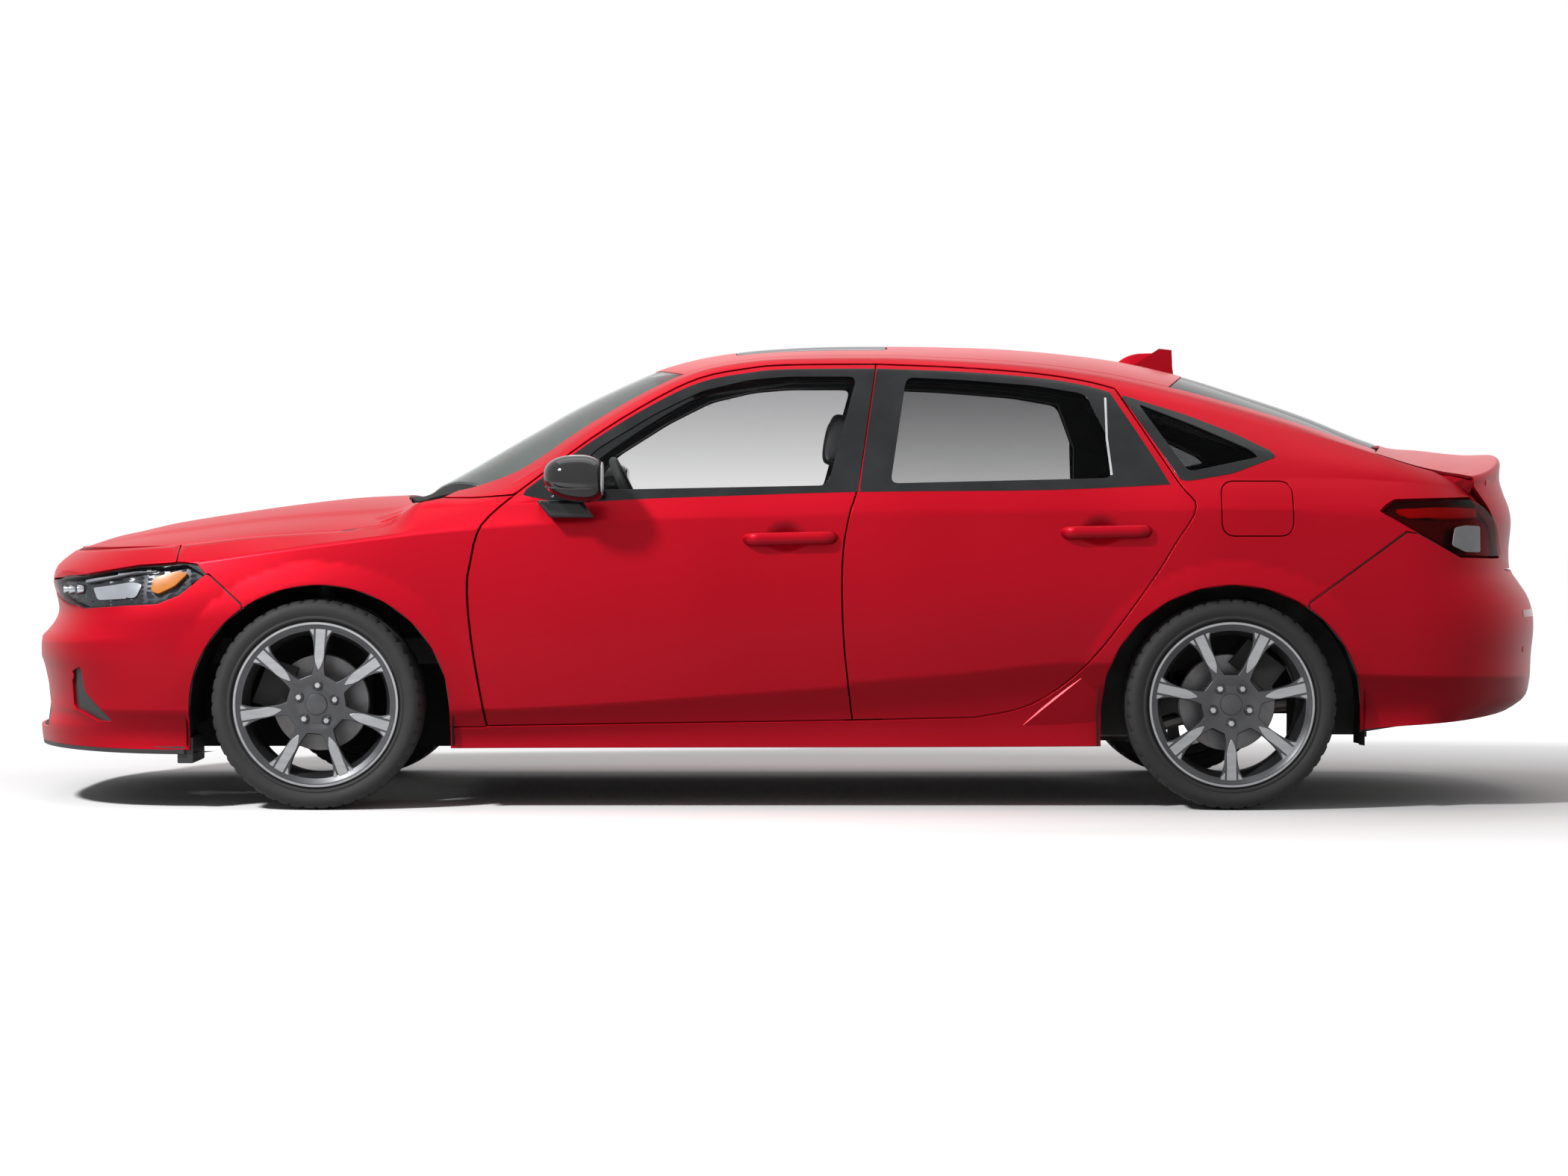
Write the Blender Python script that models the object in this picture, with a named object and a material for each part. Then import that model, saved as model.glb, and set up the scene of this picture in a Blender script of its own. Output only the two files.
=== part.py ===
"""Hybrid sedan: a four-door car as an assembly of its real pieces.

The nose points along -X, the left side along -Y, and the road is at Z = 0.
All sizes are in metres.  The left half is modelled and mirrored.
"""
import math

import bmesh
import bpy
import numpy as np
from mathutils import Matrix, Vector

# Overall sizes
HALF_LENGTH = 2.357
ROOF_TOP = 1.415
CLEAR = 0.0003
MOVING_GAP = 0.005
DOOR_SPLIT_GAP = 0.0065

# Wheels and axles
FRONT_AXLE_X = -1.4155
REAR_AXLE_X = 1.3205
FRONT_HALF_TRACK = 0.7735
REAR_HALF_TRACK = 0.7825
TYRE_RADIUS = 0.315
TYRE_WIDTH = 0.235
RIM_RADIUS = 0.2475
RIM_WIDTH = 0.216
BARREL_WALL = 0.009
HUB_RADIUS = 0.078
SPOKE_COUNT = 7
LUG_COUNT = 5
LUG_CIRCLE = 0.05715
DISC_RADIUS = 0.146
DISC_THICKNESS = 0.024
HUB_INNER_FACE = 0.012
KINGPIN_HALF_WIDTH = 0.700
STEER_LIMIT = math.radians(33)

# Wheel arches, as half-ellipses over straight sides
ARCH_HALF_WIDTH = 0.389
ARCH_HEIGHT = 0.373
ARCH_SHIFT_FRONT = 0.010
ARCH_BASE_Z = 0.300

# Walls and panels
FENDER_THICKNESS = 0.010
BUMPER_THICKNESS = 0.022
DOOR_FLANGE = 0.010
DOOR_FLANGE_INSET = 0.018
DOOR_DEPTH_LOW = 0.085
DOOR_DEPTH_HIGH = 0.045
FRAME_DEPTH_LOW = 0.110
FRAME_DEPTH_HIGH = 0.072
GLASS_THICKNESS = 0.005
GLASS_INSET = 0.006
HOOD_THICKNESS = 0.026
ROOF_THICKNESS = 0.030
LID_THICKNESS = 0.030
FLOOR_THICKNESS = 0.030
FLAP_THICKNESS = 0.006

# Hinges
DOOR_AXIS_SETBACK = 0.061
DOOR_AXIS_Y = 0.872
POCKET_RADIUS = 0.070
DOOR_HINGE_Z = (0.530, 0.740)
HINGE_LEAF = 0.006
HOOD_AXIS = (-1.088, 0.925)
TRUNK_AXIS = (1.775, 1.075)
FLAP_AXIS = (1.300, -0.892)

# Where the nose and the tail begin to turn in
NOSE_START_X = -1.80
TAIL_START_X = 1.83

# Level curves of the body side: at each X a height and a half-width.
# They are the sill edge, lower crease, middle, shoulder crease, belt and roof rail.
SILL_Z = [(-2.357, 0.190), (-1.80, 0.178), (-0.99, 0.182), (1.45, 0.193), (1.72, 0.238), (2.05, 0.262), (2.357, 0.290)]
SILL_W = [(-2.357, 0.830), (-1.80, 0.852), (-0.99, 0.838), (1.20, 0.842), (1.80, 0.842), (2.357, 0.80)]
LOW_Z = [(-2.357, 0.300), (-1.75, 0.290), (-0.87, 0.300), (-0.13, 0.349), (0.47, 0.396), (0.875, 0.434), (1.8, 0.40), (2.357, 0.385)]
LOW_W = [(-2.357, 0.860), (-1.80, 0.876), (-1.40, 0.884), (-0.9, 0.874), (0.0, 0.872), (0.8, 0.878), (1.32, 0.892), (1.8, 0.880), (2.357, 0.84)]
MID_Z = [(-2.357, 0.560), (-1.8, 0.580), (0.0, 0.620), (1.3, 0.640), (2.357, 0.590)]
MID_W = [(-2.357, 0.870), (-1.80, 0.886), (-1.40, 0.893), (-0.9, 0.886), (0.0, 0.884), (0.8, 0.890), (1.32, 0.900), (1.8, 0.886), (2.357, 0.85)]
SHOULDER_Z = [(-2.357, 0.680), (-2.1, 0.700), (-1.8, 0.738), (-1.4, 0.795), (-1.122, 0.8295), (-0.61, 0.865), (0.18, 0.885), (1.207, 0.903), (1.745, 0.8895), (2.1, 0.862), (2.357, 0.83)]
SHOULDER_W = [(-2.357, 0.800), (-2.1, 0.822), (-1.8, 0.848), (-1.4, 0.868), (-1.12, 0.872), (-0.9, 0.870), (0.0, 0.866), (0.8, 0.872), (1.3, 0.882), (1.8, 0.862), (2.1, 0.835), (2.357, 0.80)]
BELT_Z = [(-2.357, 0.762), (-2.094, 0.772), (-1.842, 0.786), (-1.624, 0.811), (-1.479, 0.822), (-1.308, 0.834), (-1.20, 0.852), (-1.108, 0.905), (-0.95, 0.912), (-0.837, 0.916), (-0.128, 0.941), (0.204, 0.952), (0.81, 0.960), (1.158, 0.974), (1.35, 0.985), (1.55, 0.990), (1.76, 0.985), (1.9, 0.975), (2.04, 0.955), (2.357, 0.90)]
BELT_W = [(-2.357, 0.690), (-2.094, 0.735), (-1.842, 0.775), (-1.624, 0.790), (-1.308, 0.796), (-1.1, 0.800), (-0.95, 0.818), (-0.837, 0.828), (-0.128, 0.838), (0.81, 0.842), (1.158, 0.840), (1.35, 0.828), (1.55, 0.812), (1.76, 0.792), (1.9, 0.778), (2.04, 0.760), (2.357, 0.72)]
RAIL_Z = [(-2.357, 0.766), (-2.094, 0.777), (-1.842, 0.791), (-1.624, 0.816), (-1.479, 0.827), (-1.308, 0.840), (-1.20, 0.862), (-1.108, 0.920), (-0.95, 0.935), (-0.837, 0.966), (-0.6, 1.130), (-0.42, 1.243), (-0.274, 1.312), (-0.12, 1.343), (0.0, 1.352), (0.27, 1.354), (0.517, 1.344), (0.748, 1.326), (0.975, 1.292), (1.2, 1.240), (1.494, 1.160), (1.76, 1.072), (1.9, 1.026), (2.04, 0.994), (2.2, 0.955), (2.357, 0.92)]
RAIL_W = [(-2.357, 0.660), (-2.094, 0.705), (-1.842, 0.748), (-1.624, 0.765), (-1.308, 0.772), (-1.1, 0.776), (-0.95, 0.786), (-0.837, 0.782), (-0.6, 0.722), (-0.42, 0.665), (-0.274, 0.628), (-0.12, 0.606), (0.27, 0.596), (0.748, 0.594), (0.975, 0.600), (1.2, 0.618), (1.494, 0.656), (1.76, 0.695), (1.9, 0.708), (2.04, 0.708), (2.2, 0.690), (2.357, 0.66)]

# Centre line of hood, windshield, roof, rear window and deck
CENTRE_Z = [(-2.357, 0.700), (-2.25, 0.765), (-2.20, 0.790), (-2.126, 0.820), (-2.031, 0.838), (-1.935, 0.857), (-1.743, 0.888), (-1.551, 0.915), (-1.359, 0.936), (-1.20, 0.944), (-1.14, 0.948), (-1.072, 0.987), (-0.976, 1.044), (-0.88, 1.102), (-0.784, 1.157), (-0.688, 1.212), (-0.592, 1.260), (-0.496, 1.304), (-0.40, 1.344), (-0.304, 1.371), (-0.208, 1.389), (-0.112, 1.401), (0.0, 1.409), (0.12, 1.414), (0.27, 1.4155), (0.46, 1.414), (0.655, 1.408), (0.847, 1.393), (1.04, 1.368), (1.23, 1.325), (1.42, 1.265), (1.614, 1.198), (1.806, 1.119), (1.87, 1.098), (2.0, 1.085), (2.1, 1.074), (2.19, 1.069), (2.25, 1.068), (2.357, 1.066)]
TOP_FULLNESS = 2.4
RAIL_BAND = 0.88

# Profile of the nose and of the tail over the height
NOSE_X = [(0.14, -2.335), (0.19, -2.352), (0.236, -2.357), (0.28, -2.338), (0.325, -2.332), (0.41, -2.342), (0.458, -2.352), (0.503, -2.350), (0.535, -2.318), (0.59, -2.292), (0.636, -2.302), (0.68, -2.315), (0.72, -2.308), (0.75, -2.278), (0.78, -2.235)]
TAIL_X = [(0.20, 2.150), (0.26, 2.240), (0.305, 2.320), (0.351, 2.342), (0.443, 2.347), (0.535, 2.3557), (0.581, 2.351), (0.627, 2.334), (0.673, 2.302), (0.705, 2.280), (0.765, 2.274), (0.857, 2.281), (0.903, 2.274), (0.949, 2.256), (0.995, 2.244), (1.06, 2.247)]


def clear_scene():
    for thing in list(bpy.data.objects):
        bpy.data.objects.remove(thing, do_unlink=True)


clear_scene()
CAR = bpy.data.collections.new("hybrid_sedan")
bpy.context.scene.collection.children.link(CAR)
CUTTERS = bpy.data.collections.new("cutters")
bpy.context.scene.collection.children.link(CUTTERS)


# Curves

def through(points):
    """Return a smooth function through (position, value) points, without overshoot."""
    xs = np.array([p[0] for p in points])
    ys = np.array([p[1] for p in points])
    steps = np.diff(xs)
    grades = np.diff(ys) / steps
    slopes = np.zeros(len(xs))
    slopes[0] = grades[0]
    slopes[-1] = grades[-1]
    for i in range(1, len(xs) - 1):
        before, after = grades[i - 1], grades[i]
        if before * after > 0:
            mean = (before * steps[i] + after * steps[i - 1]) / (steps[i] + steps[i - 1])
            limit = 3 * min(abs(before), abs(after))
            slopes[i] = max(-limit, min(limit, mean))

    def value(x):
        x = min(max(x, xs[0]), xs[-1])
        i = min(max(int(np.searchsorted(xs, x)) - 1, 0), len(steps) - 1)
        t = (x - xs[i]) / steps[i]
        a = 2 * t**3 - 3 * t**2 + 1
        b = t**3 - 2 * t**2 + t
        c = -2 * t**3 + 3 * t**2
        d = t**3 - t**2
        return float(a * ys[i] + b * steps[i] * slopes[i] + c * ys[i + 1] + d * steps[i] * slopes[i + 1])

    return value


LEVEL_Z = [through(p) for p in (SILL_Z, LOW_Z, MID_Z, SHOULDER_Z, BELT_Z, RAIL_Z)]
LEVEL_W = [through(p) for p in (SILL_W, LOW_W, MID_W, SHOULDER_W, BELT_W, RAIL_W)]
centre_z = through(CENTRE_Z)
nose_x = through(NOSE_X)
tail_x = through(TAIL_X)


def top_z(x, share):
    """Height of hood, roof or deck at X and at a share of the half-width there."""
    edge = LEVEL_Z[5](x)
    return edge + (centre_z(x) - edge) * (1 - abs(share) ** TOP_FULLNESS)


def side_section(x, level):
    """Half-width and height of the body side at X; level 0 is the sill, 5 the rail."""
    if level > 5:
        share = 1 - (1 - RAIL_BAND) * (level - 5)
        return LEVEL_W[5](x) * share, top_z(x, share)
    low = min(int(level), 4)
    t = level - low
    w0, w1 = LEVEL_W[low](x), LEVEL_W[low + 1](x)
    z0, z1 = LEVEL_Z[low](x), LEVEL_Z[low + 1](x)
    if low == 1 or low == 2:
        slope_mid = (LEVEL_W[3](x) - LEVEL_W[1](x)) / 2
        m0 = slope_mid if low == 2 else 1.4 * (w1 - w0) - 0.4 * slope_mid
        m1 = slope_mid if low == 1 else 1.8 * (w1 - w0) - 0.8 * slope_mid
        width = ((2 * t**3 - 3 * t**2 + 1) * w0 + (t**3 - 2 * t**2 + t) * m0
                 + (3 * t**2 - 2 * t**3) * w1 + (t**3 - t**2) * m1)
    else:
        bulge = (-0.010, 0, 0, 0.004, 0.012)[low] * min(1.0, abs(z1 - z0) / 0.08)
        width = w0 + (w1 - w0) * t + bulge * 4 * t * (1 - t)
    return width, z0 + (z1 - z0) * t


def wrap(share, flat, full):
    """How far the plan outline has turned: share 0 is the middle of nose or tail, 1 the side."""
    angle = math.pi / 2 * (1 - (1 - share) ** 1.5)
    return 1 - math.cos(angle) ** (2 / flat), math.sin(angle) ** (2 / full)


def side_point(place, level):
    """Point of the left body side.  place 0 to 1 is the nose, 1 to 2 the side, 2 to 3 the tail."""
    if 1 <= place <= 2:
        x = NOSE_START_X + (TAIL_START_X - NOSE_START_X) * (place - 1)
        width, z = side_section(x, level)
        return Vector((x, -width, z))
    nose = place < 1
    share = place if nose else 3 - place
    start = NOSE_START_X if nose else TAIL_START_X
    along, across = wrap(share, 3.0, 2.6) if nose else wrap(share, 2.5, 2.2)
    x = start
    for _ in range(4):
        width, z = side_section(x, level)
        end = nose_x(z) if nose else tail_x(z)
        x = end + (start - end) * along
    width, z = side_section(x, level)
    return Vector((x, -width * across, z))


def inward(place, level):
    """Unit direction into the body, level in the side view and turning down over the rail."""
    step = 0.004
    a = side_point(max(place - step, 0), level)
    b = side_point(min(place + step, 3), level)
    along = Vector((b.x - a.x, b.y - a.y, 0)).normalized()
    flat = Vector((-along.y, along.x, 0))
    turn = math.radians(0 if level <= 4 else 52 * (level - 4) if level <= 5 else 52 + 30 * (level - 5))
    return flat * math.cos(turn) - Vector((0, 0, math.sin(turn)))


def place_of(x):
    """Place along the side for an X between the nose and tail starts."""
    return 1 + (x - NOSE_START_X) / (TAIL_START_X - NOSE_START_X)


# Solids

def material(name, colour, roughness=0.5, metallic=0.0):
    found = bpy.data.materials.get(name)
    if found:
        return found
    made = bpy.data.materials.new(name)
    made.use_nodes = True
    shader = made.node_tree.nodes["Principled BSDF"]
    shader.inputs["Base Color"].default_value = (*colour, 1.0)
    shader.inputs["Roughness"].default_value = roughness
    shader.inputs["Metallic"].default_value = metallic
    return made


PAINT = ("red_paint", (0.52, 0.005, 0.02), 0.25, 0.0)
BLACK = ("black_plastic", (0.02, 0.02, 0.022), 0.45, 0.0)
GLASS = ("glass", (0.05, 0.06, 0.06), 0.05, 0.0)
CLOTH = ("grey_cloth", (0.16, 0.155, 0.15), 0.85, 0.0)
STEEL = ("dark_steel", (0.10, 0.10, 0.105), 0.55, 0.8)
ALLOY = ("alloy", (0.50, 0.51, 0.53), 0.35, 0.9)
RUBBER = ("rubber", (0.015, 0.015, 0.016), 0.85, 0.0)
LENS = ("clear_lens", (0.60, 0.60, 0.62), 0.10, 0.0)
RED_LENS = ("red_lens", (0.35, 0.005, 0.01), 0.12, 0.0)


def add_object(name, mesh, look=None):
    made = bpy.data.objects.new(name, mesh)
    if look is None:
        CUTTERS.objects.link(made)
        made.hide_render = True
        made.display_type = "WIRE"
    else:
        CAR.objects.link(made)
        mesh.materials.clear()
        mesh.materials.append(material(name + "_" + look[0], *look[1:]))
        mesh.shade_smooth()
        mesh.set_sharp_from_angle(angle=math.radians(28))
    return made


def loft(name, outer, inner, look=None):
    """Closed solid between an outer and an inner grid of points of one size."""
    rows, columns = len(outer), len(outer[0])
    shape = bmesh.new()
    near = [[shape.verts.new(p) for p in row] for row in outer]
    far = [[shape.verts.new(p) for p in row] for row in inner]
    for i in range(rows - 1):
        for j in range(columns - 1):
            for grid in (near, far):
                a, b, c, d = grid[i][j], grid[i][j + 1], grid[i + 1][j + 1], grid[i + 1][j]
                shape.faces.new((a, b, c))
                shape.faces.new((a, c, d))
    edge = [(i, 0) for i in range(rows - 1)] + [(rows - 1, j) for j in range(columns - 1)]
    edge += [(i, columns - 1) for i in range(rows - 1, 0, -1)] + [(0, j) for j in range(columns - 1, 0, -1)]
    for k, (i, j) in enumerate(edge):
        m, n = edge[(k + 1) % len(edge)]
        shape.faces.new((near[i][j], near[m][n], far[m][n], far[i][j]))
    bmesh.ops.triangulate(shape, faces=shape.faces[:])
    bmesh.ops.recalc_face_normals(shape, faces=shape.faces[:])
    mesh = bpy.data.meshes.new(name)
    shape.to_mesh(mesh)
    shape.free()
    return add_object(name, mesh, look)


SIDE_PLACES = [i / 6 for i in range(6)] + [1 + i / 12 for i in range(13)] + [2 + i / 6 for i in range(1, 7)]
SIDE_LEVELS = [0, 1, 1.5, 2, 2.5, 3, 4, 4.5, 5, 6]


def within(values, low, high):
    """The values from the last one at or below low to the first one at or above high."""
    first = max([i for i, v in enumerate(values) if v <= low + 1e-9], default=0)
    last = min([i for i, v in enumerate(values) if v >= high - 1e-9], default=len(values) - 1)
    return values[first:last + 1]


def side_slab(name, places, levels, near, far, look=None):
    """Solid band of the body side between two depths, either of which may be a function of level."""
    depth_near = near if callable(near) else lambda level: near
    depth_far = far if callable(far) else lambda level: far
    outer, inner = [], []
    for place in within(SIDE_PLACES, *places):
        point_row, inner_row = [], []
        for level in within(SIDE_LEVELS, *levels):
            point, direction = side_point(place, level), inward(place, level)
            point_row.append(point + direction * depth_near(level))
            inner_row.append(point + direction * depth_far(level))
        outer.append(point_row)
        inner.append(inner_row)
    return loft(name, outer, inner, look)


def prism(name, outline, axis, low, high, look=None):
    """Outline of (first, second) coordinates drawn out along axis X, Y or Z from low to high."""
    shape = bmesh.new()
    place = {"X": lambda a, b: (low, a, b), "Y": lambda a, b: (a, low, b), "Z": lambda a, b: (a, b, low)}[axis]
    shift = {"X": (high - low, 0, 0), "Y": (0, high - low, 0), "Z": (0, 0, high - low)}[axis]
    face = shape.faces.new([shape.verts.new(place(a, b)) for a, b in outline])
    drawn = bmesh.ops.extrude_face_region(shape, geom=[face])
    moved = [v for v in drawn["geom"] if isinstance(v, bmesh.types.BMVert)]
    bmesh.ops.translate(shape, verts=moved, vec=shift)
    bmesh.ops.recalc_face_normals(shape, faces=shape.faces[:])
    mesh = bpy.data.meshes.new(name)
    shape.to_mesh(mesh)
    shape.free()
    return add_object(name, mesh, look)


def box(name, low, high, look=None):
    """Box between two corners, from a primitive cube."""
    shape = bmesh.new()
    bmesh.ops.create_cube(shape, size=1.0)
    size = Vector(high) - Vector(low)
    bmesh.ops.scale(shape, vec=size, verts=shape.verts)
    bmesh.ops.translate(shape, vec=(Vector(low) + Vector(high)) / 2, verts=shape.verts)
    mesh = bpy.data.meshes.new(name)
    shape.to_mesh(mesh)
    shape.free()
    return add_object(name, mesh, look)


def rod(name, start, end, radius, look=None, sides=16, end_radius=None):
    """Round bar or cone between two points."""
    a, b = Vector(start), Vector(end)
    shape = bmesh.new()
    bmesh.ops.create_cone(shape, cap_ends=True, segments=sides, radius1=radius,
                          radius2=radius if end_radius is None else end_radius, depth=(b - a).length)
    turn = (b - a).to_track_quat("Z", "Y").to_matrix().to_4x4()
    bmesh.ops.transform(shape, matrix=Matrix.Translation((a + b) / 2) @ turn, verts=shape.verts)
    mesh = bpy.data.meshes.new(name)
    shape.to_mesh(mesh)
    shape.free()
    return add_object(name, mesh, look)


def turned(name, profile, sides, look=None):
    """Closed ring or disc: a profile of (radius, across) points turned about the Y axis."""
    shape = bmesh.new()
    rings = []
    for i in range(sides):
        angle = 2 * math.pi * i / sides
        rings.append([shape.verts.new((r * math.cos(angle), y, r * math.sin(angle))) for r, y in profile])
    for i in range(sides):
        a, b = rings[i], rings[(i + 1) % sides]
        for j in range(len(profile)):
            k = (j + 1) % len(profile)
            shape.faces.new((a[j], b[j], b[k], a[k]))
    bmesh.ops.recalc_face_normals(shape, faces=shape.faces[:])
    mesh = bpy.data.meshes.new(name)
    shape.to_mesh(mesh)
    shape.free()
    return add_object(name, mesh, look)


def boolean(target, tool, operation, solver="EXACT"):
    """Apply one Boolean and remove its tool."""
    step = target.modifiers.new(operation.lower(), "BOOLEAN")
    step.operation = operation
    step.object = tool
    step.solver = solver
    bpy.context.view_layer.update()
    seen = target.evaluated_get(bpy.context.evaluated_depsgraph_get())
    mesh = bpy.data.meshes.new_from_object(seen)
    target.modifiers.clear()
    looks = list(target.data.materials)
    target.data = mesh
    mesh.materials.clear()
    for one in looks:
        mesh.materials.append(one)
    for polygon in mesh.polygons:
        polygon.material_index = 0
    bpy.data.objects.remove(tool, do_unlink=True)
    return target


def cut(target, *tools):
    for tool in tools:
        boolean(target, tool, "DIFFERENCE")
    return target


def keep(target, tool):
    return boolean(target, tool, "INTERSECT")


def join(target, *tools):
    for tool in tools:
        boolean(target, tool, "UNION")
    return target


FLAT_ANGLE = math.radians(0.01)


def tidy(thing, distance=0.00005):
    """Weld the slivers that Booleans leave and merge facets that lie in one plane."""
    shape = bmesh.new()
    shape.from_mesh(thing.data)
    bmesh.ops.remove_doubles(shape, verts=shape.verts, dist=distance)
    bmesh.ops.dissolve_degenerate(shape, edges=shape.edges, dist=distance)
    bmesh.ops.dissolve_limit(shape, angle_limit=FLAT_ANGLE, verts=shape.verts, edges=shape.edges)
    bmesh.ops.triangulate(shape, faces=shape.faces[:])
    shape.to_mesh(thing.data)
    shape.free()
    thing.data.shade_smooth()
    thing.data.set_sharp_from_angle(angle=math.radians(28))
    return thing


def set_origin(thing, point):
    """Put a moving piece's origin on its joint axis."""
    point = Vector(point)
    thing.data.transform(Matrix.Translation(-point))
    thing.location = point
    return thing


def mirrored(thing, name, look):
    """Right-hand copy of a left-hand piece."""
    mesh = thing.data.copy()
    mesh.transform(Matrix.Translation(thing.location))
    mesh.transform(Matrix.Scale(-1, 4, (0, 1, 0)))
    mesh.flip_normals()
    made = add_object(name, mesh, look)
    made.location = (0, 0, 0)
    return made


def grown(outline, distance):
    """Outline moved outward by a distance, for a list of points in either order."""
    area = sum(a[0] * b[1] - b[0] * a[1] for a, b in zip(outline, outline[1:] + outline[:1]))
    sign = 1 if area > 0 else -1
    moved = []
    count = len(outline)
    for i in range(count):
        before, here, after = (Vector(outline[k % count]) for k in (i - 1, i, i + 1))
        first, second = (here - before).normalized(), (after - here).normalized()
        normal_a = Vector((first.y, -first.x)) * sign
        normal_b = Vector((second.y, -second.x)) * sign
        middle = (normal_a + normal_b).normalized()
        reach = distance / max(middle.dot(normal_a), 0.45)
        moved.append(tuple(here + middle * reach))
    return moved


def rounded(points, steps=4):
    """Smooth open line through hand-set points."""
    line = []
    for i in range(len(points) - 1):
        p0 = Vector(points[max(i - 1, 0)])
        p1, p2 = Vector(points[i]), Vector(points[i + 1])
        p3 = Vector(points[min(i + 2, len(points) - 1)])
        for k in range(steps):
            t = k / steps
            value = 0.5 * ((2 * p1) + (p2 - p0) * t + (2 * p0 - 5 * p1 + 4 * p2 - p3) * t**2
                           + (3 * p1 - p0 - 3 * p2 + p3) * t**3)
            line.append(tuple(value))
    line.append(tuple(points[-1]))
    return line


# Outlines in the side view, as (X, Z)

DOOR_BOTTOM_FRONT = (-0.905, 0.250)
FRONT_DOOR_EDGE = [DOOR_BOTTOM_FRONT, (-0.945, 0.480), (-0.961, 0.651), (-0.952, 0.736), (-0.919, 0.852), (-0.816, 0.950)]
FRONT_DOOR_TOP = [(-0.816, 0.950), (-0.60, 1.112), (-0.42, 1.226), (-0.272, 1.298), (-0.12, 1.329), (0.0, 1.339), (0.264, 1.341)]
DOOR_SPLIT = [(0.264, 1.341), (0.208, 0.987), (0.180, 0.885), (0.161, 0.780), (0.157, 0.650), (0.164, 0.480), (0.188, 0.267)]
REAR_DOOR_TOP = [(0.264, 1.341), (0.52, 1.331), (0.75, 1.313), (0.90, 1.290), (0.992, 1.266)]
REAR_DOOR_EDGE = [(0.992, 1.266), (1.162, 0.984), (1.213, 0.905), (1.151, 0.796), (1.068, 0.667), (0.890, 0.437), (0.725, 0.315), (0.554, 0.275)]

FRONT_WINDOW = [(-0.700, 0.950), (-0.585, 1.082), (-0.41, 1.190), (-0.265, 1.262), (-0.12, 1.296), (0.0, 1.306), (0.210, 1.306), (0.118, 0.966)]
REAR_WINDOW = [(0.298, 0.972), (0.352, 1.304), (0.52, 1.296), (0.75, 1.278), (0.905, 1.252), (0.965, 1.11), (0.972, 0.988)]
QUARTER_WINDOW = [(1.050, 1.226), (1.195, 1.006), (1.420, 1.053), (1.392, 1.080), (1.22, 1.158)]


PILLAR_BEFORE = 0.045
PILLAR_AFTER = 0.060
PILLAR_ROOM = 0.015
HINGE_PILLAR_AFTER = 0.048


def strip(line, before, after):
    """Outline along a line in the side view, from a distance before it to a distance after it."""
    return [(x - before, z) for x, z in line] + [(x + after, z) for x, z in reversed(line)]


def pillar_zones(room):
    """Where the middle pillar and the hinge pillar stand behind the doors, widened by a room."""
    middle = [(0.275, 1.45)] + DOOR_SPLIT + [(0.195, 0.15)]
    front = [(-0.890, 0.15)] + FRONT_DOOR_EDGE[:-1] + [(-0.900, 0.930)]
    return [prism("pillar", strip(middle, PILLAR_BEFORE + room, PILLAR_AFTER + room), "Y", OUTSIDE - 0.1, -0.25),
            prism("pillar", strip(front, 0.10, HINGE_PILLAR_AFTER + room), "Y", OUTSIDE - 0.1, -0.25)]


def shifted_split(offset):
    return [(x + offset, z) for x, z in rounded(DOOR_SPLIT, 2)]


def front_door_outline():
    line = rounded(FRONT_DOOR_EDGE, 2)[:-1] + rounded(FRONT_DOOR_TOP, 2)[:-1]
    return line + shifted_split(-DOOR_SPLIT_GAP / 2)


def rear_door_outline():
    line = rounded(REAR_DOOR_TOP, 2)[1:-1] + rounded(REAR_DOOR_EDGE, 2)
    return line + shifted_split(DOOR_SPLIT_GAP / 2)[::-1]


def both_doors_outline():
    return (rounded(FRONT_DOOR_EDGE, 2)[:-1] + rounded(FRONT_DOOR_TOP, 2)[:-1] + rounded(REAR_DOOR_TOP, 2)[:-1]
            + rounded(REAR_DOOR_EDGE, 2))


def arch_outline(axle_x, grow=0.0, steps=12, bottom=-0.1):
    """Wheel arch: half an ellipse over straight sides."""
    half, height = ARCH_HALF_WIDTH + grow, ARCH_HEIGHT + grow
    line = [(axle_x - half, bottom)]
    for i in range(steps + 1):
        angle = math.pi * i / steps
        line.append((axle_x - half * math.cos(angle), ARCH_BASE_Z + height * math.sin(angle)))
    return line + [(axle_x + half, bottom)]


FRONT_ARCH_X = FRONT_AXLE_X + ARCH_SHIFT_FRONT
REAR_ARCH_X = REAR_AXLE_X + 0.001
OUTSIDE = -1.2

BUMPER_SEAM = [(-1.836, 0.95), (-1.836, 0.746), (-1.735, 0.706), (-1.634, 0.616), (-1.56, 0.50)]
FENDER_FOOT_Z = 0.2467
HEADLAMP = [(-2.30, 0.676), (-2.132, 0.699), (-1.953, 0.729), (-1.811, 0.738), (-1.749, 0.704), (-1.82, 0.645),
            (-1.89, 0.618), (-1.994, 0.613), (-2.132, 0.602), (-2.33, 0.655)]
TAILLAMP = [(1.768, 0.894), (1.813, 0.925), (2.056, 0.932), (2.30, 0.925), (2.30, 0.752), (2.139, 0.752),
            (2.013, 0.757), (1.88, 0.829)]
REAR_SEAM = [(1.50, 0.55), (1.552, 0.620), (1.842, 0.831), (1.88, 0.829), (2.013, 0.757), (2.139, 0.708), (2.45, 0.708)]
FUEL_FLAP = [(1.306, 0.818), (1.488, 0.818), (1.504, 0.834), (1.504, 0.967), (1.488, 0.983), (1.306, 0.983),
             (1.290, 0.967), (1.290, 0.834)]
LAMP_INNER_Y = 0.46
LAMP_DEPTH = 0.055
LID_BOTTOM_Z = 0.715
LID_FACE = [(-0.560, LID_BOTTOM_Z), (0.560, LID_BOTTOM_Z), (0.690, 0.965), (0.690, 1.20), (-0.690, 1.20), (-0.690, 0.965)]


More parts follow.
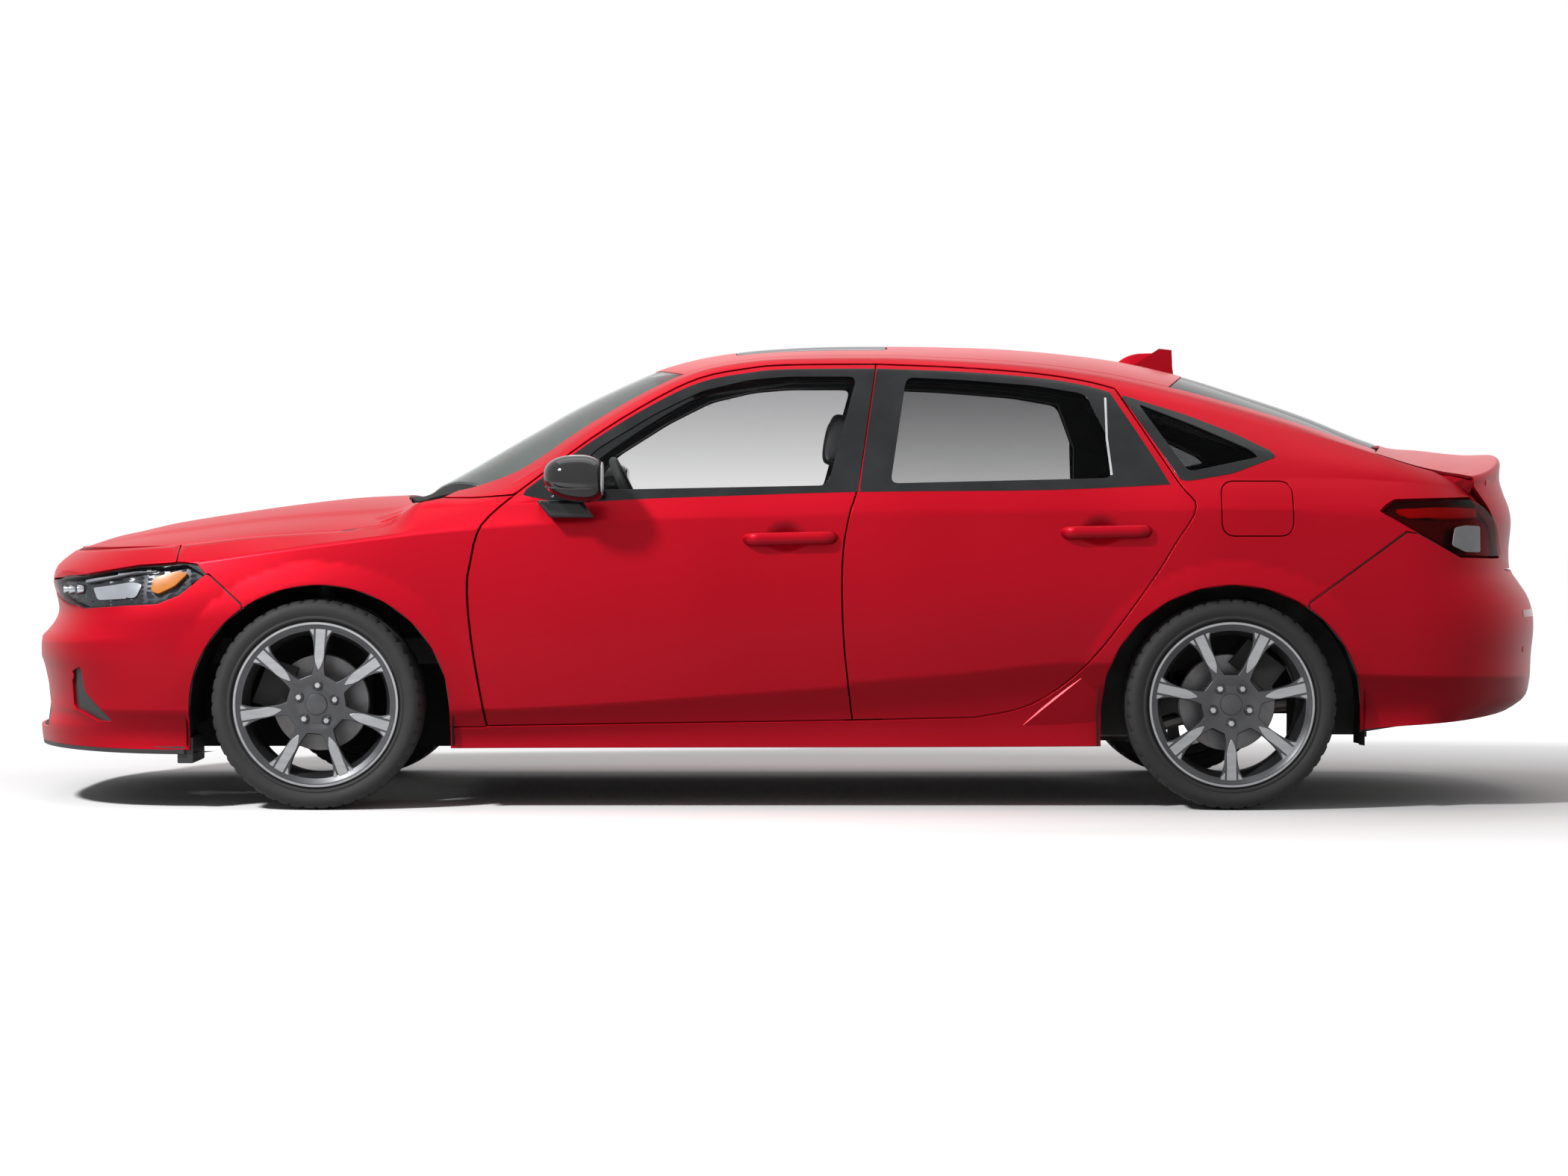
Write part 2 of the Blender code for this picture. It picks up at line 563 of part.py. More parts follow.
def fender_outline():
    door = [(x - DOOR_SPLIT_GAP, z) for x, z in rounded(FRONT_DOOR_EDGE, 2)]
    seam = BUMPER_SEAM
    return seam + [(-1.10, FENDER_FOOT_Z), (door[0][0], FENDER_FOOT_Z)] + door[:-1] + [
        (-0.826, 0.944), (-0.95, 0.934), (-1.05, 0.934), (-1.10, 0.990)]


def frame_depth(level):
    share = min(max((level - 3.0) / 1.0, 0), 1)
    return FRAME_DEPTH_LOW + (FRAME_DEPTH_HIGH - FRAME_DEPTH_LOW) * share


def arch_cutter(axle_x, grow=0.0):
    return prism("arch_cutter", arch_outline(axle_x, grow), "Y", OUTSIDE, -0.45)


def band_prism(name, line, thickness, axis, low, high, look=None):
    """Bent plate: a line in the side view with a thickness, drawn across the car."""
    left, right = [], []
    for i, here in enumerate(line):
        here = Vector(here)
        before = Vector(line[max(i - 1, 0)])
        after = Vector(line[min(i + 1, len(line) - 1)])
        a = (here - before).normalized() if i else (after - here).normalized()
        b = (after - here).normalized() if i < len(line) - 1 else a
        middle = (Vector((-a.y, a.x)) + Vector((-b.y, b.x))).normalized()
        reach = thickness / 2 / max(middle.dot(Vector((-a.y, a.x))), 0.5)
        left.append(tuple(here + middle * reach))
        right.append(tuple(here - middle * reach))
    return prism(name, left + right[::-1], axis, low, high, look)


# Body side

def hinge_pocket(door_edge_x):
    axis_x = door_edge_x + DOOR_AXIS_SETBACK
    return rod("pocket", (axis_x, -DOOR_AXIS_Y, 0.235), (axis_x, -DOOR_AXIS_Y, 0.99), POCKET_RADIUS, sides=14)


def hinge_leaf(door_edge_x, height, on_door):
    """Flat hinge leaf: the body's lies just under the door's, and they turn on each other at the axis."""
    axis_x = door_edge_x + DOOR_AXIS_SETBACK
    if on_door:
        plan = [(0.002, 0.008), (0.060, 0.008), (0.060, 0.030), (0.002, 0.030)]
        low, high = height, height + HINGE_LEAF
    else:
        plan = [(0.000, 0.008), (0.010, 0.008), (0.010, 0.045), (0.001, 0.090), (-0.012, 0.090), (-0.012, 0.040)]
        low, high = height - CLEAR - HINGE_LEAF, height - CLEAR
    return prism("leaf", [(axis_x + x, -DOOR_AXIS_Y + y) for x, y in plan], "Z", low, high)


FRONT_DOOR_X = min(x for x, z in FRONT_DOOR_EDGE)
REAR_DOOR_X = min(x for x, z in DOOR_SPLIT) + DOOR_SPLIT_GAP / 2


LAMP_PLACES = ((0.3, 1.2), (1.85, 2.6))


def lamp_cutter(outline, depth, grow):
    """Room for a lamp in the body, from the outside to the depth of the lamp."""
    places = LAMP_PLACES[0] if outline is HEADLAMP else LAMP_PLACES[1]
    hole = side_slab("lamp_room", places, (2, 4), -0.06, depth)
    return keep(hole, prism("lamp_outline", grown(outline, grow), "Y", OUTSIDE, -LAMP_INNER_Y + grow))


def side_frame():
    frame = side_slab("side_frame_left", (place_of(-1.25), 2.42), (0, 6), 0.0, frame_depth, PAINT)
    region = [(-1.013, 0.10), (-1.013, 0.86), (-1.10, 0.86), (-1.10, 1.50), (2.165, 1.50), (2.165, 0.80), (2.139, 0.7523),
              (2.013, 0.7573), (1.88, 0.8293), (1.842, 0.8313), (1.552, 0.6203), (1.50, 0.55), (1.50, 0.10)]
    keep(frame, prism("region", region, "Y", OUTSIDE, -0.30))
    room = side_slab("fender_room", (place_of(-1.40), place_of(-0.70)), (0, 5), -0.05, FENDER_THICKNESS + CLEAR)
    keep(room, prism("fender_region", grown(fender_outline(), CLEAR), "Y", OUTSIDE, -0.30))
    cut(frame, room, arch_cutter(FRONT_ARCH_X, 0.003), arch_cutter(REAR_ARCH_X))
    recess = side_slab("recess", (place_of(-1.1), place_of(1.35)), (0, 6), -0.05, DOOR_FLANGE + MOVING_GAP)
    keep(recess, prism("recess_outline", grown(both_doors_outline(), MOVING_GAP), "Y", OUTSIDE, -0.30))
    cut(frame, recess)
    for outline, pocket in ((front_door_outline(), FRONT_DOOR_X), (rear_door_outline(), REAR_DOOR_X)):
        opening = cut(prism("door_opening", grown(outline, -OPENING_INSET), "Y", OUTSIDE, -0.30), *pillar_zones(0))
        cut(frame, opening, hinge_pocket(pocket))
    cut(frame, prism("quarter_opening", QUARTER_WINDOW, "Y", OUTSIDE, -0.30))
    flap = side_slab("flap_room", (place_of(1.1), place_of(1.7)), (2, 5), -0.05, 0.045)
    keep(flap, prism("flap_outline", grown(FUEL_FLAP, MOVING_GAP), "Y", OUTSIDE, -0.30))
    cut(frame, flap, lamp_cutter(TAILLAMP, LAMP_DEPTH + CLEAR, CLEAR))
    lid = prism("lid_room", grown(LID_FACE, MOVING_GAP), "X", 1.95, 2.6)
    cut(frame, lid)
    cut(frame, greenhouse_room(), lid_room())
    apron = box("apron", (-1.780, -0.735, 0.690), (-0.990, -APRON_IN, TOWER_Z + 0.004))
    tower = box("tower", (-1.53, -0.735, TOWER_Z), (-1.30, -0.455, TOWER_Z + 0.014))
    foot = box("apron_foot", (-1.0125, -0.800, 0.680), (-0.985, -0.690, 0.732))
    join(frame, join(apron, tower, foot))
    for pocket in (FRONT_DOOR_X, REAR_DOOR_X):
        for height in DOOR_HINGE_Z:
            join(frame, hinge_leaf(pocket, height, False))
    catch = rod("catch", (1.486, -0.830, 0.90), (1.486, -0.95, 0.90), 0.007, sides=8)
    cut(catch, side_slab("flap_space", (place_of(1.1), place_of(1.7)), (2, 5), -0.10, FLAP_THICKNESS + CLEAR))
    join(frame, catch)
    return tidy(frame)


OPENING_INSET = 0.011
TOWER_Z = 0.742
APRON_IN = 0.680


def fender():
    skin = side_slab("fender_left", (place_of(-1.80) - 0.12, place_of(-0.70)), (0, 5), 0.0, FENDER_THICKNESS, PAINT)
    keep(skin, prism("fender_region", fender_outline(), "Y", OUTSIDE, -0.30))
    cut(skin, arch_cutter(FRONT_ARCH_X), lamp_cutter(HEADLAMP, LAMP_DEPTH + CLEAR, CLEAR), hood_room())
    return tidy(skin)


def door(name, outline, window, handle, edge_x):
    """Outer skin with a flange all round, the inner box behind it, the window hole and the handle."""
    panel = side_slab(name, (place_of(-1.1), place_of(1.35)), (0, 6), 0.0, DOOR_FLANGE, PAINT)
    keep(panel, prism("skin_outline", outline, "Y", OUTSIDE, -0.30))

    def inner_depth(level):
        share = min(max((level - 3.5) / 0.5, 0), 1)
        return DOOR_DEPTH_LOW + (DOOR_DEPTH_HIGH - DOOR_DEPTH_LOW) * share

    inner = side_slab("inner", (place_of(-1.1), place_of(1.35)), (0, 6), DOOR_FLANGE * 0.6, inner_depth)
    keep(inner, cut(prism("inner_outline", grown(outline, -DOOR_FLANGE_INSET), "Y", OUTSIDE, -0.30), *pillar_zones(PILLAR_ROOM)))
    join(panel, inner)
    cut(panel, prism("window_hole", window, "Y", OUTSIDE, -0.30))
    x0, z0, x1, z1 = handle
    grip = prism("grip", [(x0, z0), (x0 + 0.02, z0 - 0.012), (x1 - 0.02, z0 - 0.008), (x1, z0 + 0.008), (x1, z1),
                          (x0 + 0.02, z1)], "Y", -0.918, -0.865)
    join(panel, grip)
    for height in DOOR_HINGE_Z:
        join(panel, hinge_leaf(edge_x, height, True))
    return tidy(panel)


def window_glass(name, window):
    pane = side_slab(name, (place_of(-1.1), place_of(1.6)), (3.5, 6), GLASS_INSET, GLASS_INSET + GLASS_THICKNESS, GLASS)
    keep(pane, prism("pane_outline", grown(window, -CLEAR), "Y", OUTSIDE, -0.30))
    return tidy(pane)


def headlamp():
    lamp = side_slab("headlamp_left", LAMP_PLACES[0], (2, 4), 0.0, LAMP_DEPTH, LENS)
    keep(lamp, prism("lamp_outline", HEADLAMP, "Y", OUTSIDE, -LAMP_INNER_Y))
    return tidy(lamp)


def taillamp():
    lamp = side_slab("taillamp_left", LAMP_PLACES[1], (2, 4), 0.0, LAMP_DEPTH, RED_LENS)
    keep(lamp, prism("lamp_outline", TAILLAMP, "Y", OUTSIDE, -LAMP_INNER_Y))
    cut(lamp, prism("lid_room", grown(LID_FACE, MOVING_GAP), "X", 1.95, 2.6))
    return tidy(lamp)


def fuel_flap():
    flap = side_slab("fuel_flap", (place_of(1.1), place_of(1.7)), (2, 5), 0.0, FLAP_THICKNESS, PAINT)
    keep(flap, prism("flap_outline", FUEL_FLAP, "Y", OUTSIDE, -0.30))
    return tidy(flap)


# Nose and tail

UPPER_GRILLE = [(-0.42, 0.560), (0.42, 0.560), (0.40, 0.645), (-0.40, 0.645)]
LOWER_GRILLE = [(-0.60, 0.235), (0.60, 0.235), (0.52, 0.440), (-0.52, 0.440)]
GRILLE_INSET = 0.012


def whole_slab(name, places, levels, near, far, look=None):
    """Band of the body that runs round the nose or tail from the left side to the right."""
    stations = within(SIDE_PLACES, *places)
    nose = stations[0] < 0.5
    order = stations[::-1] if nose else stations
    outer, inner = [], []
    for side in (1, -1):
        run = order if side == 1 else order[-2::-1]
        for place in run:
            point_row, inner_row = [], []
            for level in within(SIDE_LEVELS, *levels):
                point, direction = side_point(place, level), inward(place, level)
                a, b = point + direction * near, point + direction * far
                point_row.append((a.x, a.y * side, a.z))
                inner_row.append((b.x, b.y * side, b.z))
            outer.append(point_row)
            inner.append(inner_row)
    return loft(name, outer, inner, look)


def front_bumper():
    skin = whole_slab("front_bumper", (0, place_of(-1.50)), (0, 5), 0.0, BUMPER_THICKNESS, PAINT)
    region = [(-2.60, -0.10), (-2.60, 0.95)] + [(x - CLEAR, z) for x, z in BUMPER_SEAM] + [(-1.56, -0.10)]
    keep(skin, prism("bumper_region", region, "Y", -1.2, 1.2))
    for side in (1, -1):
        arch = prism("arch", arch_outline(FRONT_ARCH_X), "Y", side * 0.45, side * 1.2)
        cut(skin, arch)
        lamp = lamp_cutter(HEADLAMP, LAMP_DEPTH + CLEAR, CLEAR)
        if side == 1:
            lamp.data.transform(Matrix.Scale(-1, 4, (0, 1, 0)))
            lamp.data.flip_normals()
        cut(skin, lamp)
    cut(skin, prism("upper", UPPER_GRILLE, "X", -2.6, -2.0), prism("lower", LOWER_GRILLE, "X", -2.6, -2.0), hood_room())
    return tidy(skin)


def grille(name, outline):
    panel = whole_slab(name, (0, 0.8), (0, 3.5), GRILLE_INSET, BUMPER_THICKNESS - 0.002, BLACK)
    keep(panel, prism("grille_outline", grown(outline, -CLEAR), "X", -2.6, -2.0))
    return tidy(panel)


def rear_bumper():
    skin = whole_slab("rear_bumper", (place_of(1.30), 3), (0, 3), 0.0, BUMPER_THICKNESS, PAINT)
    seam = [(x, z - CLEAR) for x, z in REAR_SEAM]
    keep(skin, prism("bumper_region", [(1.50, -0.10)] + seam + [(2.60, 0.708), (2.60, -0.10)], "Y", -1.2, 1.2))
    for side in (1, -1):
        arch = prism("arch", arch_outline(REAR_ARCH_X), "Y", side * 0.45, side * 1.2)
        lamp = lamp_cutter(TAILLAMP, LAMP_DEPTH + CLEAR, CLEAR)
        if side == 1:
            lamp.data.transform(Matrix.Scale(-1, 4, (0, 1, 0)))
            lamp.data.flip_normals()
        cut(skin, arch, lamp)
        join(skin, box("stop", (2.250, side * 0.30 - 0.012, 0.695), (2.268, side * 0.30 + 0.012, LID_BOTTOM_Z - CLEAR)))
    return tidy(skin)


# Top of the body

HALF_SHARES = [0, 0.25, 0.5, 0.72, 0.88, 0.97, 1.0]
SHARES = [-s for s in HALF_SHARES[:0:-1]] + HALF_SHARES


def lines_between(front, rear, rows):
    """Lines across the car from a front to a rear line, each X as a function of the share."""
    return [lambda share, t=i / rows: front(share) + (rear(share) - front(share)) * t for i in range(rows + 1)]


def top_slab(name, lines, thickness, look=None, band=1.0, edge_gap=0.0, near=0.0):
    """Panel of the top surface through lines across the car, with one thickness or one for each line."""
    depths = thickness if isinstance(thickness, list) else [thickness] * len(lines)
    outer, inner = [], []
    for line, depth in zip(lines, depths):
        outer_row, inner_row = [], []
        for share in SHARES:
            x = line(share)
            half = LEVEL_W[5](x) * band - edge_gap
            z = top_z(x, share * half / LEVEL_W[5](x))
            outer_row.append((x, share * half, z - near))
            inner_row.append((x, share * half, z - near - depth))
        outer.append(outer_row)
        inner.append(inner_row)
    return loft(name, outer, inner, look)


HOOD_NOSE_X = -2.252
HOOD_REAR_X = -1.200
HOOD_REAR_SWEEP = 0.090
SHIELD_BASE_X = -1.140
SHIELD_BASE_SWEEP = 0.205
HEADER_X = -0.430
HEADER_SWEEP = 0.105
BACKLIGHT_TOP_X = 1.250
BACKLIGHT_TOP_SWEEP = -0.085
BACKLIGHT_BASE_X = 1.852
BACKLIGHT_BASE_SWEEP = -0.080
LID_FRONT_X = 1.862
LID_FRONT_SWEEP = -0.086
LID_REAR_X = 2.247


def swept(middle, sweep, shift=0.0):
    return lambda share: middle + sweep * share * share + shift


def hood_front(share):
    turned_in = 1 - (1 - min(abs(share), 1.0) ** 2.6) ** (1 / 3)
    return HOOD_NOSE_X + MOVING_GAP + (NOSE_START_X - HOOD_NOSE_X) * turned_in


def tail_bow(y, half=0.80, reach=0.44):
    share = min(abs(y) / half, 0.98)
    return reach * (1 - (1 - share ** 2.2) ** (1 / 2.5))


HOOD_ROWS = 5
SHIELD_ROWS = 3
ROOF_ROWS = 5
BACKLIGHT_ROWS = 3
LID_ROWS = 4
COWL_THICKNESS = 0.020
SCREEN_THICKNESS = 0.0065


def hood_lines():
    return lines_between(hood_front, swept(HOOD_REAR_X, HOOD_REAR_SWEEP), HOOD_ROWS)


def lengthened(lines, grow):
    """The same lines with one more before the first and one after the last."""
    first, last = lines[0], lines[-1]
    return [lambda share: first(share) - grow] + lines + [lambda share: last(share) + grow]


def cowl_lines():
    return lines_between(swept(HOOD_REAR_X, HOOD_REAR_SWEEP, 0.006), swept(SHIELD_BASE_X, SHIELD_BASE_SWEEP, -CLEAR), 2)


def shield_lines():
    return lines_between(swept(SHIELD_BASE_X, SHIELD_BASE_SWEEP), swept(HEADER_X, HEADER_SWEEP), SHIELD_ROWS)


def roof_lines():
    return lines_between(swept(HEADER_X, HEADER_SWEEP, CLEAR), swept(BACKLIGHT_TOP_X, BACKLIGHT_TOP_SWEEP, -CLEAR), ROOF_ROWS)


def backlight_lines():
    return lines_between(swept(BACKLIGHT_TOP_X, BACKLIGHT_TOP_SWEEP), swept(BACKLIGHT_BASE_X, BACKLIGHT_BASE_SWEEP), BACKLIGHT_ROWS)


def lid_rear(share):
    return LID_REAR_X - tail_bow(share * 0.69)


def lid_lines():
    return lines_between(swept(LID_FRONT_X, LID_FRONT_SWEEP), lid_rear, LID_ROWS)


def hood_room():
    return top_slab("hood_room", lengthened(hood_lines(), MOVING_GAP), HOOD_THICKNESS + MOVING_GAP + 0.08, near=-0.08)


def lid_room():
    return top_slab("lid_room", lengthened(lid_lines(), 0.20), LID_THICKNESS + MOVING_GAP + 0.10, near=-0.10)


def greenhouse_room():
    """Room in the body sides for cowl, windshield, roof and rear window, as deep as each panel."""
    lines = cowl_lines() + shield_lines()[1:] + roof_lines()[1:] + backlight_lines()[1:]
    screen = SCREEN_THICKNESS + CLEAR
    depths = [COWL_THICKNESS + 0.005] * 3 + [screen] * (SHIELD_ROWS - 1)
    depths += [ROOF_THICKNESS + CLEAR] * (ROOF_ROWS + 1) + [screen] * BACKLIGHT_ROWS
    return top_slab("greenhouse_room", lines, [d + 0.08 for d in depths], band=RAIL_BAND, near=-0.08)


def hood():
    return tidy(top_slab("hood", hood_lines(), HOOD_THICKNESS, PAINT, edge_gap=MOVING_GAP))


def cowl():
    return tidy(top_slab("cowl_panel", cowl_lines(), COWL_THICKNESS, BLACK, band=RAIL_BAND, edge_gap=CLEAR, near=0.004))


def windshield():
    return tidy(top_slab("windshield", shield_lines(), SCREEN_THICKNESS, GLASS, band=RAIL_BAND, edge_gap=CLEAR))


def roof():
    panel = top_slab("roof_panel", roof_lines(), ROOF_THICKNESS, PAINT, band=RAIL_BAND, edge_gap=CLEAR)
    fin = prism("fin", [(1.045, 1.34), (1.055, 1.385), (1.10, 1.409), (1.185, 1.4125), (1.225, 1.408), (1.232, 1.30)],
                "Y", -0.018, 0.018)
    return tidy(join(panel, fin))


def rear_window():
    return tidy(top_slab("rear_window", backlight_lines(), SCREEN_THICKNESS, GLASS, band=RAIL_BAND, edge_gap=CLEAR))


def lid_face_half(z):
    """Half-width of the lid's rear face at a height."""
    (a, z0), (b, z1) = LID_FACE[1], LID_FACE[2]
    return a + (b - a) * min(max((z - z0) / (z1 - z0), 0), 1)


def trunk_lid():
    deck = top_slab("trunk_lid", lid_lines(), LID_THICKNESS, PAINT, edge_gap=MOVING_GAP)
    keep(deck, prism("lid_plan", [(1.5, -0.69), (2.5, -0.69), (2.5, 0.69), (1.5, 0.69)], "Z", 0.5, 1.5))
    outer, inner = [], []
    heights = 4
    for share in SHARES:
        outer_column, inner_column = [], []
        x_top = lid_rear(share)
        y_top = share * 0.685
        z_top = top_z(x_top, y_top / LEVEL_W[5](x_top)) - 0.006
        for k in range(heights + 1):
            z = LID_BOTTOM_Z + (z_top - LID_BOTTOM_Z) * k / heights
            y = share * lid_face_half(z) * 0.998
            x = tail_x(z) - tail_bow(y)
            outer_column.append((x, y, z))
            inner_column.append((x - 0.035, y, z))
        outer.append(outer_column)
        inner.append(inner_column)
    face = loft("lid_face", outer, inner)
    return tidy(join(deck, face))


# Wheels, brakes and axles, in wheel coordinates: origin at the wheel centre, outer side at -Y

DISC_IN = 0.0525
DISC_OUT = DISC_IN - DISC_THICKNESS
HUB_SEAT = DISC_IN + 0.001
RIM_EDGE = RIM_WIDTH / 2
SEAT_RADIUS = 0.2265
WHEEL_SIDES = 20


def tyre(name):
    bead = SEAT_RADIUS + CLEAR
    half = TYRE_WIDTH / 2
    outer = [(bead, 0.0990), (RIM_RADIUS + 0.0014, 0.1014), (0.268, 0.1155), (0.290, half), (0.3085, 0.1060),
             (TYRE_RADIUS, 0.080)]
    inner = [(0.300, 0.088), (bead, 0.086)]
    profile = [(r, -y) for r, y in outer] + [(r, y) for r, y in outer[::-1]]
    profile += [(r, y) for r, y in inner[::-1]] + [(r, -y) for r, y in inner]
    return turned(name, profile, WHEEL_SIDES, RUBBER)


def wheel(name, first_spoke_angle):
    half = [(RIM_RADIUS, RIM_EDGE), (RIM_RADIUS, RIM_EDGE - 0.0055), (SEAT_RADIUS, 0.1000)]
    profile = [(r, -y) for r, y in half] + [(r, y) for r, y in half[::-1]]
    profile += [(SEAT_RADIUS - BARREL_WALL, RIM_EDGE), (SEAT_RADIUS - BARREL_WALL, -RIM_EDGE)]
    rim = turned(name, profile, WHEEL_SIDES, ALLOY)
    hub = rod("hub", (0, -0.088, 0), (0, HUB_SEAT, 0), HUB_RADIUS, sides=12)
    cap = rod("cap", (0, -0.094, 0), (0, -0.086, 0), 0.033, sides=8)
    disc = rod("disc", (0, DISC_OUT, 0), (0, DISC_IN, 0), DISC_RADIUS, sides=16)
    spokes = None
    for i in range(SPOKE_COUNT):
        angle = first_spoke_angle + 2 * math.pi * i / SPOKE_COUNT
        outline = [(0.050, -0.022), (0.145, -0.016), (0.221, -0.036), (0.221, 0.036), (0.145, 0.016), (0.050, 0.022)]
        spoke = prism("spoke", outline, "Y", -0.099, -0.066)
        spoke.data.transform(Matrix.Rotation(-angle, 4, "Y"))
        spokes = join(spokes, spoke) if spokes else spoke
    join(rim, spokes, hub, disc, cap)
    for i in range(LUG_COUNT):
        angle = first_spoke_angle + 2 * math.pi * (i + 0.5) / LUG_COUNT
        x, z = LUG_CIRCLE * math.cos(angle), LUG_CIRCLE * math.sin(angle)
        join(rim, rod("lug", (x, -0.097, z), (x, -0.080, z), 0.0095, sides=6))
    return tidy(rim)


def caliper(angle):
    """Caliper over the disc and its bracket to the carrier, turned to its place round the axle."""
    body = box("caliper", (0.098, DISC_OUT - 0.030, -0.072), (0.190, DISC_IN + 0.026, 0.072))
    slot = rod("slot", (0, DISC_OUT - 0.004, 0), (0, DISC_IN + 0.004, 0), DISC_RADIUS + 0.007, sides=16)
    cut(body, slot)
    bracket = box("bracket", (0.0, DISC_IN + 0.006, -0.030), (0.130, DISC_IN + 0.026, 0.030))
    join(body, bracket)
    body.data.transform(Matrix.Rotation(-angle, 4, "Y"))
    return body


def knuckle(name):
    """Steered carrier: hub, upright, arm joint, strut tube and caliper, with the wheel centre at the origin."""
    hub = rod(name, (0, HUB_SEAT + CLEAR, 0), (0, 0.125, 0), 0.048, STEEL, sides=12)
    upright = box("upright", (-0.036, DISC_IN + 0.0065, ARM_TOP_Z + CLEAR - TYRE_RADIUS), (0.036, 0.125, 0.145))
    arm = box("strut_bracket", (-0.030, 0.090, 0.085), (0.030, 0.190, 0.145))
    strut = rod("strut", (0, STRUT_IN, 0.080), (0, STRUT_IN, TOWER_Z - CLEAR - TYRE_RADIUS), 0.026, sides=16)
    join(hub, upright, arm, strut, caliper(math.radians(158)))
    return hub


ARM_TOP_Z = 0.222
ARM_END_Y = 0.689
STRUT_IN = 0.165


def place_at(thing, point, axis_point=None):
    """Move a piece built at the origin to its wheel centre, with its origin on its joint axis."""
    thing.data.transform(Matrix.Translation(Vector(point)))
    return set_origin(thing, axis_point or point)


# Underbody

FLOOR_LINE = [(-1.035, 0.850), (-1.035, 0.480), (-0.90, 0.245), (-0.84, 0.215), (0.58, 0.215), (0.70, 0.330),
              (1.00, 0.360), (1.06, 0.420), (2.150, 0.420), (2.160, 0.690)]
FLOOR_BOTTOM = 0.200
FLOOR_TOP = 0.230
TRUNK_BOTTOM = 0.405
BULKHEAD_REAR_X = -1.020


def floor_pan():
    plate = band_prism("floor_pan", FLOOR_LINE, FLOOR_THICKNESS, "Y", -0.86, 0.86, STEEL)
    for side in (1, -1):
        inside = side_slab("side_room", (place_of(-1.4), 2.4), (0, 6), -0.30, lambda level: frame_depth(level) + CLEAR)
        if side == 1:
            inside.data.transform(Matrix.Scale(-1, 4, (0, 1, 0)))
            inside.data.flip_normals()
        cut(plate, inside)
        cut(plate, box("tail_room", (1.70, min(side * 0.60, side), 0.1), (2.4, max(side * 0.60, side), 0.9)))
        cut(plate, box("corner_room", (2.00, min(side * 0.50, side), 0.1), (2.4, max(side * 0.50, side), 0.9)))
        cut(plate, prism("wheel_room", arch_outline(REAR_ARCH_X, 0.030), "Y", side * 0.610, side * 1.0))
    for side in (1, -1):
        cut(plate, box("apron_room", (-1.20, min(side * (APRON_IN - CLEAR), side * 1.0), 0.40),
                       (-1.005, max(side * (APRON_IN - CLEAR), side * 1.0), 1.10)))
        liner = prism("liner", arch_outline(REAR_ARCH_X, 0.036, bottom=0.21), "Y", side * 0.600, side * 0.726)
        cut(liner, prism("liner_room", arch_outline(REAR_ARCH_X, 0.024), "Y", side * 0.612, side * 1.0))
        cut(liner, box("axle_room", (1.10, min(side * 0.59, side * 0.80), 0.10), (1.52, max(side * 0.59, side * 0.80), TRUNK_BOTTOM)))
        join(plate, liner)
    return tidy(plate)


def front_subframe():
    cross = box("front_subframe", (-1.560, -0.400, 0.190), (-1.270, 0.400, 0.250), STEEL)
    pieces = []
    for side in (1, -1):
        y0, y1 = sorted((side * 0.400, side * 0.455))
        pieces.append(box("rail", (-2.230, y0, 0.420), (BULKHEAD_REAR_X - FLOOR_THICKNESS - CLEAR, y1, 0.500)))
        pieces.append(box("post", (-1.500, min(side * 0.36, y1 if side < 0 else y0), 0.240), (-1.420, max(side * 0.36, y0 if side > 0 else y1), 0.430)))
        pieces.append(box("post_rear", (-1.340, y0 - 0.02 if side > 0 else y0, 0.230), (-1.290, y1 if side > 0 else y1 + 0.02, 0.430)))
        arm0, arm1 = sorted((side * 0.380, side * ARM_END_Y))
        pieces.append(box("arm", (FRONT_AXLE_X - 0.042, arm0, 0.195), (FRONT_AXLE_X + 0.042, arm1, ARM_TOP_Z)))
    pieces.append(box("radiator", (-2.130, -0.480, 0.240), (-2.070, 0.480, 0.690)))
    pieces.append(box("beam", (-2.238, -0.450, 0.460), (-2.190, 0.450, 0.550)))
    for side in (1, -1):
        post = rod("stop", (-2.100, side * 0.400, 0.680), (-2.100, side * 0.400, 0.850), 0.014, sides=8)
        cut(post, top_slab("hood_space", hood_lines(), HOOD_THICKNESS + CLEAR + 0.08, near=-0.08))
        pieces.append(post)
    join(cross, *pieces)
    return tidy(cross)


def rear_axle():
    cross = box("rear_axle", (REAR_AXLE_X - 0.10, -0.46, 0.255), (REAR_AXLE_X + 0.08, 0.46, 0.325), STEEL)
    left_centre = Vector((REAR_AXLE_X, -REAR_HALF_TRACK, TYRE_RADIUS))
    for side in (-1, 1):
        face = side * (REAR_HALF_TRACK - HUB_SEAT - CLEAR)
        carrier = rod("carrier", (REAR_AXLE_X, face, TYRE_RADIUS), (REAR_AXLE_X, side * 0.62, TYRE_RADIUS), 0.048, sides=12)
        link = box("link", (REAR_AXLE_X - 0.035, min(side * 0.40, side * 0.68), 0.270), (REAR_AXLE_X + 0.035, max(side * 0.40, side * 0.68), 0.322))
        spring = rod("spring", (REAR_AXLE_X, side * 0.50, 0.30), (REAR_AXLE_X, side * 0.50, TRUNK_BOTTOM - CLEAR), 0.045, sides=16)
        brake = caliper(math.radians(52))
        brake.data.transform(Matrix.Translation(left_centre))
        if side == 1:
            brake.data.transform(Matrix.Scale(-1, 4, (0, 1, 0)))
            brake.data.flip_normals()
        join(cross, carrier, link, spring, brake)
    return tidy(cross)


def engine():
    return box("engine", (-1.980, -0.340, 0.250 + CLEAR), (-1.300, 0.340, 0.760), STEEL)


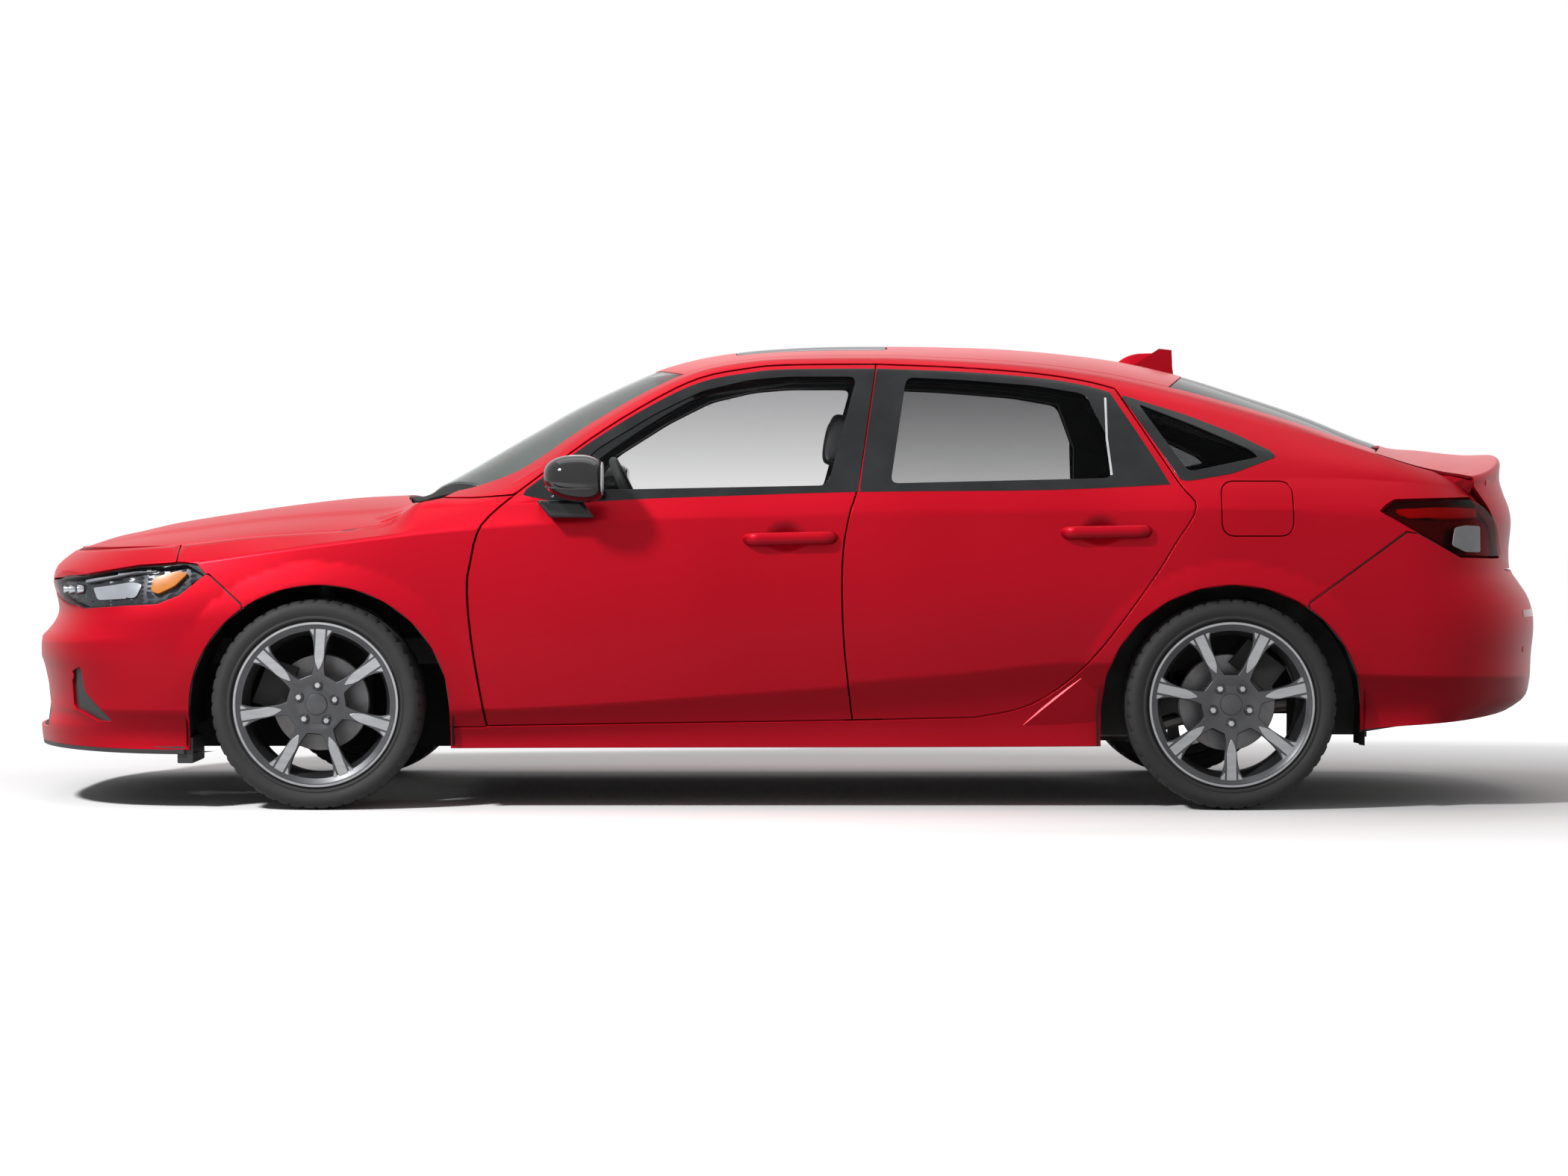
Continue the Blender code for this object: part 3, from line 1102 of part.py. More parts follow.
def exhaust():
    pipe = rod("exhaust", (-1.15, 0.12, 0.172), (1.10, 0.12, 0.172), 0.024, STEEL)
    rise = rod("rise", (1.095, 0.12, 0.168), (1.30, 0.30, 0.215), 0.024)
    tail = rod("tail", (1.29, 0.29, 0.212), (1.90, 0.30, 0.300), 0.024)
    box_ = box("muffler", (1.84, -0.42, 0.265), (2.10, 0.42, TRUNK_BOTTOM - CLEAR))
    hanger = box("hanger", (-0.60, 0.105, 0.180), (-0.56, 0.135, FLOOR_BOTTOM - CLEAR))
    join(pipe, rise, tail, box_, hanger)
    return tidy(pipe)


# Cabin

def side_rooms(target, gap, places=(1.0, 2.0)):
    """Cut a cross-car piece where the body sides are."""
    for side in (-1, 1):
        room = side_slab("side_room", places, (0, 6), -0.30, lambda level: frame_depth(level) + gap)
        if side == 1:
            room.data.transform(Matrix.Scale(-1, 4, (0, 1, 0)))
            room.data.flip_normals()
        cut(target, room)
    return target


def dashboard():
    outline = [(BULKHEAD_REAR_X + CLEAR, 0.905), (BULKHEAD_REAR_X + CLEAR, 0.640), (-0.78, 0.600), (-0.66, 0.640),
               (-0.600, 0.760), (-0.625, 0.870), (-0.70, 0.925), (-0.86, 0.945)]
    panel = prism("dashboard", outline, "Y", -0.86, 0.86, BLACK)
    side_rooms(panel, CLEAR)
    for side in (-1, 1):
        cut(panel, box("apron_room", (-1.20, min(side * (APRON_IN - CLEAR), side * 1.0), 0.40),
                       (-0.984, max(side * (APRON_IN - CLEAR), side * 1.0), 1.10)))
        cut(panel, box("pillar_room", (-1.20, min(side * 0.655, side * 1.0), 0.845),
                       (-0.50, max(side * 0.655, side * 1.0), 1.10)))
    boss = rod("boss", (WHEEL_X - 0.26 * COLUMN_COS, -DRIVER_Y, WHEEL_Z - 0.26 * COLUMN_SIN),
               (WHEEL_X - COLUMN_END * COLUMN_COS, -DRIVER_Y, WHEEL_Z - COLUMN_END * COLUMN_SIN), 0.045)
    return tidy(join(panel, boss))


DRIVER_Y = 0.365
WHEEL_X = -0.475
WHEEL_Z = 0.885
WHEEL_RIM = 0.178
COLUMN_ANGLE = math.radians(24)
COLUMN_COS = math.cos(COLUMN_ANGLE)
COLUMN_SIN = math.sin(COLUMN_ANGLE)
COLUMN_END = 0.110


def steering_wheel():
    shape = bmesh.new()
    bmesh.ops.create_cone(shape, cap_ends=True, segments=12, radius1=0.055, radius2=0.045, depth=0.05)
    mesh = bpy.data.meshes.new("steering_wheel")
    shape.to_mesh(mesh)
    shape.free()
    hub = add_object("steering_wheel", mesh, BLACK)
    profile = []
    for i in range(6):
        angle = 2 * math.pi * i / 6
        profile.append((WHEEL_RIM + 0.015 * math.cos(angle), 0.015 * math.sin(angle)))
    ring = turned("ring", profile, 16)
    ring.data.transform(Matrix.Rotation(math.pi / 2, 4, "X"))
    spokes = [box("spoke", (0.03, -0.016, -0.008), (WHEEL_RIM, 0.016, 0.010)),
              box("spoke", (-WHEEL_RIM, -0.016, -0.008), (-0.03, 0.016, 0.010)),
              box("spoke", (-0.016, -WHEEL_RIM, -0.008), (0.016, -0.03, 0.010))]
    column = rod("column", (0, 0, -0.02), (0, 0, -COLUMN_END + CLEAR), 0.022)
    join(hub, ring, *spokes, column)
    # Local Z points back towards the driver, local Y up the wheel
    back = Vector((COLUMN_COS, 0, COLUMN_SIN))
    across = Vector((0, 1, 0))
    up = back.cross(across)
    turn = Matrix((across, up, back)).transposed().to_4x4()
    hub.data.transform(turn)
    hub.data.transform(Matrix.Translation((WHEEL_X, -DRIVER_Y, WHEEL_Z)))
    tidy(hub)
    return set_origin(hub, (WHEEL_X, -DRIVER_Y, WHEEL_Z))


SEAT_CUSHION = [(-0.40, 0.470), (-0.385, 0.390), (-0.33, 0.345), (-0.30, FLOOR_TOP + CLEAR), (-0.02, FLOOR_TOP + CLEAR),
                (0.02, 0.340), (0.10, 0.390), (0.150, 0.520), (0.235, 1.000), (0.205, 1.025), (0.145, 1.010),
                (0.035, 0.620), (-0.020, 0.545), (-0.30, 0.520)]
HEADREST = [(0.120, 1.045), (0.200, 1.045), (0.215, 1.110), (0.195, 1.195), (0.140, 1.195), (0.115, 1.120)]


def seat():
    cushion = prism("seat_left", rounded(SEAT_CUSHION + SEAT_CUSHION[:1], 1)[:-1], "Y", -DRIVER_Y - 0.245, -DRIVER_Y + 0.245, CLOTH)
    rest = prism("headrest", HEADREST, "Y", -DRIVER_Y - 0.135, -DRIVER_Y + 0.135)
    posts = [rod("post", (0.178, -DRIVER_Y + s * 0.07, 0.98), (0.168, -DRIVER_Y + s * 0.07, 1.08), 0.008, sides=8) for s in (-1, 1)]
    join(cushion, rest, *posts)
    return tidy(cushion)


def rear_seat():
    outline = [(0.62, FLOOR_TOP + 0.096), (0.56, 0.430), (0.58, 0.500), (0.95, 0.475), (1.115, 0.955), (1.16, 0.985), (1.735, 0.985),
               (1.735, 0.972), (1.235, 0.968), (1.065, 0.425), (1.02, 0.400), (0.96, 0.358)]
    bench = prism("rear_seat", outline, "Y", -0.595, 0.595, CLOTH)
    room = band_prism("floor_room", FLOOR_LINE, FLOOR_THICKNESS + 2 * CLEAR, "Y", -0.9, 0.9)
    cut(bench, room)
    return tidy(bench)


def mirror():
    shape = bmesh.new()
    bmesh.ops.create_uvsphere(shape, u_segments=12, v_segments=6, radius=1.0)
    bmesh.ops.scale(shape, vec=(0.092, 0.080, 0.070), verts=shape.verts)
    bmesh.ops.translate(shape, vec=(-0.634, -0.972, 0.990), verts=shape.verts)
    mesh = bpy.data.meshes.new("mirror_left")
    shape.to_mesh(mesh)
    shape.free()
    housing = add_object("mirror_left", mesh, BLACK)
    trim = box("back_cut", (-0.566, -1.10, 0.85), (-0.40, -0.85, 1.15))
    cut(housing, trim)
    foot = prism("foot", [(-0.745, 0.885), (-0.610, 0.870), (-0.585, 0.905), (-0.600, 0.960), (-0.690, 0.965)], "Y", -0.945, -0.845)
    join(housing, foot)
    skin = side_slab("skin", (place_of(-1.0), place_of(-0.3)), (2, 5), -CLEAR, 0.30)
    cut(housing, skin)
    return tidy(housing)


# Assembly

def build_side():
    """Left-hand pieces and their right-hand twins, doors with their origins on the hinge lines."""
    pairs = []
    pairs.append((side_frame(), PAINT, None))
    pairs.append((fender(), PAINT, None))
    front_axis = (FRONT_DOOR_X + DOOR_AXIS_SETBACK, -DOOR_AXIS_Y, 0)
    rear_axis = (REAR_DOOR_X + DOOR_AXIS_SETBACK, -DOOR_AXIS_Y, 0)
    front = door("door_front_left", front_door_outline(), FRONT_WINDOW, (-0.137, 0.800, 0.142, 0.828),
                 FRONT_DOOR_X)
    rear = door("door_rear_left", rear_door_outline(), REAR_WINDOW, (0.812, 0.820, 1.080, 0.850),
                REAR_DOOR_X)
    pairs.append((front, PAINT, front_axis))
    pairs.append((rear, PAINT, rear_axis))
    pairs.append((window_glass("glass_front_left", FRONT_WINDOW), GLASS, front_axis))
    pairs.append((window_glass("glass_rear_left", REAR_WINDOW), GLASS, rear_axis))
    pairs.append((window_glass("quarter_glass_left", QUARTER_WINDOW), GLASS, None))
    pairs.append((headlamp(), LENS, None))
    pairs.append((taillamp(), RED_LENS, None))
    pairs.append((mirror(), BLACK, front_axis))
    pairs.append((seat(), CLOTH, None))
    front_centre = (FRONT_AXLE_X, -FRONT_HALF_TRACK, TYRE_RADIUS)
    rear_centre = (REAR_AXLE_X, -REAR_HALF_TRACK, TYRE_RADIUS)
    kingpin = (FRONT_AXLE_X, -KINGPIN_HALF_WIDTH, TYRE_RADIUS)
    pairs.append((place_at(tidy(knuckle("knuckle_left")), front_centre, kingpin), STEEL, kingpin))
    pairs.append((place_at(tyre("tyre_front_left"), front_centre), RUBBER, front_centre))
    pairs.append((place_at(tyre("tyre_rear_left"), rear_centre), RUBBER, rear_centre))
    pairs.append((place_at(wheel("wheel_front_left", math.radians(86)), front_centre), ALLOY, front_centre))
    pairs.append((place_at(wheel("wheel_rear_left", math.radians(270)), rear_centre), ALLOY, rear_centre))
    for thing, look, axis in pairs:
        twin = mirrored(thing, thing.name.replace("left", "right"), look)
        if axis:
            if thing.location.length == 0:
                set_origin(thing, axis)
            set_origin(twin, (axis[0], -axis[1], axis[2]))


def build_middle():
    front_bumper()
    rear_bumper()
    grille("grille_upper", UPPER_GRILLE)
    grille("grille_lower", LOWER_GRILLE)
    set_origin(hood(), (HOOD_AXIS[0], 0, HOOD_AXIS[1]))
    cowl()
    windshield()
    roof()
    rear_window()
    set_origin(trunk_lid(), (TRUNK_AXIS[0], 0, TRUNK_AXIS[1]))
    set_origin(fuel_flap(), (*FLAP_AXIS, 0.90))
    floor_pan()
    front_subframe()
    rear_axle()
    engine()
    exhaust()
    dashboard()
    steering_wheel()
    rear_seat()


build_side()
build_middle()
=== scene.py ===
"""Looks of the hybrid sedan: fine body panels, glass, lamps, wheels, cabin, light and camera.

The nose points along -X, the left side along -Y, and the road is at Z = 0.  Sizes are in metres.
"""
import math

import bmesh
import bpy
import numpy as np
from mathutils import Matrix, Vector, geometry, kdtree


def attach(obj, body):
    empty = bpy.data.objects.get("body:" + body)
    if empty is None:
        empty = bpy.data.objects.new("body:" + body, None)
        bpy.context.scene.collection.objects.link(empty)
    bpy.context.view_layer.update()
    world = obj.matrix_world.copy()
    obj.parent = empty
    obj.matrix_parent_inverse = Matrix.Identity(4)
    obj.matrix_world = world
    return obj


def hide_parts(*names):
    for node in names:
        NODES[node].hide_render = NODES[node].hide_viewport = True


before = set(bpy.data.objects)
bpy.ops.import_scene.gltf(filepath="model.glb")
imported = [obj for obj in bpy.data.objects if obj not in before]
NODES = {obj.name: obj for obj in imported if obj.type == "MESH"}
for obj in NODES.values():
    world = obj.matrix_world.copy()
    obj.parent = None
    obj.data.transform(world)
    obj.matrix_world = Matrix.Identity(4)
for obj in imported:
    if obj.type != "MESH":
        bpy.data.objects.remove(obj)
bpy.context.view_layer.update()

# The body's level curves, as in the part: sill, lower crease, middle, shoulder, belt and roof rail

SILL_Z = [(-2.357, 0.190), (-1.80, 0.178), (-0.99, 0.182), (1.45, 0.193), (1.72, 0.238), (2.05, 0.262),
          (2.357, 0.290)]
SILL_W = [(-2.357, 0.830), (-1.80, 0.852), (-0.99, 0.838), (1.20, 0.842), (1.80, 0.842), (2.357, 0.80)]
LOW_Z = [(-2.357, 0.300), (-1.75, 0.290), (-0.87, 0.300), (-0.13, 0.349), (0.47, 0.396), (0.875, 0.434),
         (1.8, 0.40), (2.357, 0.385)]
LOW_W = [(-2.357, 0.860), (-1.80, 0.876), (-1.40, 0.884), (-0.9, 0.874), (0.0, 0.872), (0.8, 0.878),
         (1.32, 0.892), (1.8, 0.880), (2.357, 0.84)]
MID_Z = [(-2.357, 0.560), (-1.8, 0.580), (0.0, 0.620), (1.3, 0.640), (2.357, 0.590)]
MID_W = [(-2.357, 0.870), (-1.80, 0.886), (-1.40, 0.893), (-0.9, 0.886), (0.0, 0.884), (0.8, 0.890),
         (1.32, 0.900), (1.8, 0.886), (2.357, 0.85)]
SHOULDER_Z = [(-2.357, 0.680), (-2.1, 0.700), (-1.8, 0.738), (-1.4, 0.795), (-1.122, 0.8295), (-0.61, 0.865),
              (0.18, 0.885), (1.207, 0.903), (1.745, 0.8895), (2.1, 0.862), (2.357, 0.83)]
SHOULDER_W = [(-2.357, 0.800), (-2.1, 0.822), (-1.8, 0.848), (-1.4, 0.868), (-1.12, 0.872), (-0.9, 0.870),
              (0.0, 0.866), (0.8, 0.872), (1.3, 0.882), (1.8, 0.862), (2.1, 0.835), (2.357, 0.80)]
BELT_Z = [(-2.357, 0.762), (-2.094, 0.772), (-1.842, 0.786), (-1.624, 0.811), (-1.479, 0.822),
          (-1.308, 0.834), (-1.20, 0.852), (-1.108, 0.905), (-0.95, 0.912), (-0.837, 0.916), (-0.128, 0.941),
          (0.204, 0.952), (0.81, 0.960), (1.158, 0.974), (1.35, 0.985), (1.55, 0.990), (1.76, 0.985),
          (1.9, 0.975), (2.04, 0.955), (2.357, 0.90)]
BELT_W = [(-2.357, 0.690), (-2.094, 0.735), (-1.842, 0.775), (-1.624, 0.790), (-1.308, 0.796), (-1.1, 0.800),
          (-0.95, 0.818), (-0.837, 0.828), (-0.128, 0.838), (0.81, 0.842), (1.158, 0.840), (1.35, 0.828),
          (1.55, 0.812), (1.76, 0.792), (1.9, 0.778), (2.04, 0.760), (2.357, 0.72)]
RAIL_Z = [(-2.357, 0.766), (-2.094, 0.777), (-1.842, 0.791), (-1.624, 0.816), (-1.479, 0.827),
          (-1.308, 0.840), (-1.20, 0.862), (-1.108, 0.920), (-0.95, 0.935), (-0.837, 0.966), (-0.6, 1.130),
          (-0.42, 1.243), (-0.274, 1.312), (-0.12, 1.343), (0.0, 1.352), (0.27, 1.354), (0.517, 1.344),
          (0.748, 1.326), (0.975, 1.292), (1.2, 1.240), (1.494, 1.160), (1.76, 1.072), (1.9, 1.026),
          (2.04, 0.994), (2.2, 0.955), (2.357, 0.92)]
RAIL_W = [(-2.357, 0.660), (-2.094, 0.705), (-1.842, 0.748), (-1.624, 0.765), (-1.308, 0.772), (-1.1, 0.776),
          (-0.95, 0.786), (-0.837, 0.782), (-0.6, 0.722), (-0.42, 0.665), (-0.274, 0.628), (-0.12, 0.606),
          (0.27, 0.596), (0.748, 0.594), (0.975, 0.600), (1.2, 0.618), (1.494, 0.656), (1.76, 0.695),
          (1.9, 0.708), (2.04, 0.708), (2.2, 0.690), (2.357, 0.66)]
CENTRE_Z = [(-2.357, 0.700), (-2.25, 0.765), (-2.20, 0.790), (-2.126, 0.820), (-2.031, 0.838),
            (-1.935, 0.857), (-1.743, 0.888), (-1.551, 0.915), (-1.359, 0.936), (-1.20, 0.944),
            (-1.14, 0.948), (-1.072, 0.987), (-0.976, 1.044), (-0.88, 1.102), (-0.784, 1.157),
            (-0.688, 1.212), (-0.592, 1.260), (-0.496, 1.304), (-0.40, 1.344), (-0.304, 1.371),
            (-0.208, 1.389), (-0.112, 1.401), (0.0, 1.409), (0.12, 1.414), (0.27, 1.4155), (0.46, 1.414),
            (0.655, 1.408), (0.847, 1.393), (1.04, 1.368), (1.23, 1.325), (1.42, 1.265), (1.614, 1.198),
            (1.806, 1.119), (1.87, 1.098), (2.0, 1.085), (2.1, 1.074), (2.19, 1.069), (2.25, 1.068),
            (2.357, 1.066)]
NOSE_X = [(0.14, -2.335), (0.19, -2.352), (0.236, -2.357), (0.28, -2.338), (0.325, -2.332), (0.41, -2.342),
          (0.458, -2.352), (0.503, -2.350), (0.535, -2.318), (0.59, -2.292), (0.636, -2.302), (0.68, -2.315),
          (0.72, -2.308), (0.75, -2.278), (0.78, -2.235)]
TAIL_X = [(0.20, 2.150), (0.26, 2.240), (0.305, 2.320), (0.351, 2.342), (0.443, 2.347), (0.535, 2.3557),
          (0.581, 2.351), (0.627, 2.334), (0.673, 2.302), (0.705, 2.280), (0.765, 2.274), (0.857, 2.281),
          (0.903, 2.274), (0.949, 2.256), (0.995, 2.244), (1.06, 2.247)]
TOP_FULLNESS = 2.4
RAIL_BAND = 0.88
NOSE_START_X = -1.80
TAIL_START_X = 1.83


def curve(points):
    """Smooth function of arrays through (position, value) points, without overshoot."""
    xs = np.array([p[0] for p in points], float)
    ys = np.array([p[1] for p in points], float)
    steps = np.diff(xs)
    grades = np.diff(ys) / steps
    slopes = np.zeros(len(xs))
    slopes[0] = grades[0]
    slopes[-1] = grades[-1]
    for i in range(1, len(xs) - 1):
        before, after = grades[i - 1], grades[i]
        if before * after > 0:
            mean = (before * steps[i] + after * steps[i - 1]) / (steps[i] + steps[i - 1])
            limit = 3 * min(abs(before), abs(after))
            slopes[i] = max(-limit, min(limit, mean))

    def value(x):
        x = np.clip(np.asarray(x, float), xs[0], xs[-1])
        i = np.clip(np.searchsorted(xs, x) - 1, 0, len(steps) - 1)
        t = (x - xs[i]) / steps[i]
        a = 2 * t**3 - 3 * t**2 + 1
        b = t**3 - 2 * t**2 + t
        c = -2 * t**3 + 3 * t**2
        d = t**3 - t**2
        return a * ys[i] + b * steps[i] * slopes[i] + c * ys[i + 1] + d * steps[i] * slopes[i + 1]

    return value


LEVEL_Z = [curve(p) for p in (SILL_Z, LOW_Z, MID_Z, SHOULDER_Z, BELT_Z, RAIL_Z)]
LEVEL_W = [curve(p) for p in (SILL_W, LOW_W, MID_W, SHOULDER_W, BELT_W, RAIL_W)]
centre_z = curve(CENTRE_Z)
nose_x = curve(NOSE_X)
tail_x = curve(TAIL_X)


def top_z(x, share):
    edge = LEVEL_Z[5](x)
    return edge + (centre_z(x) - edge) * (1 - np.abs(share) ** TOP_FULLNESS)


def section(x, level):
    """Half-width and height of the body side at X and level, for arrays of one shape."""
    x, level = np.broadcast_arrays(np.asarray(x, float), np.asarray(level, float))
    ws = np.array([f(x) for f in LEVEL_W])
    zs = np.array([f(x) for f in LEVEL_Z])
    low = np.clip(np.floor(level).astype(int), 0, 4)
    t = np.clip(level - low, 0, 1)

    def pick(table, index):
        return np.take_along_axis(table, index[None], 0)[0]

    w0, w1 = pick(ws, low), pick(ws, low + 1)
    z0, z1 = pick(zs, low), pick(zs, low + 1)
    slope_mid = (ws[3] - ws[1]) / 2
    m0 = np.where(low == 2, slope_mid, 1.4 * (w1 - w0) - 0.4 * slope_mid)
    m1 = np.where(low == 1, slope_mid, 1.8 * (w1 - w0) - 0.8 * slope_mid)
    curved = ((2 * t**3 - 3 * t**2 + 1) * w0 + (t**3 - 2 * t**2 + t) * m0
              + (3 * t**2 - 2 * t**3) * w1 + (t**3 - t**2) * m1)
    bulge = np.array([-0.010, 0, 0, 0.004, 0.012])[low] * np.minimum(1.0, np.abs(z1 - z0) / 0.08)
    plain = w0 + (w1 - w0) * t + bulge * 4 * t * (1 - t)
    width = np.where((low == 1) | (low == 2), curved, plain)
    height = z0 + (z1 - z0) * t
    share = 1 - (1 - RAIL_BAND) * (level - 5)
    over = level > 5
    width = np.where(over, ws[5] * share, width)
    height = np.where(over, top_z(x, np.where(over, share, 1.0)), height)
    return width, height


ROLL_BELOW = 0.12
ROLL_ABOVE = 0.42


def ramp(x, start, end):
    t = np.clip((x - start) / (end - start), 0, 1)
    return t * t * (3 - 2 * t)


def soft_section(x, level):
    """The section with the roof rail's corner rolled over as a bent sheet has it."""
    w, z = section(x, level)
    weight = ramp(x, -0.95, -0.70) * (1 - ramp(x, 1.45, 1.75))
    close = (level > 5 - ROLL_BELOW) & (level < 5 + ROLL_ABOVE)
    wa, za = section(x, 5 - ROLL_BELOW + 0 * level)
    wb, zb = section(x, 5 + ROLL_ABOVE + 0 * level)
    wc, zc = section(x, 5 + 0 * level)
    t = np.clip((level - 5 + ROLL_BELOW) / (ROLL_BELOW + ROLL_ABOVE), 0, 1)
    wr = (1 - t) ** 2 * wa + 2 * t * (1 - t) * wc + t**2 * wb
    zr = (1 - t) ** 2 * za + 2 * t * (1 - t) * zc + t**2 * zb
    w = np.where(close, w + (wr - w) * weight, w)
    z = np.where(close, z + (zr - z) * weight, z)
    return w, z


def wrap(share, flat, full):
    angle = math.pi / 2 * (1 - (1 - share) ** 1.5)
    return 1 - np.cos(angle) ** (2 / flat), np.sin(angle) ** (2 / full)


FRONT_AXLE_X = -1.4155
REAR_AXLE_X = 1.3205
FRONT_HALF_TRACK = 0.7735
REAR_HALF_TRACK = 0.7825
TYRE_RADIUS = 0.315
FRONT_ARCH_X = FRONT_AXLE_X + 0.010
REAR_ARCH_X = REAR_AXLE_X + 0.001
ARCH_HALF_WIDTH = 0.389
ARCH_HEIGHT = 0.373
ARCH_BASE_Z = 0.300

# The lips round the arches, in shares of the arch's size

FRONT_LIP_OUT = 0.0075
REAR_LIP_OUT = 0.0085
LIP_OUTER_RING = 1.185
LIP_BAND = 0.185


def flare(x, z):
    """How far the wheel-arch lips stand out from the plain side, in metres."""
    out = 0 * x
    for centre, strength in ((FRONT_ARCH_X, FRONT_LIP_OUT), (REAR_ARCH_X, REAR_LIP_OUT)):
        dx = (x - centre) / ARCH_HALF_WIDTH
        dz = np.maximum(z - ARCH_BASE_Z, 0) / ARCH_HEIGHT
        ring = np.sqrt(dx**2 + dz**2)
        lip = np.clip((LIP_OUTER_RING - ring) / LIP_BAND, 0, 1)
        side_fade = np.clip(dz / 0.45, 0, 1)
        out = out + strength * lip**0.9 * side_fade
    return out


def side_xyz(u, level):
    """Points of the left body side: u 0 to 1 is the nose, 1 to 2 the side, 2 to 3 the tail."""
    u, level = np.broadcast_arrays(np.atleast_1d(np.asarray(u, float)), np.asarray(level, float))
    x = NOSE_START_X + (TAIL_START_X - NOSE_START_X) * (u - 1)
    across = np.ones_like(x)
    for nose in (True, False):
        mask = u < 1 if nose else u > 2
        if not np.any(mask):
            continue
        share = np.clip(u[mask] if nose else 3 - u[mask], 0, 1)
        start = NOSE_START_X if nose else TAIL_START_X
        a, c = wrap(share, 3.0, 2.6) if nose else wrap(share, 2.5, 2.2)
        xm = np.full_like(share, start)
        for _ in range(5):
            _, z = section(xm, level[mask])
            end = nose_x(z) if nose else tail_x(z)
            xm = end + (start - end) * a
        x = x.copy()
        x[mask] = xm
        across[mask] = c
    width, z = soft_section(x, level)
    y = -(width * across + flare(x, z) * (across > 0.9))
    return np.stack([x, y, z], -1)


# A flat map of the body for meshing: s is the way from the nose centre round the left side, t goes up

U_TABLE = np.linspace(0, 3, 601)
ARC_POINTS = side_xyz(U_TABLE, 2.5 + 0 * U_TABLE)
S_TABLE = np.concatenate([[0], np.cumsum(np.linalg.norm(np.diff(ARC_POINTS, axis=0), axis=1))])
S_END = float(S_TABLE[-1])
T_KNOTS = np.array([0, 1, 2, 3, 4, 5, 6], float)
T_VALUES = np.array([0.0, 0.14, 0.40, 0.66, 0.75, 1.05, 1.13])


def st_to_uv(st):
    return np.stack([np.interp(st[:, 0], S_TABLE, U_TABLE), np.interp(st[:, 1], T_VALUES, T_KNOTS)], -1)


def uv_to_st(uv):
    return np.stack([np.interp(uv[:, 0], U_TABLE, S_TABLE), np.interp(uv[:, 1], T_KNOTS, T_VALUES)], -1)


def body_surface(st):
    """Body points over the flat map; before 0 and beyond S_END it is the right side."""
    s = st[:, 0]
    other = (s < 0) | (s > S_END)
    folded = np.where(s < 0, -s, np.where(s > S_END, 2 * S_END - s, s))
    uv = st_to_uv(np.stack([folded, st[:, 1]], -1))
    points = side_xyz(uv[:, 0], uv[:, 1])
    points[:, 1] = np.where(other, -points[:, 1], points[:, 1])
    return points


VIEWS = {"side": (0, (0.0, 3.0)), "nose": (1, (0.0, 0.98)), "tail": (1, (2.02, 3.0))}
GRIDS = {}


def view_grid(view):
    if view not in GRIDS:
        axis, (u0, u1) = VIEWS[view]
        grid_u, grid_v = np.meshgrid(np.linspace(u0, u1, 121), np.linspace(0, 6, 61), indexing="ij")
        points = side_xyz(grid_u, grid_v)
        flat = np.stack([points[..., axis].ravel(), points[..., 2].ravel()], -1)
        GRIDS[view] = grid_u.ravel(), grid_v.ravel(), flat
    return GRIDS[view]


def find_st(targets, view="side"):
    """Flat-map places of points given as (X, Z) in the side view or (Y, Z) in the nose or tail view."""
    targets = np.asarray(targets, float)
    axis, (u0, u1) = VIEWS[view]
    grid_u, grid_v, flat = view_grid(view)
    uv = np.zeros((len(targets), 2))
    for start in range(0, len(targets), 100):
        part = targets[start:start + 100]
        k = ((flat[None] - part[:, None]) ** 2).sum(-1).argmin(1)
        uv[start:start + 100] = np.stack([grid_u[k], grid_v[k]], -1)
    step = 1e-4
    for _ in range(9):
        p = side_xyz(uv[:, 0], uv[:, 1])[:, [axis, 2]]
        pu = (side_xyz(uv[:, 0] + step, uv[:, 1])[:, [axis, 2]] - p) / step
        pv = (side_xyz(uv[:, 0], uv[:, 1] + step)[:, [axis, 2]] - p) / step
        miss = targets - p
        det = pu[:, 0] * pv[:, 1] - pu[:, 1] * pv[:, 0]
        det = np.where(np.abs(det) < 1e-5, 1e-5, det)
        du = (miss[:, 0] * pv[:, 1] - miss[:, 1] * pv[:, 0]) / det
        dv = (pu[:, 0] * miss[:, 1] - pu[:, 1] * miss[:, 0]) / det
        uv[:, 0] = np.clip(uv[:, 0] + np.clip(du, -0.02, 0.02), u0, u1)
        uv[:, 1] = np.clip(uv[:, 1] + np.clip(dv, -0.2, 0.2), 0.0, 6.0)
    return uv_to_st(uv)


def body_loop(outline, corner, step=0.01):
    """Flat-map loop of a side-view outline with rounded corners."""
    return clean_loop(find_st(dense(corners_rounded(outline, corner), step)))


def on_side(points, step=0.02):
    return find_st(dense(points, step, closed=False))


def on_nose(points, step=0.02):
    return find_st(dense(points, step, closed=False), "nose")


def on_tail(points, step=0.02):
    return find_st(dense(points, step, closed=False), "tail")


def u_at(x, level):
    """Place along the left side at an X on a level."""
    us = np.linspace(0, 3, 3001)
    return float(np.interp(x, side_xyz(us, level + 0 * us)[:, 0], us))


def on_level(level, u0, u1, step=0.02):
    count = max(2, int(abs(np.interp(u1, U_TABLE, S_TABLE) - np.interp(u0, U_TABLE, S_TABLE)) / step))
    us = np.linspace(u0, u1, count + 1)
    return uv_to_st(np.stack([us, level + 0 * us], -1))


def top_of_xy(xy):
    """Points of the top surface over plan positions."""
    x, y = xy[:, 0], xy[:, 1]
    z = top_z(x, np.clip(y / LEVEL_W[5](x), -1.2, 1.2))
    return np.stack([x, y, z], -1)


# Meshing

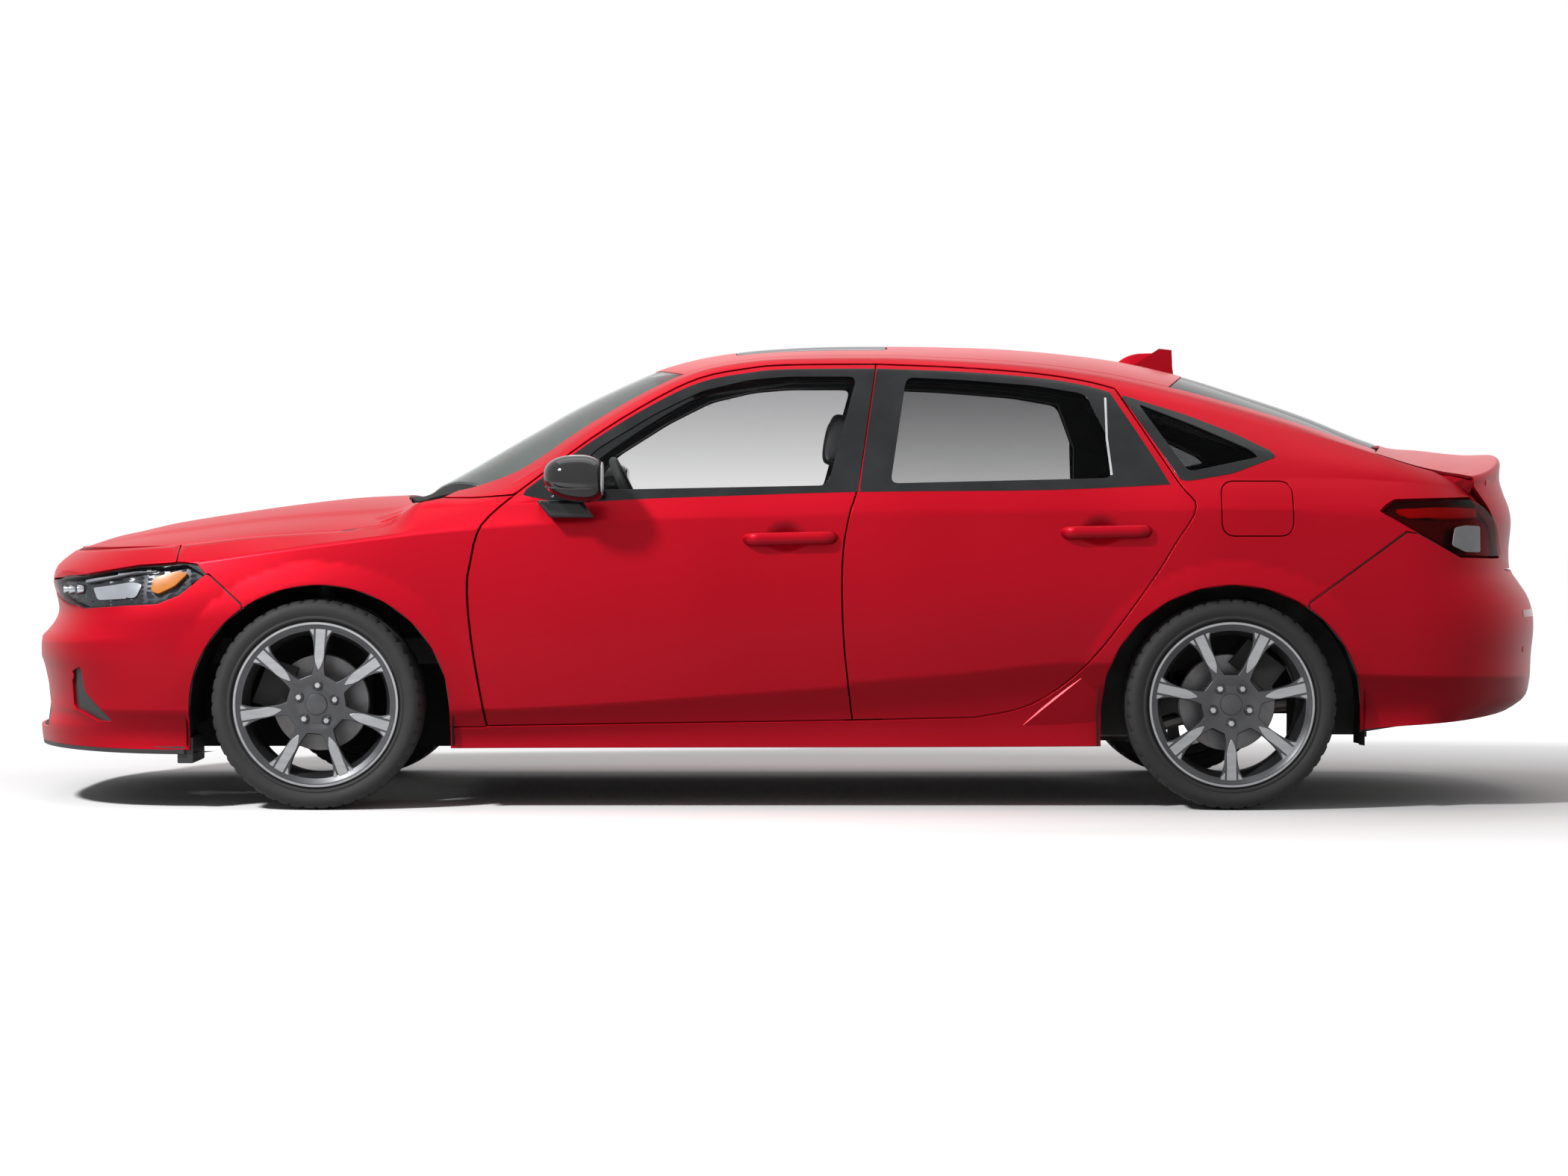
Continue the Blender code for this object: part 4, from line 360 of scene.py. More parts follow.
def dense(points, step=0.014, closed=True):
    """The same outline with no segment longer than a step."""
    points = [np.array(p, float) for p in points]
    pairs = zip(points, points[1:] + points[:1]) if closed else zip(points[:-1], points[1:])
    line = []
    for a, b in pairs:
        count = max(1, int(math.ceil(np.linalg.norm(b - a) / step)))
        line += [a + (b - a) * k / count for k in range(count)]
    if not closed:
        line.append(points[-1])
    return np.array(line)


def rounded(points, steps=4):
    """Smooth open line through given points."""
    line = []
    points = [np.array(p, float) for p in points]
    for i in range(len(points) - 1):
        p0 = points[max(i - 1, 0)]
        p1, p2 = points[i], points[i + 1]
        p3 = points[min(i + 2, len(points) - 1)]
        for k in range(steps):
            t = k / steps
            line.append(tuple(0.5 * ((2 * p1) + (p2 - p0) * t + (2 * p0 - 5 * p1 + 4 * p2 - p3) * t**2
                                     + (3 * p1 - p0 - 3 * p2 + p3) * t**3)))
    line.append(tuple(points[-1]))
    return line


def corners_rounded(points, radius, steps=5):
    """Closed outline with its corners rounded by a radius."""
    points = [np.array(p, float) for p in points]
    line = []
    for i, here in enumerate(points):
        before, after = points[i - 1], points[(i + 1) % len(points)]
        a, b = before - here, after - here
        la, lb = np.linalg.norm(a), np.linalg.norm(b)
        cut = min(radius, la * 0.45, lb * 0.45)
        start, end = here + a / la * cut, here + b / lb * cut
        for k in range(steps + 1):
            t = k / steps
            line.append((1 - t) ** 2 * start + 2 * t * (1 - t) * here + t**2 * end)
    return [tuple(p) for p in line]


def area_of(loop):
    x, y = loop[:, 0], loop[:, 1]
    return 0.5 * float(np.sum(x * np.roll(y, -1) - np.roll(x, -1) * y))


def grown(loop, distance):
    """Closed outline moved outward by a distance."""
    loop = np.asarray(loop, float)
    sign = 1 if area_of(loop) > 0 else -1
    before, after = np.roll(loop, 1, 0), np.roll(loop, -1, 0)
    first, second = loop - before, after - loop
    first /= np.maximum(np.linalg.norm(first, axis=1, keepdims=True), 1e-9)
    second /= np.maximum(np.linalg.norm(second, axis=1, keepdims=True), 1e-9)
    na = np.stack([first[:, 1], -first[:, 0]], -1) * sign
    nb = np.stack([second[:, 1], -second[:, 0]], -1) * sign
    middle = na + nb
    middle /= np.maximum(np.linalg.norm(middle, axis=1, keepdims=True), 1e-9)
    reach = distance / np.maximum((middle * na).sum(1), 0.5)
    return loop + middle * reach[:, None]


def inside(points, loop):
    """Which points lie inside a closed outline."""
    x, y = points[:, 0][:, None], points[:, 1][:, None]
    ax, ay = loop[:, 0][None], loop[:, 1][None]
    bx, by = np.roll(loop[:, 0], -1)[None], np.roll(loop[:, 1], -1)[None]
    crossing = (ay > y) != (by > y)
    with np.errstate(divide="ignore", invalid="ignore"):
        at = ax + (y - ay) / (by - ay) * (bx - ax)
    return (np.sum(crossing & (x < at), axis=1) % 2) == 1


def distance_to(points, loop):
    a, b = loop, np.roll(loop, -1, 0)
    d = b - a
    length = np.maximum((d * d).sum(1), 1e-12)
    t = np.clip(((points[:, None] - a[None]) * d[None]).sum(-1) / length[None], 0, 1)
    near = a[None] + d[None] * t[..., None]
    return np.sqrt(((points[:, None] - near) ** 2).sum(-1)).min(1)


def filled(outer, holes, spacing, extra=None):
    """Triangles over an outline less its holes, with a grid of points inside."""
    outer = outer if area_of(outer) > 0 else outer[::-1]
    holes = [h if area_of(h) < 0 else h[::-1] for h in holes]
    loops = [outer] + holes
    low, high = outer.min(0), outer.max(0)
    gx = np.arange(low[0] + spacing / 2, high[0], spacing)
    gy = np.arange(low[1] + spacing / 2, high[1], spacing * 0.9)
    xx, yy = np.meshgrid(gx, gy)
    xx = xx + (np.arange(len(gy)) % 2)[:, None] * spacing / 2
    grid = np.stack([xx.ravel(), yy.ravel()], -1)
    if extra is not None:
        grid = np.concatenate([grid, extra])
    grid = grid[inside(grid, outer)]
    for loop in loops:
        chunk = [distance_to(grid[i:i + 4000], loop) for i in range(0, len(grid), 4000)]
        near = np.concatenate(chunk) if chunk else np.zeros(0)
        ok = near > spacing * 0.33
        if loop is not outer:
            ok &= ~inside(grid, loop)
        grid = grid[ok]
    verts, edges, starts = [], [], []
    for loop in loops:
        start = len(verts)
        starts.append((start, len(loop)))
        verts += [Vector(p) for p in loop]
        edges += [(start + i, start + (i + 1) % len(loop)) for i in range(len(loop))]
    verts += [Vector(p) for p in grid]
    out = geometry.delaunay_2d_cdt(verts, edges, [], 0, 1e-7, True)
    flat = np.array([tuple(v) for v in out[0]])
    tris = np.array([f for f in out[2] if len(f) == 3], int)
    origin = {}
    for new, olds in enumerate(out[3]):
        for old in olds:
            origin[old] = new
    centres = flat[tris].mean(1)
    ok = inside(centres, outer)
    for hole in holes:
        ok &= ~inside(centres, hole)
    tris = tris[ok]
    used = np.unique(tris)
    lookup = -np.ones(len(flat), int)
    lookup[used] = np.arange(len(used))
    rings = []
    for start, count in starts:
        ring = [int(lookup[origin[start + i]]) for i in range(count)]
        rings.append([r for r in ring if r >= 0])
    return flat[used], lookup[tris], rings


def normals_of(surface, flat, step=0.004):
    """Unit normals of a mapped surface, facing out for the side and up for the top."""
    du = surface(flat + np.array([step, 0])) - surface(flat - np.array([step, 0]))
    dv = surface(flat + np.array([0, step])) - surface(flat - np.array([0, step]))
    n = np.cross(du, dv)
    return n / np.maximum(np.linalg.norm(n, axis=1, keepdims=True), 1e-12)


def unit(v):
    return v / np.maximum(np.linalg.norm(v, axis=-1, keepdims=True), 1e-12)


def make_object(name, points, faces, normals=None, look=None):
    mesh = bpy.data.meshes.new(name)
    mesh.from_pydata([tuple(map(float, p)) for p in points], [], [tuple(map(int, f)) for f in faces])
    mesh.validate()
    made = bpy.data.objects.new(name, mesh)
    bpy.context.scene.collection.objects.link(made)
    mesh.shade_smooth()
    if normals is not None and len(normals) == len(mesh.vertices):
        mesh.normals_split_custom_set_from_vertices([tuple(map(float, n)) for n in normals])
    if look is not None:
        mesh.materials.append(look)
    return made


def panel(name, surface, outer, holes=(), spacing=0.022, depth=0.010, radius=0.0016, look=None, lift=0.0,
          extra=None, shape=None, back=False):
    """Sheet on a mapped surface with rolled edges: its face, its rounded rim and its returned edge."""
    holes = [np.asarray(h, float) for h in holes]
    flat, tris, rings = filled(np.asarray(outer, float), holes, spacing, extra)

    def mapped(q):
        p = surface(q)
        return shape(q, p) if shape else p

    face_normals = normals_of(mapped, flat)
    points = mapped(flat) + face_normals * lift
    all_points = [points.copy()]
    all_normals = [face_normals.copy()]
    faces = [tuple(t) for t in tris]
    count = len(points)
    moved = points.copy()
    for ring in rings:
        ring = np.array(ring)
        p, n = points[ring], face_normals[ring]
        along = unit(np.roll(p, -1, 0) - np.roll(p, 1, 0))
        out = unit(np.cross(along, n))
        moved[ring] = p - out * radius
        rows = []
        if radius > 0:
            for angle in (30, 60, 90):
                a = math.radians(angle)
                rows.append((p - out * radius + out * radius * math.sin(a) - n * radius * (1 - math.cos(a)),
                             unit(n * math.cos(a) + out * math.sin(a))))
        rows.append((p - n * depth, out))
        previous = ring
        for row, normal in rows:
            size = len(row)
            here = np.arange(count, count + size)
            all_points.append(row)
            all_normals.append(normal)
            count += size
            for i in range(size):
                j = (i + 1) % size
                faces.append((previous[i], here[i], here[j], previous[j]))
            previous = here
    all_points[0] = moved
    if back:
        all_points.append(points - face_normals * depth)
        all_normals.append(-face_normals)
        faces += [tuple((count + t)[::-1]) for t in tris]
    return make_object(name, np.concatenate(all_points), faces, np.concatenate(all_normals), look)


MIRROR = Matrix.Scale(-1, 4, (0, 1, 0))


def mirror_copy(thing, name):
    """Right-hand twin of a left-hand piece."""
    mesh = thing.data.copy()
    mesh.name = name
    twin = bpy.data.objects.new(name, mesh)
    bpy.context.scene.collection.objects.link(twin)
    mesh.transform(MIRROR)
    mesh.flip_normals()
    return twin


def clean_loop(*parts, least=0.0025):
    """Closed outline from parts, without points that nearly coincide."""
    points = np.concatenate([np.asarray(p, float) for p in parts])
    kept = [points[0]]
    for p in points[1:]:
        if np.linalg.norm(p - kept[-1]) > least:
            kept.append(p)
    if np.linalg.norm(kept[0] - kept[-1]) < least:
        kept.pop()
    return np.array(kept)


# Outlines in the side view, as in the part

FRONT_DOOR_EDGE = [(-0.905, 0.250), (-0.945, 0.480), (-0.961, 0.651), (-0.952, 0.736), (-0.919, 0.852),
                   (-0.816, 0.950)]
FRONT_DOOR_TOP = [(-0.816, 0.950), (-0.60, 1.112), (-0.42, 1.226), (-0.272, 1.298), (-0.12, 1.329),
                  (0.0, 1.339), (0.264, 1.341)]
DOOR_SPLIT = [(0.264, 1.341), (0.208, 0.987), (0.180, 0.885), (0.161, 0.780), (0.157, 0.650), (0.164, 0.480),
              (0.188, 0.267)]
REAR_DOOR_TOP = [(0.264, 1.341), (0.52, 1.331), (0.75, 1.313), (0.90, 1.290), (0.992, 1.266)]
REAR_DOOR_EDGE = [(0.992, 1.266), (1.162, 0.984), (1.213, 0.905), (1.151, 0.796), (1.068, 0.667),
                  (0.890, 0.437), (0.725, 0.315), (0.554, 0.275)]
DOOR_FOOT = [(0.554, 0.275), (0.188, 0.267), (-0.905, 0.250)]
FRONT_WINDOW = [(-0.700, 0.950), (-0.585, 1.082), (-0.41, 1.190), (-0.265, 1.262), (-0.12, 1.296),
                (0.0, 1.306),
                (0.210, 1.306), (0.118, 0.966)]
REAR_WINDOW = [(0.298, 0.972), (0.352, 1.304), (0.52, 1.296), (0.75, 1.278), (0.905, 1.252), (0.965, 1.11),
               (0.972, 0.988)]
QUARTER_WINDOW = [(1.050, 1.226), (1.195, 1.006), (1.420, 1.053), (1.392, 1.080), (1.22, 1.158)]
LAMP_TOP = [(-1.749, 0.704), (-1.775, 0.732), (-1.811, 0.738), (-1.953, 0.729), (-2.132, 0.699)]
LAMP_BOTTOM = [(-2.132, 0.602), (-1.994, 0.613), (-1.89, 0.618), (-1.82, 0.645), (-1.749, 0.704)]
LAMP_END = [(-0.462, 0.682), (-0.462, 0.640)]
FUEL_FLAP = [(1.290, 0.818), (1.504, 0.818), (1.504, 0.983), (1.290, 0.983)]
FOOT_Z = 0.2467
LID_SIDE_Z = (0.715, 0.965)
LID_SIDE_Y = (0.560, 0.690)
SHUT_GAP = 0.0022
EDGE_GAP = 0.0035
PANE_GAP = 0.0012
AIR_SLOT = [(-2.133, 0.426), (-2.120, 0.350), (-2.030, 0.262), (-2.075, 0.262), (-2.160, 0.300),
            (-2.165, 0.410)]
UPPER_GRILLE = [(-0.42, 0.560), (0.42, 0.560), (0.40, 0.645), (-0.40, 0.645)]
LOWER_GRILLE = [(-0.60, 0.235), (0.60, 0.235), (0.52, 0.440), (-0.52, 0.440)]


def arch_line(centre, grow, start, end, count=40):
    """Arch lip between two angles from the front, in degrees."""
    angles = np.radians(np.linspace(start, end, count))
    return [(centre - (ARCH_HALF_WIDTH + grow) * math.cos(a),
             ARCH_BASE_Z + (ARCH_HEIGHT + grow) * math.sin(a))
            for a in angles]


def angle_at(centre, x):
    """Angle on the arch lip at an X, from the front, in degrees."""
    return math.degrees(math.acos(max(-1, min(1, (centre - x) / ARCH_HALF_WIDTH))))


def lid_half(z):
    return float(np.interp(z, LID_SIDE_Z, LID_SIDE_Y))


def shrunk(loop, gap):
    return grown(loop, -gap)


def dent(centre, size, depth):
    """Hollow pressed into the left side behind a handle."""
    def shape(q, p):
        r = ((p[:, 0] - centre[0]) / size[0]) ** 2 + ((p[:, 2] - centre[1]) / size[1]) ** 2
        p = p.copy()
        p[:, 1] += depth * np.clip(1 - r, 0, 1) ** 1.6
        return p
    return shape


def ring_points(centre, sizes):
    """Points in rings round a feature, so that its form is finely meshed."""
    middle = find_st([centre])[0]
    points = []
    for k in range(1, 9):
        r = k / 8 * 1.05
        for i in range(6 * k):
            a = 2 * math.pi * i / (6 * k)
            points.append(middle + np.array([sizes[0] * r * math.cos(a), sizes[1] * r * math.sin(a)]))
    return np.array(points)


FRONT_CUP = ((-0.009, 0.814), (0.066, 0.052))
REAR_CUP = ((0.930, 0.832), (0.066, 0.052))
CUP_DEPTH = 0.011


def door_loops():
    front_xz = rounded(FRONT_DOOR_EDGE)[:-1] + rounded(FRONT_DOOR_TOP)[:-1] + rounded(DOOR_SPLIT)[:-1]
    front_xz += [(0.188, 0.267)]
    rear_xz = rounded(REAR_DOOR_TOP)[:-1] + rounded(REAR_DOOR_EDGE)[:-1] + [(0.554, 0.275), (0.188, 0.267)]
    rear_xz += rounded(DOOR_SPLIT)[::-1][1:-1]
    return dense(front_xz, 0.014), dense(rear_xz, 0.014)


def build_side_skins(looks, only_side=False):
    """Left-hand outer panels: fender, doors, body side with sill and quarter, fuel flap."""
    pieces = {}
    paint = looks["paint"]
    front_xz, rear_xz = door_loops()
    doors = (("door_skin_front_left", front_xz, FRONT_WINDOW, FRONT_CUP),
             ("door_skin_rear_left", rear_xz, REAR_WINDOW, REAR_CUP))
    for name, loop, window, cup in () if only_side else doors:
        outer = clean_loop(find_st(shrunk(clean_loop(loop), SHUT_GAP)))
        hole = body_loop(window, 0.03, 0.012)
        pieces[name] = panel(name, body_surface, outer, [hole], look=paint, extra=ring_points(*cup),
                             shape=dent(*cup, CUP_DEPTH), depth=0.009, spacing=0.020)
    arch_end = angle_at(FRONT_ARCH_X, -1.634)
    edge = [(x - 0.0045, z) for x, z in rounded(FRONT_DOOR_EDGE)]
    arch_foot = FRONT_ARCH_X + ARCH_HALF_WIDTH
    fender = clean_loop(
        on_side(arch_line(FRONT_ARCH_X, 0, arch_end + 0.6, 180)),
        on_side([(arch_foot, 0.299), (arch_foot, FOOT_Z + 0.001), (edge[0][0], FOOT_Z + 0.001)]),
        on_side(edge[:-1]),
        on_side([(-0.828, 0.9395), (-0.95, 0.9315), (-1.046, 0.9315)]),
        on_level(5, u_at(-1.075, 5), u_at(-1.8345, 5)),
        on_side([(-1.8345, 0.742), (-1.8345, 0.7415)]),
        on_side([(-1.811, 0.7415), (-1.772, 0.7355), (-1.7445, 0.705)]),
        on_side([(-1.735, 0.7065), (-1.634, 0.6165)]))
    if not only_side:
        pieces["fender_skin_left"] = panel("fender_skin_left", body_surface, fender, look=paint, depth=0.008,
                                           spacing=0.020)
    over_doors = rounded(FRONT_DOOR_TOP)[:-1] + rounded(REAR_DOOR_TOP)[:-1]
    over_doors += rounded(REAR_DOOR_EDGE)[:-1] + DOOR_FOOT
    opening = grown(clean_loop(over_doors + rounded(FRONT_DOOR_EDGE)[1:-1]), 0.0024)
    inner_line = opening[:len(over_doors)]
    tail_us = np.linspace(2.0, 3.0, 500)
    level_five = side_xyz(tail_us, 5 + 0 * tail_us)
    corner_u = float(tail_us[np.argmax(-level_five[:, 1] < LID_SIDE_Y[1] + 0.004)])
    corner_z = float(side_xyz(corner_u, 5.0)[0, 2])
    rear_arch_end = angle_at(REAR_ARCH_X, 1.545)
    arch_foot = REAR_ARCH_X - ARCH_HALF_WIDTH
    side = clean_loop(
        on_side(inner_line[::-1]),
        on_side([(-0.832, 0.9445), (-0.95, 0.9365), (-1.04, 0.9365)]),
        on_level(6, u_at(-1.005, 6), u_at(1.786, 6)),
        on_level(5, u_at(1.779, 5), corner_u),
        on_tail([(-LID_SIDE_Y[1] - 0.004, corner_z - 0.006), (-LID_SIDE_Y[1] - 0.004, 0.9335)]),
        on_side([(2.056, 0.9355), (1.813, 0.9285), (1.786, 0.914), (1.7635, 0.894), (1.800, 0.868),
                 (1.876, 0.8265)]),
        on_side([(1.842, 0.8340), (1.70, 0.7300), (1.5475, 0.6230)]),
        on_side(arch_line(REAR_ARCH_X, 0, rear_arch_end, 0)),
        on_side([(arch_foot, 0.299), (arch_foot, 0.210)]),
        on_level(0, u_at(arch_foot, 0), u_at(-1.0155, 0)),
        on_side([(-1.0155, 0.215), (-1.0155, FOOT_Z - 0.0025), (-0.9115, FOOT_Z - 0.0025)]))
    holes = [body_loop(QUARTER_WINDOW, 0.025, 0.012)]
    flap = clean_loop(dense(corners_rounded(FUEL_FLAP, 0.042, 8), 0.012))
    if not only_side:
        holes.append(clean_loop(find_st(grown(flap, 0.0015))))
    pieces["body_side_left"] = panel("body_side_left", body_surface, side, holes, look=paint, depth=0.009,
                                     spacing=0.020)
    if only_side:
        return pieces
    pieces["fuel_flap_skin"] = panel("fuel_flap_skin", body_surface,
                                     clean_loop(find_st(shrunk(flap, 0.0015))),
                                     look=paint, depth=0.003, back=True, spacing=0.018)
    return pieces


def build_bumpers(looks):
    """Skins of both bumpers, each over its whole width."""
    arch_end = angle_at(FRONT_ARCH_X, -1.634)
    arch_foot = FRONT_ARCH_X - ARCH_HALF_WIDTH
    half = clean_loop(
        on_level(0, 0.0, u_at(arch_foot, 0)),
        on_side([(arch_foot, 0.215), (arch_foot, 0.299)]),
        on_side(arch_line(FRONT_ARCH_X, 0, 0, arch_end)),
        on_side([(-1.637, 0.6135), (-1.738, 0.7035)]),
        on_side([(-1.749, 0.7005), (-1.822, 0.6415), (-1.89, 0.6145), (-1.994, 0.6095), (-2.132, 0.5985)]),
        on_nose([(-0.459, 0.6365), (-0.459, 0.6855)], 0.01),
        on_side([(-2.132, 0.7025), (-1.953, 0.7325), (-1.8375, 0.7410)]),
        on_side([(-1.8375, 0.750)]),
        on_level(5, u_at(-1.8375, 5), 0.0))
    whole = clean_loop(half, np.stack([-half[::-1, 0], half[::-1, 1]], -1)[1:-1])
    holes = []
    for outline in (UPPER_GRILLE, LOWER_GRILLE):
        loop = dense(corners_rounded(outline, 0.02), 0.015)
        st = find_st(np.stack([-np.abs(loop[:, 0]), loop[:, 1]], -1), "nose")
        st[:, 0] = np.where(loop[:, 0] > 0, -st[:, 0], st[:, 0])
        holes.append(clean_loop(st))
    slot = corners_rounded(AIR_SLOT, 0.012)
    slot_left = clean_loop(on_side(slot + slot[:1], 0.012))
    slot_right = clean_loop(np.stack([-slot_left[:, 0], slot_left[:, 1]], -1))
    front = panel("front_bumper_skin", body_surface, whole, holes + [slot_left, slot_right],
                  look=looks["paint"],
                  depth=0.012, spacing=0.022)
    rear_arch_end = angle_at(REAR_ARCH_X, 1.545)
    arch_foot = REAR_ARCH_X + ARCH_HALF_WIDTH
    high = clean_loop(
        on_side([(1.552, 0.6165), (1.700, 0.7225), (1.846, 0.8275), (1.878, 0.8245), (2.013, 0.7530),
                 (2.139, 0.7490)]),
        on_tail([(-lid_half(0.749) - 0.006, 0.749), (-lid_half(0.712) - 0.006, 0.712), (-0.50, 0.7095),
                 (-0.01, 0.7095)]),
        on_tail([(0.0, 0.7095)]))
    low = clean_loop(
        on_level(0, 3.0, u_at(arch_foot, 0)),
        on_side([(arch_foot, 0.26), (arch_foot, 0.299)]),
        on_side(arch_line(REAR_ARCH_X, 0, 180, rear_arch_end + 1)))
    left = clean_loop(low, high)
    mirrored = np.stack([2 * S_END - left[::-1, 0], left[::-1, 1]], -1)
    rear = panel("rear_bumper_skin", body_surface, clean_loop(left, mirrored), look=looks["paint"],
                 depth=0.012,
                 spacing=0.022)
    return front, rear


# Top panels, over plan outlines as (X, Y)

HOOD_NOSE_X = -2.252
HOOD_REAR = (-1.200, 0.090)
SHIELD_BASE = (-1.140, 0.205)
HEADER = (-0.430, 0.105)
LIGHT_TOP = (1.250, -0.085)
LIGHT_BASE = (1.852, -0.080)
LID_FRONT = (1.862, -0.086)
LID_REAR_X = 2.247
LID_HALF_WIDTH = 0.6865
HOOD_NOSE_DROP = 0.009
SUNROOF = [(-0.165, -0.40), (0.305, -0.40), (0.305, 0.40), (-0.165, 0.40)]


def cross_line(line, shares, band=1.0, gap=0.0, shift=0.0):
    """Line across the car: middle X and sweep, for shares of the width."""
    points = []
    for share in shares:
        x = line[0] + line[1] * share * share + shift
        points.append((x, share * (float(LEVEL_W[5](x)) * band - gap)))
    return points


def hood_front_x(share):
    turned_in = 1 - (1 - min(abs(share), 1.0) ** 2.6) ** (1 / 3)
    return HOOD_NOSE_X + 0.005 + (NOSE_START_X - HOOD_NOSE_X) * turned_in


def edge_line(x0, x1, side, band=1.0, gap=0.0, step=0.03):
    xs = np.linspace(x0, x1, max(2, int(abs(x1 - x0) / step)))
    return [(float(x), side * (float(LEVEL_W[5](x)) * band - gap)) for x in xs]


def plan_loop(front, rear, band, gap, shift=(0.0, 0.0)):
    """Closed outline between two lines across the car."""
    shares = np.linspace(-1.0, 1.0, 61)
    first = cross_line(front, shares, band, gap, shift[0])
    last = cross_line(rear, shares[::-1], band, gap, shift[1])
    left = edge_line(last[-1][0], first[0][0], -1, band, gap)[1:-1]
    right = edge_line(first[-1][0], last[0][0], 1, band, gap)[1:-1]
    return clean_loop(dense(first + right + last + left, 0.02))


def tail_bow(y, half=0.80, reach=0.44):
    share = min(abs(y) / half, 0.98)
    return reach * (1 - (1 - share ** 2.2) ** (1 / 2.5))


def hood_shape(q, p):
    """Two soft raised lines along the hood that fade towards the nose, where its edge dips to the bumper."""
    p = p.copy()
    x, y = p[:, 0], np.abs(p[:, 1])
    line = 0.46 + 0.10 * (x + 2.2)
    fade = ramp(x, -2.20, -1.9) * (1 - ramp(x, -1.22, -1.10))
    p[:, 2] -= HOOD_NOSE_DROP * (1 - ramp(x, -2.17, -1.93))
    p[:, 2] -= 0.0045 * fade * ramp(y, line - 0.02, line + 0.05) * (1 - ramp(y, line + 0.05, line + 0.22))
    return p


def build_top(looks):
    """Hood, cowl, windshield, roof with its glass panel, rear window and trunk lid."""
    shares = np.concatenate([np.linspace(-0.995, -0.9, 12), np.linspace(-0.88, 0.88, 60),
                             np.linspace(0.9, 0.995, 12)])
    front = []
    for share in shares:
        x = hood_front_x(share)
        front.append((x, share * (float(LEVEL_W[5](x)) - EDGE_GAP)))
    rear = cross_line(HOOD_REAR, np.linspace(0.992, -0.992, 61), 1.0, EDGE_GAP, -0.004)
    left = edge_line(rear[-1][0], front[0][0], -1, 1.0, EDGE_GAP)[1:-1]
    right = edge_line(front[-1][0], rear[0][0], 1, 1.0, EDGE_GAP)[1:-1]
    hood_loop = clean_loop(dense(front + right + rear + left, 0.02))
    roof_hole = dense(corners_rounded(SUNROOF, 0.045, 8), 0.015)
    cowl = plan_loop(HOOD_REAR, SHIELD_BASE, RAIL_BAND, 0.001, (0.004, -0.001))
    shield = plan_loop(SHIELD_BASE, HEADER, RAIL_BAND, PANE_GAP, (0.001, -0.001))
    roof = plan_loop(HEADER, LIGHT_TOP, RAIL_BAND, PANE_GAP, (0.0012, -0.0012))
    light = plan_loop(LIGHT_TOP, LIGHT_BASE, RAIL_BAND, PANE_GAP, (0.001, -0.001))
    glazed = {"lift": -0.0012, "depth": 0.0048, "spacing": 0.03, "back": True}
    table = (("hood_skin", hood_loop, (), "paint", {"depth": 0.012, "spacing": 0.025, "shape": hood_shape}),
             ("cowl_skin", cowl, (), "liner", {"lift": -0.006, "depth": 0.010, "spacing": 0.03}),
             ("windshield_pane", shield, (), "windshield", glazed),
             ("roof_skin", roof, [roof_hole], "paint", {"depth": 0.008, "spacing": 0.03}),
             ("sunroof_glass", grown(clean_loop(roof_hole), -0.004), (), "roof_glass",
              {"depth": 0.006, "spacing": 0.03, "back": True}),
             ("rear_window_pane", light, (), "rear_glass", glazed))
    pieces = {}
    for name, outline, holes, look, sizes in table:
        pieces[name] = panel(name, top_of_xy, outline, holes, look=looks[look], **sizes)
    pieces["lid_skin"] = build_lid(looks)
    return pieces


def grid_sheet(name, rows, look, thick, closed=False, sharp=35):
    """Sheet through a grid of points, given a thickness inward."""
    rows = np.asarray(rows, float)
    n, m = rows.shape[:2]
    faces = []
    for i in range(n - 1):
        for j in range(m - 1 + (1 if closed else 0)):
            k = (j + 1) % m
            faces.append((i * m + j, i * m + k, (i + 1) * m + k, (i + 1) * m + j))
    made = make_object(name, rows.reshape(-1, 3), faces, look=look)
    if thick:
        solid = made.modifiers.new("thick", "SOLIDIFY")
        solid.thickness = thick
        solid.offset = -1
        solid.use_even_offset = True
        apply_modifiers(made)
    made.data.set_sharp_from_angle(angle=math.radians(sharp))
    return made


def apply_modifiers(thing):
    graph = bpy.context.evaluated_depsgraph_get()
    mesh = bpy.data.meshes.new_from_object(thing.evaluated_get(graph), depsgraph=graph)
    old = thing.data
    thing.modifiers.clear()
    thing.data = mesh
    mesh.name = thing.name
    bpy.data.meshes.remove(old)


def build_lid(looks):
    """Trunk lid: deck, spoiler lip and rear face in one sheet."""
    rows = []
    shares = np.concatenate([np.linspace(-1, -0.95, 5)[:-1], np.linspace(-0.95, 0.95, 61),
                             np.linspace(0.95, 1, 5)[1:]])
    for share in shares:
        x_front = LID_FRONT[0] + LID_FRONT[1] * share * share
        y_rear = share * 0.685
        x_rear = LID_REAR_X - tail_bow(y_rear)
        column = []
        for t in np.linspace(0, 0.94, 16):
            x = x_front + (x_rear - x_front) * t
            half = min(float(LEVEL_W[5](x)) - EDGE_GAP, LID_HALF_WIDTH)
            y = share * half
            z = float(top_z(x, y / float(LEVEL_W[5](x))))
            z += 0.004 * float(ramp(x, x_rear - 0.10, x_rear - 0.02))
            column.append(Vector((x, y, z)))
        z_lip = column[-1].z
        face = []
        for z in np.linspace(z_lip - 0.030, LID_SIDE_Z[0], 26):
            y = share * lid_half(z) * 0.995
            face.append(Vector((float(tail_x(z)) - tail_bow(y), y, z)))
        start, end = column[-1], face[0]
        knee = Vector((x_rear + 0.004, share * LID_HALF_WIDTH, z_lip + 0.0015))
        for k in range(1, 7):
            t = k / 7
            column.append((1 - t) ** 2 * start + 2 * t * (1 - t) * knee + t * t * end)
        rows.append([tuple(p) for p in column + face])
    return grid_sheet("lid_skin", rows, looks["paint"], 0.008, sharp=40)


# Wheels, in wheel coordinates: centre at the origin, outer face towards -Y

